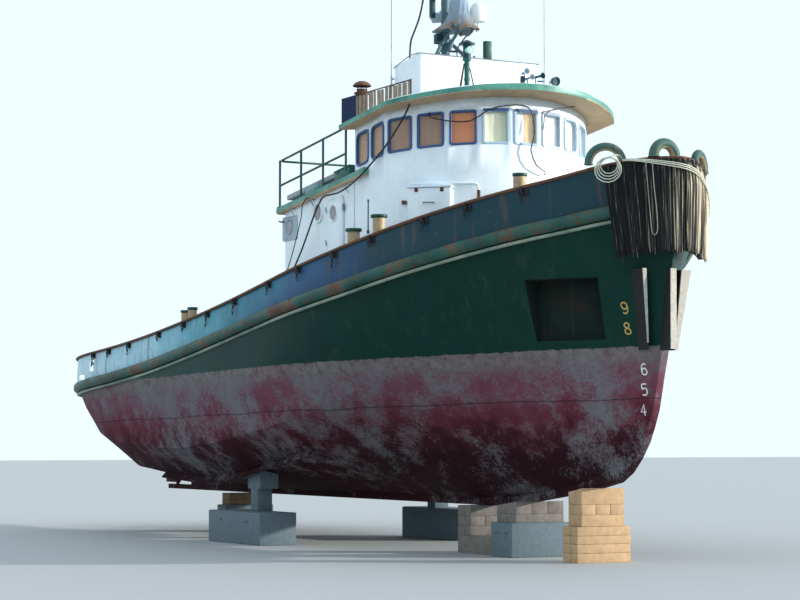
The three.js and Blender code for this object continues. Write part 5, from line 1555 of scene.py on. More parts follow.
def bow_chocks():
    """Bent pipe hoops welded to the rail, worn bright inside where the lines lead."""
    for name, x, y, angle, radius, pipe in CHOCKS:
        foot = height_at("rail", x)
        along = Vector((math.cos(angle), math.sin(angle), 0))
        out = Vector((along.y, -along.x, 0))
        middle = Vector((x, y, foot + 0.02))
        reach = math.asin(min(1.0, 0.018 / radius))
        sides, steps = 20, 40

        def place(u, v):
            a = -reach + (math.pi + 2 * reach) * u
            b = math.tau * (round(v * sides) % sides) / sides
            r = radius + pipe * math.cos(b)
            rise = Vector((0, 0, math.sin(a) * r))
            return middle + along * (math.cos(a) * r) + rise + out * (pipe * math.sin(b))

        mesh = capped(draped(steps, sides, place))
        for end in (-1, 1):
            spot = Vector((x, y, foot + 0.001)) + along * end * radius
            add_rod(mesh, spot, spot + Vector((0, 0, 0.014)), pipe + 0.014, 20, pipe + 0.004)
        for face in mesh.faces:
            way = face.calc_center_median() - middle
            face.material_index = 1 if face.normal.dot(way) < -0.35 * way.length else 0
        finished(
            mesh, f"chock_{name}", [CHOCK_PAINT, WORN_TAN], stands_for=[f"bow_chock_{name}"]
        )


def against_hull(skin, x, side, z, proud=0.002):
    """A point on the hull's side at a station and a height, standing proud of it."""
    start = Vector((x + SHIFT, side * 6, z))
    spot, normal, _, _ = skin.ray_cast(start, Vector((0, -side, 0)))
    return spot + normal * proud - Vector((SHIFT, 0, 0))


FIGURES = {
    "4": [(0.66, 0.0), (0.66, 1.0), (0.05, 0.32), (0.95, 0.32)],
    "5": [
        (0.9, 1.0), (0.2, 1.0), (0.15, 0.58), (0.55, 0.64), (0.88, 0.5), (0.88, 0.16), (0.55, 0.0),
        (0.1, 0.06)
    ],
    "6": [
        (0.85, 0.9), (0.5, 1.0), (0.18, 0.8), (0.1, 0.4), (0.2, 0.08), (0.5, 0.0), (0.82, 0.1), (0.88, 0.35),
        (0.7, 0.56), (0.4, 0.58), (0.14, 0.4),
    ],
    "8": [
        (0.5, 0.54), (0.2, 0.68), (0.2, 0.9), (0.5, 1.0), (0.8, 0.9), (0.8, 0.68), (0.5, 0.54), (0.14, 0.38),
        (0.14, 0.1), (0.5, 0.0), (0.86, 0.1), (0.86, 0.38), (0.5, 0.54),
    ],
    "9": [
        (0.86, 0.6), (0.6, 0.42), (0.3, 0.44), (0.12, 0.65), (0.18, 0.9), (0.5, 1.0), (0.8, 0.92), (0.9, 0.6),
        (0.8, 0.2), (0.5, 0.0), (0.15, 0.1),
    ],
}  # each figure's stroke, in shares of its width and height
DRAFT_MARKS = (
    ("9", 9.63, 3.88, "ochre"),
    ("8", 9.6, 3.575, "ochre"),
    ("6", 9.72, 2.96, "white"),
    ("5", 9.68, 2.655, "white"),
    ("4", 9.62, 2.35, "white"),
)  # columns: figure, station, height of its middle, paint


def draft_marks(skin):
    """Draft figures welded on and painted, one foot apart up the stem."""
    meshes = {"ochre": bmesh.new(), "white": bmesh.new()}
    tall, wide, stroke = 0.165, 0.095, 0.012
    for side in (-1, 1):
        for figure, x, z, paint in DRAFT_MARKS:
            corners = [(a, b, 0) for a, b in FIGURES[figure]]
            line = smooth_path(corners, 1 if figure == "4" else 4)
            points = []
            for spot in line:
                station = x - side * (spot.x - 0.5) * wide
                points.append(against_hull(skin, station, side, z + (spot.y - 0.5) * tall))
            add_pipe(meshes[paint], points, stroke, 6)
    finished(meshes["ochre"], "draft_figures_upper", OCHRE_PAINT)
    finished(meshes["white"], "draft_figures_lower", FIGURE_WHITE)


# House sides

DOOR = {"aft": 2.84, "fore": 3.45, "sill": 4.42, "head": 6.14, "thick": 0.045, "off": 0.012, "overlap": 0.045}
DOOR_HINGE = {"x": 3.48, "y": 2.0345, "heights": (4.75, 5.9), "tall": 0.06, "radius": 0.02}
DOOR_CORNER = 0.16


def paint(finish, *names):
    """Gives CAD nodes whose shapes are shown as they are their finish."""
    for name in names:
        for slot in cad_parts[name].material_slots:
            slot.link = "OBJECT"
            slot.material = finish


def add_port(rims, panes, place, radius, border=0.028, proud=0.02):
    """Adds a round port light on a wall: its rim with six bolts, and its pane."""
    add_frame(rims, place, 2 * radius, 2 * radius, radius, border, proud, 0.004)
    reach = radius + border / 2
    for k in range(6):
        angle = math.tau * (k + 0.5) / 6
        x, y = reach * math.cos(angle), reach * math.sin(angle)
        add_rod(rims, place @ Vector((x, y, proud)), place @ Vector((x, y, proud + 0.006)), 0.007, 6)
    add_panel(panes, place @ Matrix.Translation((0, 0, 0.008)), 2 * radius, 2 * radius, radius, 0.01, 0.001)


def deckhouse_walls():
    """The deckhouse's plating, rounded at its aft corners, with a doorway and its hinge lugs on each side."""
    top = BOAT_DECK["top"] - BOAT_DECK["thick"] - HAIR
    fore = HOUSE["wheel_aft"] - HAIR

    def plan(inset):
        half, corner, aft = HOUSE["half"] - inset, 0.11 - inset, HOUSE["aft"] + inset
        turn = [math.pi / 2 * k / 6 for k in range(7)]
        starboard = [(x, -half) for x in (fore, 3.3, 2.6, 1.9, 1.4)]
        starboard += [(aft + corner * (1 - math.sin(a)), -half + corner * (1 - math.cos(a))) for a in turn]
        return starboard + [(x, -y) for x, y in reversed(starboard)]

    outline = plan(0) + plan(WALL)[::-1]
    loops = []
    for level in range(5):
        loop = []
        for x, y in outline:
            low = deck_height(x, y) + 0.0005
            loop.append(Vector((x, y, low + (top + rise_at(x) - low) * level / 4)))
        loops.append(loop)
    mesh = bmesh.new()
    add_skin(mesh, loops)
    piece = finished(mesh, "deckhouse_walls", WHITE_PAINT, stands_for=["deckhouse"])
    doorways = bmesh.new()
    wide = DOOR["fore"] - DOOR["aft"] - 2 * DOOR["overlap"]
    tall = DOOR["head"] - DOOR["sill"] - 2 * DOOR["overlap"]
    x, z = (DOOR["fore"] + DOOR["aft"]) / 2, (DOOR["head"] + DOOR["sill"]) / 2
    for _, side in SIDES:
        place = facing(x, side * (HOUSE["half"] + 0.1), z, side * math.pi / 2)
        add_panel(doorways, place, wide, tall, DOOR_CORNER - DOOR["overlap"], 0.3, 0.001)
    cut_out(piece, doorways)
    lugs = bmesh.new()
    for _, side in SIDES:
        for z in DOOR_HINGE["heights"]:
            x, y = DOOR_HINGE["x"], side * DOOR_HINGE["y"]
            low, high = sorted((y, side * 1.99))
            add_rod(lugs, (x, y, z - 0.05), (x, y, z - HAIR), DOOR_HINGE["radius"], 16)
            add_box(lugs, (x - 0.008, low, z - 0.05), (x + 0.008, high, z - HAIR))
    finished(lugs, "door_hinge_lugs", GREY_PAINT)


def doors():
    """Steel doors with rounded corners, a port light, a raised panel edge, two dogs and a lever handle."""
    wide, tall = DOOR["fore"] - DOOR["aft"], DOOR["head"] - DOOR["sill"]
    x, z = (DOOR["fore"] + DOOR["aft"]) / 2, (DOOR["head"] + DOOR["sill"]) / 2
    for name, side in SIDES:
        face = HOUSE["half"] + DOOR["off"] + DOOR["thick"]
        place = facing(x, side * face, z, side * math.pi / 2)
        leaf, dark, panes = bmesh.new(), bmesh.new(), bmesh.new()
        add_panel(leaf, place, wide, tall, DOOR_CORNER, DOOR["thick"], 0.006)
        add_frame(leaf, place, wide - 0.13, tall - 0.13, DOOR_CORNER - 0.05, 0.022, 0.007, 0.002)
        for height in DOOR_HINGE["heights"]:
            foot = Vector((DOOR_HINGE["x"], side * DOOR_HINGE["y"], height))
            top = foot + Vector((0, 0, DOOR_HINGE["tall"]))
            add_rod(dark, foot, top, DOOR_HINGE["radius"], 16)
            strap = Vector((DOOR["fore"] - 0.06, foot.y - 0.008, height))
            add_box(dark, strap, top + Vector((0, 0.008, 0)), bevel=0.002)
        for height in (-0.62, 0.05, 0.62):
            spot = place @ Matrix.Translation((side * (wide / 2 - 0.045), height, 0))
            add_rod(dark, spot.translation, spot @ Vector((0, 0, 0.024)), 0.016, 12)
            low, high = spot @ Vector((-side * 0.02, -0.05, 0.018)), spot @ Vector((side * 0.01, 0.05, 0.018))
            add_rod(dark, low, high, 0.009, 8)
        add_port(leaf, panes, place @ Matrix.Translation((0, 0.55, 0)), 0.13, 0.026, 0.016)
        body = f"deckhouse_door_{name}"
        finished(leaf, f"door_leaf_{name}", WHITE_PAINT, body, stands_for=[body])
        finished(dark, f"door_fittings_{name}", GREY_PAINT, body)
        finished(panes, f"door_pane_{name}", PORT_GLASS, body)


def side_fittings():
    """Port lights, a grey plate and a small hook on each side of the deckhouse."""
    rims, panes, plates, rusty = bmesh.new(), bmesh.new(), bmesh.new(), bmesh.new()
    for _, side in SIDES:
        wall = side * HOUSE["half"]
        hook = ((1.06, 0.0, 5.86), (1.05, 0.06, 5.855), (1.0, 0.085, 5.87))
        add_port(rims, panes, facing(2.45, wall, 5.9, side * math.pi / 2), 0.145, 0.045, 0.03)
        plate = facing(1.3, wall + side * 0.012, 5.72, side * math.pi / 2)
        add_panel(plates, plate, 0.62, 0.44, 0.04, 0.014)
        add_port(plates, panes, plate @ Matrix.Translation((0.02 * side, 0.02, 0)), 0.115, 0.02, 0.016)
        add_pipe(rusty, [(x, wall + side * out, z) for x, out, z in hook], 0.014, 8)
        add_box(rusty, (1.035, wall - 0.004, 5.82), (1.085, wall + 0.006, 5.9), bevel=0.003)
        for x in (1.5, 2.3, 3.6):
            z = BOAT_DECK["top"] - BOAT_DECK["thick"] + rise_at(x)
            bracket = [(x, wall, z - 0.16), (x, wall + side * 0.1, z - 0.012), (x, wall, z - 0.012)]
            add_pipe(plates, bracket, 0.008, 8)
    finished(rims, "port_light_rims", WHITE_PAINT)
    finished(panes, "port_light_panes", PORT_GLASS)
    finished(plates, "side_plates", PALE_GREY)
    finished(rusty, "side_hooks", RAIL_RUST)


def locker():
    """A white steel locker against the wheelhouse's rounded front, with its lid, latch and a vent pipe
    above."""
    mesh, rusty = bmesh.new(), bmesh.new()
    middle, turn = Vector((5.66, -1.53, 0)), math.atan2(0.574, 0.521)
    foot = deck_height(middle.x, middle.y) - 0.02
    half_long, half_deep = 0.36, 0.15
    body, lid = Vector((half_long, half_deep, 0)), Vector((half_long + 0.02, half_deep + 0.02, 0))
    foot, rim, top = Vector((0, 0, foot)), Vector((0, 0, 6.03)), Vector((0, 0, 6.07))
    add_box(mesh, middle - body + foot, middle + body + rim, turn, 0.018)
    add_box(mesh, middle - lid + rim, middle + lid + top, turn, 0.012)
    along = Vector((math.cos(turn), math.sin(turn), 0))
    out = Vector((along.y, -along.x, 0))
    for share in (-0.6, 0.6):
        spot = middle + along * half_long * share + out * half_deep
        add_box(rusty, spot + Vector((-0.03, -0.008, 5.96)), spot + Vector((0.03, 0.008, 6.05)), turn, 0.003)
    handle = middle + out * half_deep + Vector((0, 0, 5.78))
    grip = [handle + along * a + out * b for a, b in ((0.09, 0), (0.08, 0.05), (-0.08, 0.05), (-0.09, 0))]
    add_pipe(rusty, smooth_path(grip, 3), 0.008, 8)
    finished(mesh, "deck_locker", WHITE_PAINT)
    pipe = bmesh.new()
    way = []
    for k in range(13):
        angle = math.radians(-51 + 26.5 * k / 12)
        along = HOUSE["arc_x"] + 2.265 * math.cos(angle)
        way.append(Vector((along, 2.265 * math.sin(angle), 6.12 - 0.001 * k)))
    end = way[-1]
    way += smooth_path([end, end + Vector((0.05, 0.05, -0.03)), end + Vector((0.06, 0.065, -0.12))], 3)[1:]
    add_pipe(pipe, way, 0.026, 12)
    add_pipe(rusty, [way[-1] + Vector((0, 0, 0.01)), way[-1] + Vector((0.0, 0.005, -0.3))], 0.028, 12)
    add_box(rusty, (5.235, -1.86, 5.79), (5.3, -1.78, 5.85), -0.4, 0.006)
    finished(pipe, "vent_pipe", WHITE_PAINT)
    finished(rusty, "locker_fittings", RAIL_RUST)


def deck_box():
    """A low green box on the starboard edge of the boat deck."""
    mesh = bmesh.new()
    low = BOAT_DECK["top"] + 0.001
    add_box(mesh, (3.2, -2.07, low), (3.76, -1.86, low + 0.15), bevel=0.012)
    add_box(mesh, (3.19, -2.08, low + 0.15), (3.77, -1.85, low + 0.172), bevel=0.006)
    for x in (3.32, 3.64):
        add_box(mesh, (x - 0.02, -2.084, low + 0.1), (x + 0.02, -2.068, low + 0.165), bevel=0.003)
    finished(risen(mesh), "boat_deck_box", GREEN_PAINT)


# Deck gear

BITTS = (
    ("fore_towing_bitts", 7.5, 0.0, 1.9, 0.105, 1.24, 0.12, True),
    ("side_bitts_starboard", 5.12, -2.45, 0.9, 0.105, 1.05, 0.14, False),
    ("side_bitts_port", 5.12, 2.45, 0.9, 0.105, 1.05, 0.14, False),
    ("waist_bitts_starboard", -1.65, -2.72, 0.33, 0.085, 0.9, 0.1, False),
    ("waist_bitts_port", -1.65, 2.72, 0.33, 0.085, 0.9, 0.1, False),
    ("aft_towing_bitts", -3.7, 0.0, 0.9, 0.12, 1.0, 0.15, True),
)  # columns: name, station, y, spacing, radius, height, cap radius, whether it stands athwart with a crossbar


def add_bitt(mesh, x, y, deck, radius, height, cap):
    """One hollow post: a welded collar at its foot, a worn barrel, and a dished cap with a rounded rim."""
    profile = [
        (0.0, height - 0.005), (cap - 0.035, height), (cap - 0.022, height + 0.024),
        (cap - 0.008, height + 0.03), (cap, height + 0.018), (cap, height - 0.008),
        (cap - 0.01, height - 0.02), (radius, height - 0.026), (radius * 0.985, height * 0.55),
        (radius, 0.12), (radius + 0.02, 0.09), (radius + 0.022, 0.058), (0.0, 0.058),
    ]
    add_turned(mesh, profile, (x, y, deck), 32)


def bitts():
    """Six sets of bitts on their foot plates, green below and worn to rust where the lines run."""
    for name, x, y, spacing, radius, height, cap, across in BITTS:
        deck = height_at("deck", x)
        mesh = bmesh.new()
        for side in (-1, 1):
            dx, dy = (0, side * spacing / 2) if across else (side * spacing / 2, 0)
            add_bitt(mesh, x + dx, y + dy, height_at("deck", x + dx), radius, height, cap)
        if across:
            z = deck + height * 0.62
            add_rod(mesh, (x, y - spacing * 0.75, z), (x, y + spacing * 0.75, z), radius * 0.7, 24)
            for side in (-1, 1):
                end = y + side * spacing * 0.75
                add_rod(mesh, (x, end - side * 0.03, z), (x, end, z), radius * 0.85, 24)
        for face in mesh.faces:
            middle = face.calc_center_median()
            foot = deck if across else height_at("deck", x + math.copysign(spacing / 2, middle.x - x))
            up = middle.z - foot
            face.material_index = 1 if height * 0.42 < up < height - 0.015 and abs(face.normal.z) < 0.5 else 0
        long_half = spacing / 2 + radius * 1.4
        hx, hy = (radius * 1.3, long_half) if across else (long_half, radius * 1.3)
        low = min(deck_height(x - hx, abs(y) + hy), deck_height(x - hx, abs(y) - hy)) - 0.02
        add_box(mesh, (x - hx, y - hy, low), (x + hx, y + hy, height_at("deck", x + hx) + 0.06), bevel=0.012)
        finished(mesh, f"{name}_posts", [GREEN_PAINT, WORN_TAN], stands_for=[name])


def bitt_rope():
    """Yellow line wound on the starboard post of the fore bitts."""
    x, y, radius = 7.5, -0.95, 0.105 + 0.013
    low = height_at("deck", x) + 0.83
    points = []
    per_turn, turns = 14, 7
    for k in range(per_turn * turns + 1):
        angle = math.tau * k / per_turn
        points.append(
            (x + radius * math.cos(angle), y + radius * math.sin(angle), low + 0.028 * angle / math.tau)
        )
    tail = [
        (0.006, 0.045, -0.002), (0.022, 0.084, -0.02), (0.036, 0.104, -0.06), (0.04, 0.11, -0.11),
        (0.038, 0.11, -0.17),
    ]
    last = Vector(points[-1])
    points += [last + Vector(step) for step in tail]
    add_cord("bitt_line", points, 0.022, YELLOW_ROPE)


def capstan():
    """A capstan with whelps on its barrel and a bolted base."""
    x, y = -6.6, 0.0
    deck = height_at("deck", x)
    top = deck + CAMBER + 0.16
    base = bmesh.new()
    low = deck + 0.05
    profile = [
        (0.0, top), (0.235, top), (0.25, top - 0.01), (0.258, top - 0.025), (0.245, top - 0.06),
        (0.225, top - 0.09), (0.225, low + 0.07), (0.258, low + 0.055), (0.26, low),
    ]
    add_turned(base, profile + [(0.0, low)], (x, y, 0), 40)
    for k in range(8):
        angle = k * math.tau / 8
        spot = Vector((x + 0.243 * math.cos(angle), y + 0.243 * math.sin(angle), low + 0.05))
        add_rod(base, spot, spot + Vector((0, 0, 0.022)), 0.012, 6)
    finished(base, "capstan_pedestal", GREEN_PAINT, stands_for=["capstan_base"])
    head = bmesh.new()
    foot = top + 0.0003
    profile = [
        (0.0, 0.56), (0.112, 0.56), (0.125, 0.55), (0.186, 0.525), (0.19, 0.51), (0.19, 0.478), (0.182, 0.46),
        (0.14, 0.335), (0.133, 0.3), (0.142, 0.2), (0.152, 0.155), (0.222, 0.065), (0.23, 0.05),
        (0.23, 0.004), (0, 0.004),
    ]
    add_turned(head, profile, (x, y, foot), 40)
    for k in range(6):
        angle = k * math.tau / 6
        out = Vector((math.cos(angle), math.sin(angle), 0))
        whelp = ((0.196, 0.1), (0.155, 0.165), (0.142, 0.25), (0.15, 0.36), (0.17, 0.44))
        way = [Vector((x, y, foot + h)) + out * r for r, h in whelp]
        add_pipe(head, smooth_path(way, 3), 0.013, 8)
    for k in range(6):
        angle = (k + 0.5) * math.tau / 6
        spot = Vector((x + 0.145 * math.cos(angle), y + 0.145 * math.sin(angle), foot + 0.5))
        add_box(
            head, spot + Vector((-0.018, -0.018, 0.03)), spot + Vector((0.018, 0.018, 0.052)), angle, 0.004
        )
    for face in head.faces:
        up = face.calc_center_median().z - foot
        face.material_index = 1 if 0.12 < up < 0.45 else 0
    finished(
        head, "capstan_barrel", [GREEN_PAINT, WORN_TAN], "capstan_head",
        stands_for=["capstan_head"]
    )


SKYLIGHT = {
    "aft": -1.7, "fore": -0.25, "half": 0.62, "height": 0.62, "ridge": 0.06, "lid": 0.04, "over": 0.04
}


def skylight():
    """The engine-room skylight: a stiffened coaming and two lids with port lights, hinged at the ridge."""
    s = SKYLIGHT
    top = height_at("deck", s["fore"]) + s["height"]
    middle = (s["aft"] + s["fore"]) / 2
    coaming = bmesh.new()
    low = [deck_height(s["aft"], s["half"]) - 0.02, deck_height(s["fore"], s["half"]) - 0.02]
    for side in (-1, 1):
        y0, y1 = sorted((side * s["half"], side * (s["half"] - 0.05)))
        corners = [(s["aft"], low[0]), (s["fore"], low[1]), (s["fore"], top), (s["aft"], top)]
        add_skin(coaming, [[Vector((x, y, z)) for x, z in corners] for y in (y0, y1)])
        for x in (s["aft"] + 0.3, middle, s["fore"] - 0.3):
            y2, y3 = sorted((side * (s["half"] - 0.01), side * (s["half"] + 0.012)))
            add_box(coaming, (x - 0.015, y2, low[1] + 0.1), (x + 0.015, y3, top - 0.03), bevel=0.003)
    for x0, x1, foot in ((s["aft"], s["aft"] + 0.05, low[0]), (s["fore"] - 0.05, s["fore"], low[1])):
        add_box(coaming, (x0, -s["half"] + 0.05, foot), (x1, s["half"] - 0.05, top))
    add_box(coaming, (s["aft"], -s["ridge"], top - 0.06), (s["fore"], s["ridge"], top), bevel=0.004)
    for side in (-1, 1):
        axis = side * s["ridge"]
        add_rod(coaming, (middle - 0.12, axis, top + 0.03), (middle + 0.12, axis, top + 0.03), 0.024, 16)
        add_box(coaming, (middle - 0.12, axis - 0.012, top - 0.02), (middle + 0.12, axis + 0.012, top + 0.03))
    finished(coaming, "skylight_frame", GREEN_PAINT, stands_for=["skylight_coaming"])
    for name, side in SIDES:
        lid, rims, panes = bmesh.new(), bmesh.new(), bmesh.new()
        inner, outer = side * (s["ridge"] + 0.04), side * (s["half"] + s["over"])
        y0, y1 = sorted((inner, outer))
        z = top + 0.005
        add_box(lid, (s["aft"] - s["over"], y0, z), (s["fore"] + s["over"], y1, z + s["lid"]), bevel=0.008)
        for end in (-1, 1):
            near, far = sorted((middle + end * 0.121, middle + end * 0.26))
            axis = side * s["ridge"]
            add_rod(lid, (near, axis, top + 0.03), (far, axis, top + 0.03), 0.024, 16)
            strap = sorted((axis, side * (s["ridge"] + 0.09)))
            add_box(lid, (near, strap[0], top + 0.024), (far, strap[1], top + 0.04), bevel=0.002)
        for x in (middle - 0.42, middle + 0.42):
            flat = Matrix.Translation((x, (y0 + y1) / 2, z + s["lid"]))
            add_port(rims, panes, flat, 0.13, 0.03, 0.004)
        body = f"skylight_lid_{name}"
        finished(lid, f"skylight_leaf_{name}", GREEN_PAINT, body, stands_for=[body])
        finished(rims, f"skylight_rims_{name}", BRONZE, body)
        finished(panes, f"skylight_panes_{name}", PORT_GLASS, body)


def steering_hatch():
    """A round hatch over the steering gear, its lid with a raised rim and a dog wheel."""
    x, y, radius = -7.9, 0.0, 0.33
    deck = height_at("deck", x)
    top = deck + CAMBER + 0.3
    coaming = bmesh.new()
    profile = [
        (radius - 0.025, deck - 0.35), (radius - 0.025, top - 0.004), (radius - 0.021, top),
        (radius - 0.004, top), (radius, top - 0.004), (radius, deck + 0.12), (radius, deck + 0.04),
        (radius - 0.004, deck - 0.35),
    ]
    add_turned(coaming, profile + [profile[0]], (x, y, 0), 40)
    add_box(coaming, (x + radius - 0.02, -0.06, top - 0.06), (x + radius + 0.07, 0.06, top), bevel=0.003)
    add_rod(coaming, (x + radius + 0.05, -0.06, top + 0.02), (x + radius + 0.05, 0.06, top + 0.02), 0.02, 16)
    add_box(coaming, (x + radius + 0.036, -0.06, top - 0.01), (x + radius + 0.064, 0.06, top + 0.02))
    finished(coaming, "hatch_ring", GREEN_PAINT, stands_for=["aft_hatch_coaming"])
    lid = bmesh.new()
    low = top + 0.005
    cover = [
        (0.0, low + 0.035), (radius - 0.05, low + 0.033), (radius - 0.035, low + 0.026),
        (radius, low + 0.028), (radius + 0.012, low + 0.02), (radius + 0.012, low), (0.0, low),
    ]
    add_turned(lid, cover, (x, y, 0), 40)
    for side in (-1, 1):
        near, far = sorted((side * 0.0605, side * 0.1))
        add_rod(lid, (x + radius + 0.05, near, top + 0.02), (x + radius + 0.05, far, top + 0.02), 0.02, 16)
        add_box(
            lid, (x + radius - 0.06, near, top + 0.012), (x + radius + 0.05, far, top + 0.03), bevel=0.002
        )
    finished(lid, "hatch_cover", GREEN_PAINT, "aft_hatch_lid", stands_for=["aft_hatch_lid"])


# Mast and roof gear

MAST = {"x": 3.9, "y": -0.25, "radius": 0.075, "top": 10.65, "platform": 9.06}
RADAR = {"x": 4.38, "foot": 9.08, "tall": 0.56, "radius": 0.17, "half": 0.38}


def add_spun(mesh, profile, place, sides=24):
    """Adds a profile of (radius, height) points spun about the z axis of a place."""
    part = bmesh.new()
    add_turned(part, profile, (0, 0, 0), sides)
    bmesh.ops.transform(part, matrix=place, verts=part.verts)
    bmesh.ops.recalc_face_normals(part, faces=part.faces)
    merge_into(mesh, part)


def mast():
    """The mast on the casing, with its legs, yard, platform and brace, and the radar's pedestal."""
    x, y, radius, platform = MAST["x"], MAST["y"], MAST["radius"], MAST["platform"]
    foot = casing_top(x) - 0.01
    mesh = bmesh.new()
    profile = [(0.0, MAST["top"]), (radius - 0.012, MAST["top"]), (radius, MAST["top"] - 0.012)]
    for z in (9.9, 8.75):
        profile += [
            (radius, z + 0.03), (radius + 0.01, z + 0.024), (radius + 0.01, z - 0.024), (radius, z - 0.03)
        ]
    profile += [(radius, foot + 0.06), (radius + 0.04, foot + 0.02), (radius + 0.04, foot)]
    add_turned(mesh, profile + [(0.0, foot)], (x, y, 0), 28)
    fore = RADAR["x"] + 0.2
    add_box(mesh, (x - 0.12, y - 0.2, platform - 0.04), (fore, y + 0.2, platform), bevel=0.006)
    for side in (-1, 1):
        leg_foot = Vector((x + 0.3, y + side * 0.42, casing_top(x + 0.3)))
        add_rod(mesh, leg_foot, (x, y + side * 0.02, platform - 0.15), 0.032, 16)
        add_rod(mesh, leg_foot, leg_foot + Vector((0, 0, 0.014)), 0.06, 16)
        edge = y + side * 0.18
        add_rod(mesh, (x + 0.04, edge, platform - 0.35), (fore - 0.05, edge, platform - 0.03), 0.014, 10)
    add_rod(mesh, (x + 0.04, y, platform - 0.35), (RADAR["x"] + 0.06, y, platform - 0.03), 0.03, 16)
    yard = MAST["top"] - 0.5
    add_rod(mesh, (x, y - 0.7, yard), (x, y + 0.7, yard), 0.028, 16)
    for side in (-1, 1):
        add_rod(mesh, (x, y + side * 0.66, yard - 0.09), (x, y + side * 0.66, yard + 0.02), 0.036, 16)
    body, tall, skirt = RADAR["radius"], RADAR["tall"], RADAR["radius"] + 0.05
    pedestal = [
        (0.0, tall), (0.118, tall), (0.122, tall - 0.01), (body - 0.006, 0.162), (skirt - 0.01, 0.065),
        (skirt, 0.052),
    ]
    add_turned(mesh, pedestal + [(skirt, -0.03), (0.0, -0.03)], (RADAR["x"], y, RADAR["foot"]), 36)
    finished(mesh, "mast_and_platform", MAST_PAINT, stands_for=["mast"])


def mast_fittings():
    """What hangs on the mast's starboard side: an arm, a gusset plate, a speaker box, a lamp and a cable
    bar; and a white dome to port."""
    x = MAST["x"]
    dark, pale = bmesh.new(), bmesh.new()
    add_box(dark, (x - 0.04, -0.555, 9.26), (x + 0.04, -0.465, 9.86), bevel=0.01)
    add_rod(dark, (x, -0.51, 9.84), (x, -0.32, 10.12), 0.03, 12)
    corners = [(-0.578, 9.29), (-0.32, 9.42), (-0.31, 9.2), (-0.5, 9.17)]
    add_skin(pale, [[Vector((x + dx, y, z)) for y, z in corners] for dx in (-0.012, 0.012)])
    add_box(dark, (x - 0.05, -0.46, 8.81), (x + 0.06, -0.335, 8.985), bevel=0.012)
    add_rod(dark, (x, -0.36, 9.0), (x, -0.3, 9.06), 0.012, 8)
    add_rod(dark, (x + 0.06, -0.44, 8.68), (x + 0.06, 0.07, 8.7), 0.018, 10)
    for y in (-0.4, -0.05, 0.04):
        add_rod(dark, (x + 0.06, y, casing_top(x + 0.06)), (x + 0.06, y, 8.69), 0.01, 8)
    lamp = [(0.0, 0.14), (0.024, 0.135), (0.03, 0.12), (0.03, 0.02), (0.022, 0.0), (0.0, 0.0)]
    add_turned(pale, lamp, (x + 0.1, -0.19, 8.715), 16)
    finished(dark, "mast_brackets", BLACK_TEAL)
    finished(pale, "mast_plates", PALE_GREY)
    dome = bmesh.new()
    radius, low = 0.15, 9.16
    shape = [(0.0, low + 0.36)]
    shape += [
        (radius * math.sin(a), low + 0.2 + 0.16 * math.cos(a)) for a in (0.3, 0.6, 0.9, 1.2, math.pi / 2)
    ]
    shape += [(radius - 0.004, low + 0.06), (radius - 0.02, low + 0.02), (0.05, low), (0.0, low)]
    add_turned(dome, shape, (RADAR["x"] - 0.05, 0.16, 0), 28)
    spot = Vector((RADAR["x"] - 0.05, 0.16, low + 0.005))
    foot = (RADAR["x"] - 0.05, MAST["y"] + 0.19, MAST["platform"] - 0.02)
    add_pipe(dome, [spot, spot + Vector((0, 0, -0.1)), foot], 0.02, 10)
    finished(dome, "aerial_dome", DOME_WHITE)


def radar_cover():
    """Weathered canvas gathered round the radar's pedestal, flared and torn at its foot."""
    x, y = RADAR["x"], MAST["y"]
    top, floor = RADAR["foot"] + 0.5, MAST["platform"] + 0.004

    def at(u, v):
        angle = math.tau * u
        way = Vector((math.cos(angle), math.sin(angle), 0))
        crease = noise.noise(Vector((way.x * 2.6, way.y * 2.6, v * 1.4)))
        pleat = 0.007 * math.sin(angle * 11 + 3 * v) * (0.5 + v)
        radius = 0.148 + 0.028 * min(1.0, v * 2.4) + 0.016 * crease + pleat
        radius += 0.1 * max(0.0, v - 0.55) ** 1.5 * (1.6 + math.sin(angle * 3 + 0.6)) / 0.3
        tear = 0.05 * noise.noise(Vector((way.x * 7, way.y * 7, 3.0)))
        tear += 0.03 * noise.noise(Vector((angle * 5, 8, 1)))
        edge = min(0.2 / max(1e-3, abs(way.y)), (0.2 if way.x > 0 else 0.6) / max(1e-3, abs(way.x)))
        lowest = floor - 0.1 + tear if radius > edge + 0.012 else floor + max(0.0, tear) * 0.4
        z = top + (lowest - top) * v
        if z < floor and radius < edge + 0.012:
            z = floor
        return Vector((x, y, z)) + way * radius

    mesh = draped(84, 22, at)
    bmesh.ops.remove_doubles(mesh, verts=mesh.verts, dist=1e-5)
    piece = finished(thin_sheet(mesh, 0.0025), "radar_cover", FADED_CANVAS, sharp=70)


def radar_scanner():
    """The scanner bar, rounded like its plastic housing, on its turning pin."""
    x, y = RADAR["x"], MAST["y"]
    top = RADAR["foot"] + RADAR["tall"]
    mesh = bmesh.new()
    add_rod(mesh, (x, y, top + 0.0004), (x, y, top + 0.06), 0.05, 24)
    loops = []
    for share in (-1, -0.985, -0.95, -0.5, 0, 0.5, 0.95, 0.985, 1):
        ease = 0.6 if abs(share) == 1 else 0.85 if abs(share) > 0.97 else 1.0
        at = y + share * RADAR["half"]
        ring = rounded(0.18 * ease, 0.12 * ease, 0.035 * ease, 4)
        loops.append([Vector((x + a, at, top + 0.11 + b)) for a, b in ring])
    add_skin(mesh, loops)
    body = "radar_scanner"
    finished(mesh, "radar_bar", DOME_WHITE, body, stands_for=[body])


LIGHT = {"x": 5.3, "y": -0.63, "top": 8.3}


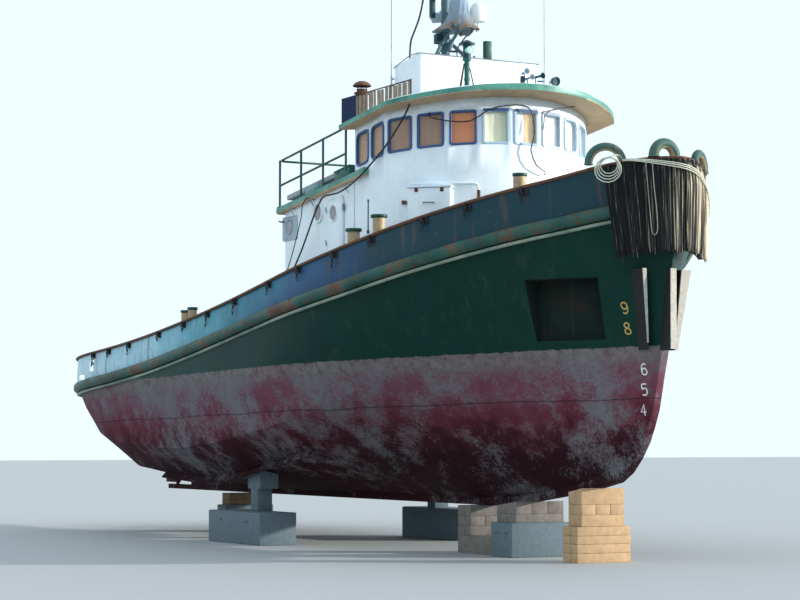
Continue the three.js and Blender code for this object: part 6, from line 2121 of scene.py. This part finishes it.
def light_post():
    """The post on the roof with its flange, and two rusty struts that lean on it."""
    x, y, top = LIGHT["x"], LIGHT["y"], LIGHT["top"]
    low = roof_top(x, y) - 0.004
    mesh, rusty = bmesh.new(), bmesh.new()
    profile = [
        (0.0, top + 0.02), (0.071, top + 0.02), (0.075, top + 0.016), (0.075, top - 0.016),
        (0.07, top - 0.02), (0.05, top - 0.024), (0.045, top - 0.04), (0.045, low + 0.34),
        (0.052, low + 0.33), (0.052, low + 0.29), (0.045, low + 0.28), (0.045, low + 0.03),
        (0.07, low + 0.012), (0.072, low), (0.0, low),
    ]
    add_turned(mesh, profile, (x, y, 0), 24)
    add_rod(rusty, (x, -0.79, roof_top(x, -0.79)), (x, -0.685, top - 0.07), 0.026, 10, 0.012)
    add_rod(rusty, (x + 0.01, -0.455, roof_top(x, -0.455)), (x, -0.575, top - 0.14), 0.015, 10, 0.01)
    finished(mesh, "light_pole", GREEN_PAINT, stands_for=["searchlight_post"])
    finished(rusty, "light_pole_struts", RAIL_RUST)


def lamp():
    """The lamp on its post: a dark body with a wide cap, and a pale lens with its ribbed bezel."""
    x, y, foot = LIGHT["x"], LIGHT["y"], LIGHT["top"] + 0.0204
    body = bmesh.new()
    profile = [
        (0.0, 0.315), (0.03, 0.308), (0.06, 0.29), (0.125, 0.262), (0.138, 0.256), (0.14, 0.248),
        (0.136, 0.232), (0.072, 0.229), (0.07, 0.21), (0.066, 0.19), (0.066, 0.05), (0.07, 0.03), (0.07, 0.0),
        (0.0, 0.0),
    ]
    add_turned(body, profile, (x, y, foot), 32)
    lens = bmesh.new()
    place = pointing((x, y, foot + 0.13), (1, 0, 0))
    snout = [
        (0.0, 0.112), (0.03, 0.11), (0.05, 0.104), (0.054, 0.108), (0.06, 0.114), (0.06, 0.1), (0.056, 0.096),
        (0.056, 0.084), (0.06, 0.08), (0.06, 0.03), (0.0, 0.03),
    ]
    add_spun(lens, snout, place, 28)
    finished(body, "lamp_body", BLACK_TEAL, "searchlight", stands_for=["searchlight"])
    finished(lens, "lamp_lens", PALE_LENS, "searchlight")


def roof_fittings():
    """Whip aerials beside the casing, a green box on it, and horns and a floodlight on the roof's fore
    edge."""
    whips, green, dark, pale = bmesh.new(), bmesh.new(), bmesh.new(), bmesh.new()
    for x, y, low in ((3.755, -1.245, 7.98), (4.7, 1.29, 8.0)):
        add_rod(whips, (x, y, low), (x, y, low + 0.22), 0.017, 12)
        add_rod(whips, (x, y, low + 0.22), (x, y, 10.6), 0.009, 8, 0.005)
        inner = math.copysign(TRUNK["half"] - 0.01, y)
        for z in (low + 0.05, low + 0.17):
            add_rod(dark, (min(x, TRUNK["fore"] - 0.02), inner, z), (x, y, z), 0.012, 8)
    add_box(green, (4.54, 0.13, 8.47), (4.63, 0.265, 8.8), bevel=0.012)
    add_rod(green, (4.5, -0.02, 8.47), (4.5, -0.02, 8.54), 0.016, 12)
    add_box(dark, (4.47, 0.42, 8.47), (4.6, 0.66, 8.49), bevel=0.004)
    roof = roof_top(6.2, 0.0)
    add_box(dark, (6.12, -0.16, roof - 0.01), (6.26, 0.34, roof + 0.02), bevel=0.008)
    add_box(dark, (6.17, -0.12, roof), (6.23, -0.05, 7.93), bevel=0.01)
    horn = [
        (0.0, 0.0), (0.022, 0.0), (0.022, 0.07), (0.016, 0.08), (0.018, 0.13), (0.028, 0.18), (0.05, 0.215),
        (0.053, 0.22), (0.048, 0.218), (0.024, 0.18), (0.0, 0.15),
    ]
    for y, z, turn in ((0.03, 7.9, 0.0), (0.19, 7.94, 0.25), (-0.03, 7.99, -0.2)):
        add_spun(
            pale if y < 0.1 else dark, horn, pointing((6.1, y, z), (math.cos(turn), math.sin(turn), 0.04)), 24
        )
        add_rod(dark, (6.16, y, roof), (6.16, y, z), 0.01, 8)
    add_box(dark, (6.14, 0.2, roof), (6.26, 0.33, roof + 0.07), 0.3, 0.012)
    roof = roof_top(6.12, 0.57)
    add_rod(dark, (6.12, 0.57, roof - 0.01), (6.12, 0.57, roof + 0.12), 0.014, 10)
    flood = [
        (0.0, 0.0), (0.035, 0.0), (0.06, 0.03), (0.075, 0.08), (0.078, 0.12), (0.072, 0.12), (0.066, 0.1),
        (0.0, 0.096),
    ]
    add_spun(dark, flood, pointing((6.08, 0.57, roof + 0.19), (0.95, 0.1, -0.15)), 24)
    fork = ((0.5, 0.18), (0.5, 0.1), (0.64, 0.1), (0.64, 0.18))
    add_pipe(dark, [(6.12, y, roof + up) for y, up in fork], 0.008, 8)
    finished(whips, "whip_aerials", PALE_GREY)
    finished(green, "casing_boxes", GREEN_PAINT)
    finished(dark, "roof_brackets", BLACK_TEAL)
    finished(pale, "roof_horns", PALE_GREY)


CABLES = (
    ("side_cable", 0.03, "medium", [
        (5.66, -1.93, 7.41), (5.6, -1.94, 7.31), (5.36, -1.97, 7.08), (5.0, -2.04, 6.76),
        (4.47, -2.12, 6.43), (4.08, -2.155, 6.26), (3.8, -2.17, 6.175), (3.5, -2.175, 6.13),
        (3.1, -2.18, 6.13), (2.95, -2.18, 6.1), (2.85, -2.18, 6.03), (2.67, -2.18, 5.866),
        (2.473, -2.18, 5.642), (2.143, -2.18, 5.256), (1.872, -2.2, 4.95), (1.66, -2.26, 4.6),
        (1.54, -2.34, 4.25), (1.48, -2.42, 3.94),
    ]),
    ("deck_cable", 0.018, "limp", [
        (2.32, -2.125, 6.17), (2.269, -2.17, 6.14), (2.169, -2.18, 6.05), (2.11, -2.18, 5.828),
        (1.938, -2.18, 5.51), (1.768, -2.2, 5.165), (1.666, -2.24, 4.9), (1.56, -2.3, 4.5),
        (1.5, -2.34, 4.1), (1.48, -2.38, 3.93),
    ]),
    ("window_cable", 0.022, "medium", [
        (5.6, -1.52, 7.3), (5.668, -1.552, 7.211), (5.865, -1.304, 7.137), (6.039, -1.005, 7.135),
        (6.135, -0.776, 7.288), (6.195, -0.581, 7.377), (6.254, -0.27, 7.426), (6.275, -0.027, 7.4),
        (6.28, 0.07, 7.231), (6.28, 0.089, 6.949), (6.28, 0.02, 6.693), (6.276, 0.127, 6.45),
        (6.25, 0.314, 6.347), (6.19, 0.33, 6.3),
    ]),
    ("brim_cable", 0.016, "limp", [
        (6.31, 0.24, 7.04), (6.308, 0.26, 7.17), (6.303, 0.284, 7.292), (6.279, 0.438, 7.39),
        (6.2, 0.72, 7.46), (6.087, 1.019, 7.52),
    ]),
    ("mast_cable", 0.034, "medium", [
        (3.9, -0.68, 10.13), (3.9, -0.675, 9.95), (3.9, -0.68, 9.75), (3.9, -0.698, 9.56),
        (3.9, -0.735, 9.38), (3.9, -0.786, 9.2), (3.9, -0.87, 8.99), (3.9, -0.935, 8.83),
        (3.9, -0.957, 8.62), (3.9, -0.96, 8.39),
    ]),
    ("box_cable", 0.014, "limp", [
        (3.91, -0.4, 8.82), (3.93, -0.4, 8.72), (3.98, -0.39, 8.6), (4.04, -0.34, 8.56),
        (4.05, -0.27, 8.62), (4.0, -0.22, 8.72), (3.98, -0.2, 8.82), (3.98, -0.19, 8.92),
    ]),
)  # columns: name, diameter, stiffness, the way that it runs


def cables():
    """The cables that show on the house, the roof and the mast."""
    for name, diameter, stiffness, way in CABLES:
        steps = 2 if len(way) > 12 else 4
        add_cord(name, smooth_path(way, steps), diameter, BLACK_CABLE)


RAIL_EYES = (-5.72, -4.83, -3.73, -2.17, -0.95, 0.17, 1.37, 2.79, 3.9, 4.96, 5.9, 7.03, 7.82, 8.72)


def add_ring(mesh, place, radius, tube, sides=8, turns=18, squeeze=1.0):
    """Adds a round ring, or an oval one, in a place's own plane."""

    def at(u, v):
        a, b = math.tau * (round(u * turns) % turns) / turns, math.tau * (round(v * sides) % sides) / sides
        reach = radius + tube * math.cos(b)
        return place @ Vector((math.cos(a) * reach * squeeze, math.sin(a) * reach, tube * math.sin(b)))

    merge_into(mesh, closed(draped(turns, sides, at), 1e-5))


def rail_eyes():
    """Lugs under the rail for the side fenders' chains, each with its ring and a few rusted links."""
    upright = Matrix.Rotation(math.pi / 2, 4, "X")
    mesh = bmesh.new()
    for _, side in SIDES:
        for x in RAIL_EYES:
            y = half_breadth("rail", x) + BULWARK["knuckle_out"] * 0.2
            slope = math.atan2(half_breadth("rail", x + 0.1) - half_breadth("rail", x - 0.1), 0.2)
            z = height_at("rail", x) - 0.075
            turn = side * slope
            low, high = sorted((side * (y - 0.03), side * (y + 0.075)))
            add_box(mesh, (x - 0.011, low, z - 0.05), (x + 0.011, high, z + 0.045), turn, 0.004)
            low, high = sorted((side * (y - 0.02), side * (y + 0.012)))
            add_box(mesh, (x - 0.07, low, z - 0.07), (x + 0.07, high, z + 0.06), turn, 0.005)
            centre = Vector((x, side * (y + 0.055), z - 0.05))
            swing = Matrix.Rotation(dice.uniform(-0.35, 0.35), 4, "X")
            add_ring(mesh, Matrix.Translation(centre) @ swing @ upright, 0.045, 0.011)
            links = dice.choice((1, 2, 3))
            for k in range(links):
                spot = centre + Vector((dice.uniform(-0.012, 0.012), side * 0.004 * k, -0.06 - 0.052 * k))
                quarter = Matrix.Rotation(math.pi / 2 * (k % 2), 4, "Z") @ upright
                add_ring(mesh, Matrix.Translation(spot) @ quarter, 0.03, 0.0075, 6, 14, 0.62)
    for _, side in SIDES:
        x = 5.78
        y = side * (half_breadth("rail", x) - 0.02)
        foot = height_at("rail", x) + CAP["height"] - 0.004
        add_rod(mesh, (x, y, foot), (x, y, foot + 0.52), 0.011, 10)
        add_rod(mesh, (x, y, foot), (x, y, foot + 0.05), 0.024, 12)
        add_rod(mesh, (x, y, foot + 0.52), (x, y, foot + 0.55), 0.017, 10)
    finished(mesh, "rail_eyes_and_chains", BLACK_STEEL)


# Stern gear

SHAFT_Z = 1.47
PROPELLER = {"x": -8.13, "radius": 0.54, "blades": 4}
RUDDER = {"x": -8.64, "fore": -8.5, "aft": -9.3, "bottom": 0.96, "top": 2.08, "half": 0.045}


def propeller():
    """Four twisted blades on a hub with its nut, and the tail shaft."""
    x, blades = PROPELLER["x"], PROPELLER["blades"]
    mesh = bmesh.new()
    hub = [
        (0.0, 0.2), (0.045, 0.198), (0.065, 0.18), (0.065, 0.13), (0.1, 0.126), (0.122, 0.1), (0.13, 0.05),
        (0.13, -0.06), (0.118, -0.1), (0.105, -0.11), (0.05, -0.112), (0.05, -0.88), (0.0, -0.88),
    ]
    add_spun(mesh, hub, pointing((x, 0, SHAFT_Z), (-1, 0, 0)), 36)
    chords = (
        (0.09, 0.1), (0.16, 0.145), (0.24, 0.178), (0.33, 0.19), (0.42, 0.178), (0.48, 0.145), (0.52, 0.09),
        (0.538, 0.03)
    )
    section = [
        (1, 0), (0.75, 0.6), (0.3, 0.95), (-0.3, 1), (-0.75, 0.7), (-1, 0), (-0.75, -0.45), (-0.3, -0.6),
        (0.3, -0.6), (0.75, -0.4),
    ]
    for k in range(blades):
        turn = Matrix.Rotation(math.tau * k / blades + math.pi / 4, 4, "X")
        loops = []
        for radius, half in chords:
            pitch = 1.05 - 0.5 * (0.33 - radius)
            thick = 0.019 - 0.024 * radius
            along = Vector((math.cos(pitch), math.sin(pitch), 0))
            across = Vector((-along.y, along.x, 0))
            skew = 0.02 * (radius / 0.54) ** 2
            ring = [
                along * (a * half + skew) + across * b * thick + Vector((0, 0, radius)) for a, b in section
            ]
            loops.append([turn @ point + Vector((x, 0, SHAFT_Z)) for point in ring])
        add_skin(mesh, loops)
    finished(
        mesh, "propeller_wheel", BRONZE, "propeller", sharp=40, stands_for=["propeller"]
    )


def rudder():
    """A faired rudder blade with two ribs, its stock and its pintle."""
    r = RUDDER
    mesh = bmesh.new()
    chord = r["fore"] - r["aft"]
    shares = (0.0, 0.02, 0.06, 0.14, 0.25, 0.45, 0.7, 0.9, 1.0)
    halves = (0.0, 0.42, 0.72, 0.95, 1.0, 0.8, 0.5, 0.3, 0.24)
    section = [(r["fore"] - s * chord, h * r["half"]) for s, h in zip(shares, halves)]
    outline = section + [(x, -y) for x, y in reversed(section[1:])]
    levels = [(r["bottom"], 0.85), (r["bottom"] + 0.012, 1.0)]
    for rib in (1.32, 1.72):
        levels += [(rib - 0.02, 1.0), (rib - 0.014, 1.12), (rib + 0.014, 1.12), (rib + 0.02, 1.0)]
    levels += [(r["top"] - 0.012, 1.0), (r["top"], 0.85)]
    loops = []
    for z, swell in levels:
        if swell > 1.0:  # a rib stands proud of the plating
            loops.append([Vector((x, y * 0.9 + math.copysign(0.0045, y), z)) for x, y in outline])
        else:
            loops.append([Vector((x, y * swell, z)) for x, y in outline])
    add_skin(mesh, loops)
    add_rod(mesh, (r["x"], 0, 0.9205), (r["x"], 0, r["bottom"] + 0.02), 0.04, 24)
    add_rod(mesh, (r["x"], 0, r["top"] - 0.02), (r["x"], 0, 2.3), 0.055, 24)
    finished(mesh, "rudder_blade", HULL_PAINT, "rudder", sharp=40, stands_for=["rudder"])


# Blocks under the keel and the bilges

FOREFOOT = ((5.7, 0.8), (7.31, 1.0), (8.2, 1.12), (8.87, 1.25))


def keel_bottom(x):
    """Height of the keel's underside over the blocks."""
    if x <= FOREFOOT[0][0]:
        return FOREFOOT[0][1]
    for (x0, z0), (x1, z1) in zip(FOREFOOT, FOREFOOT[1:]):
        if x <= x1:
            return z0 + (z1 - z0) * (x - x0) / (x1 - x0)
    return FOREFOOT[-1][1]


def add_timber(mesh, x0, x1, y0, y1, low, high, under_keel=False):
    """Adds one squared timber with sawn, slightly worn edges; its top follows the keel where it carries
    it."""
    made = add_box(mesh, (x0, y0, low), (x1, y1, high))
    if under_keel:
        for vertex in made:
            if vertex.co.z > (low + high) / 2:
                vertex.co.z = keel_bottom(vertex.co.x) - 0.0004
    ease_edges(mesh, made, 0.008)


def add_stack(mesh, x0, x1, y0, y1, low, levels, gap=0.006):
    """Adds crossed layers of timber up to the keel; levels are the layers' tops, the last one being the
    keel."""
    for i, high in enumerate(levels):
        last = i == len(levels) - 1
        count = 2 if i % 2 == 0 else 3
        for k in range(count):
            if i % 2 == 0:
                a, b = x0 + (x1 - x0) * k / count, x0 + (x1 - x0) * (k + 1) / count
                add_timber(mesh, a + gap / 2, b - gap / 2, y0, y1, low, high, last)
            else:
                a, b = y0 + (y1 - y0) * k / count, y0 + (y1 - y0) * (k + 1) / count
                add_timber(mesh, x0, x1, a + gap / 2, b - gap / 2, low, high, last)
        low = high + 0.001


def add_casting(mesh, x0, x1, y0, y1, low, high):
    """Adds a cast block with chamfered edges and two lifting staples on each side."""
    made = add_box(mesh, (x0, y0, low), (x1, y1, high))
    ease_edges(mesh, made, 0.022)
    for y in (y0, y1):
        out = math.copysign(0.003, y - (y0 + y1) / 2)
        staple = ((-0.06, -1, 0.14), (-0.04, 4, 0.17), (0.04, 4, 0.17), (0.06, -1, 0.14))
        for share in (0.25, 0.75):
            x = x0 + (x1 - x0) * share
            add_pipe(
                mesh, [(x + along, y + out * proud, high - down) for along, proud, down in staple], 0.009, 8
            )


def keel_blocks():
    """Cast blocks under the keel with crossed timber on them, and a crib of timbers beside the middle one."""
    places = (
        ("keel_block_1", -5.0, 0.22, 0.55, (0.67, 0.8), CONCRETE_IN_SHADE, TIMBER),
        ("keel_block_2", 6.25, 0.33, 0.56, (0.7, 0.86), CONCRETE_IN_SHADE, GREY_TIMBER),
        # The forward block's timber is pale as painted sunlight.
        ("keel_block_3", 8.2, 0.22, 0.5, (0.74, 0.9, 1.12), SUNLIT_TIMBER, SUNLIT_TIMBER),
    )
    for name, x, half_long, half_wide, levels, casting, timber in places:
        base, cap = bmesh.new(), bmesh.new()
        if name == "keel_block_3":
            add_stack_of_planks(base, x, half_long, half_wide)
        else:
            add_casting(base, x - half_long, x + half_long, -half_wide, half_wide, 0.0, 0.56)
        across = half_wide - 0.1
        add_stack(cap, x - half_long + 0.03, x + half_long - 0.03, -across, across, 0.561, levels)
        finished(base, f"{name}_base", casting, stands_for=[name])
        if name == "keel_block_2":
            for y0, y1 in ((-0.42, -0.15), (-0.13, 0.13), (0.15, 0.42)):
                add_timber(cap, 4.6, 5.918, y0, y1, 0.0, 0.298)
            add_stack(cap, 4.6, 5.04, -0.42, 0.42, 0.3, (0.46, 0.62, 0.8))
        finished(cap, f"{name}_timbers", timber)


def add_stack_of_planks(mesh, x, half_long, half_wide):
    """Adds a base laid up of thick planks, one layer on another."""
    low = 0.0
    for i, high in enumerate((0.15, 0.29, 0.42, 0.56)):
        y0, y1 = -half_wide + 0.008, half_wide - (0.008 if i % 2 else 0.0)
        add_timber(mesh, x - half_long + 0.008, x - 0.004, y0, y1, low, high - 0.002)
        add_timber(mesh, x + 0.004, x + half_long - 0.008, y0, y1, low, high - 0.002)
        low = high


BILGE = {
    "x": -0.15, "y": 2.08, "half_long": 1.15, "half_wide": 0.37, "top": 0.59, "post": 1.88, "half_post": 0.15
}
BILGE_CAP = {"length": 0.52, "inner": 1.66, "outer": 2.035, "low": 1.0, "top": 1.6}


def bilge_supports(skin):
    """A long cast block on each side, and on it a post whose cap is cut to the hull."""
    b, c = BILGE, BILGE_CAP
    for name, side in SIDES:
        base, post = bmesh.new(), bmesh.new()
        y0, y1 = sorted((side * (b["y"] - b["half_wide"]), side * (b["y"] + b["half_wide"])))
        add_casting(base, b["x"] - b["half_long"], b["x"] + b["half_long"], y0, y1, 0.0, b["top"])
        p = b["half_post"]
        y0, y1 = sorted((side * (b["post"] - p), side * (b["post"] + p)))
        add_timber(post, b["x"] - p, b["x"] + p, y0, y1, b["top"] + 0.001, c["low"])
        y0, y1 = sorted((side * c["inner"], side * c["outer"]))
        loops = []
        count = 8
        for k in range(count + 1):
            y = y0 + (y1 - y0) * k / count
            row = []
            for x in (b["x"] - c["length"] / 2, b["x"] + c["length"] / 2):
                spot = skin.ray_cast(Vector((x + SHIFT, y, 0.6)), Vector((0, 0, 1)))[0]
                row.append(min(c["top"], spot.z - 0.001) if spot else c["top"])
            x0, x1 = b["x"] - c["length"] / 2, b["x"] + c["length"] / 2
            low = c["low"] + 0.001
            loops.append(
                [Vector((x0, y, low)), Vector((x1, y, low)), Vector((x1, y, row[1])), Vector((x0, y, row[0]))]
            )
        add_skin(post, loops)
        finished(
            base, f"bilge_block_{name}", CONCRETE_IN_SHADE, stands_for=[f"bilge_support_{name}"]
        )
        finished(post, f"bilge_post_{name}", CONCRETE_IN_SHADE)


# Camera, light and floor
CAMERA = {"at": (36.766, -18.999, 1.9), "azimuth": 61.5, "elevation": 3.6745, "lens": 98.1}


def camera_and_light():
    """The photograph's viewpoint, a low sun from the port bow, a pale sky and a pale floor."""
    camera = bpy.data.cameras.new("camera")
    camera.lens = CAMERA["lens"]
    camera.sensor_width = 36
    camera.clip_end = 500
    holder = bpy.data.objects.new("camera", camera)
    holder.location = Vector(CAMERA["at"]) + Vector((SHIFT, 0, 0))
    holder.rotation_euler = (math.radians(90 + CAMERA["elevation"]), 0, math.radians(CAMERA["azimuth"]))
    bpy.context.scene.collection.objects.link(holder)
    bpy.context.scene.camera = holder

    sun = bpy.data.lights.new("sun", "SUN")
    sun.energy = 5.0
    sun.angle = math.radians(2)
    sun.color = (1.0, 0.96, 0.9)
    lamp = bpy.data.objects.new("sun", sun)
    towards = Vector((0.53, 0.85, 0.22))
    lamp.rotation_euler = towards.to_track_quat("Z", "Y").to_euler()
    bpy.context.scene.collection.objects.link(lamp)

    world = bpy.data.worlds.new("sky")
    world.use_nodes = True
    back = world.node_tree.nodes["Background"]
    back.inputs["Color"].default_value = srgb("#dfeffb")
    back.inputs["Strength"].default_value = 1.2
    bpy.context.scene.world = world

    floor = bmesh.new()
    bmesh.ops.create_grid(floor, x_segments=1, y_segments=1, size=160)
    data = bpy.data.meshes.new("floor")
    floor.to_mesh(data)
    floor.free()
    data.materials.append(plain_finish("pale_floor", "#a9acac", 0.9, scale=3, depth=0.05, spread=0.02))
    ground = bpy.data.objects.new("floor", data)
    bpy.context.scene.collection.objects.link(ground)
    bpy.context.scene.view_settings.view_transform = "Standard"


camera_and_light()
hull_skin = BVHTree.FromObject(hull_plating(), bpy.context.evaluated_depsgraph_get())
guard()
sheer_moulding()
cap_rail()
bulwark()
wheelhouse_walls()
wheelhouse_windows()
wheelhouse_roof()
roof_casing()
boat_deck()
railing()
raft_rack()
float_under_rack()
exhaust_stack()
dodger()
bow_fender()
bow_ropes()
stem_fins()
bow_chocks()
draft_marks(hull_skin)
deckhouse_walls()
doors()
side_fittings()
locker()
deck_box()
bitts()
bitt_rope()
capstan()
skylight()
steering_hatch()
mast()
mast_fittings()
radar_cover()
radar_scanner()
light_post()
lamp()
roof_fittings()
cables()
rail_eyes()
propeller()
rudder()
keel_blocks()
bilge_supports(hull_skin)
paint(HULL_PAINT, "keel_skeg", "bilge_keel_starboard", "bilge_keel_port")
paint(GREY_BOARDS, "wheelhouse_floor")
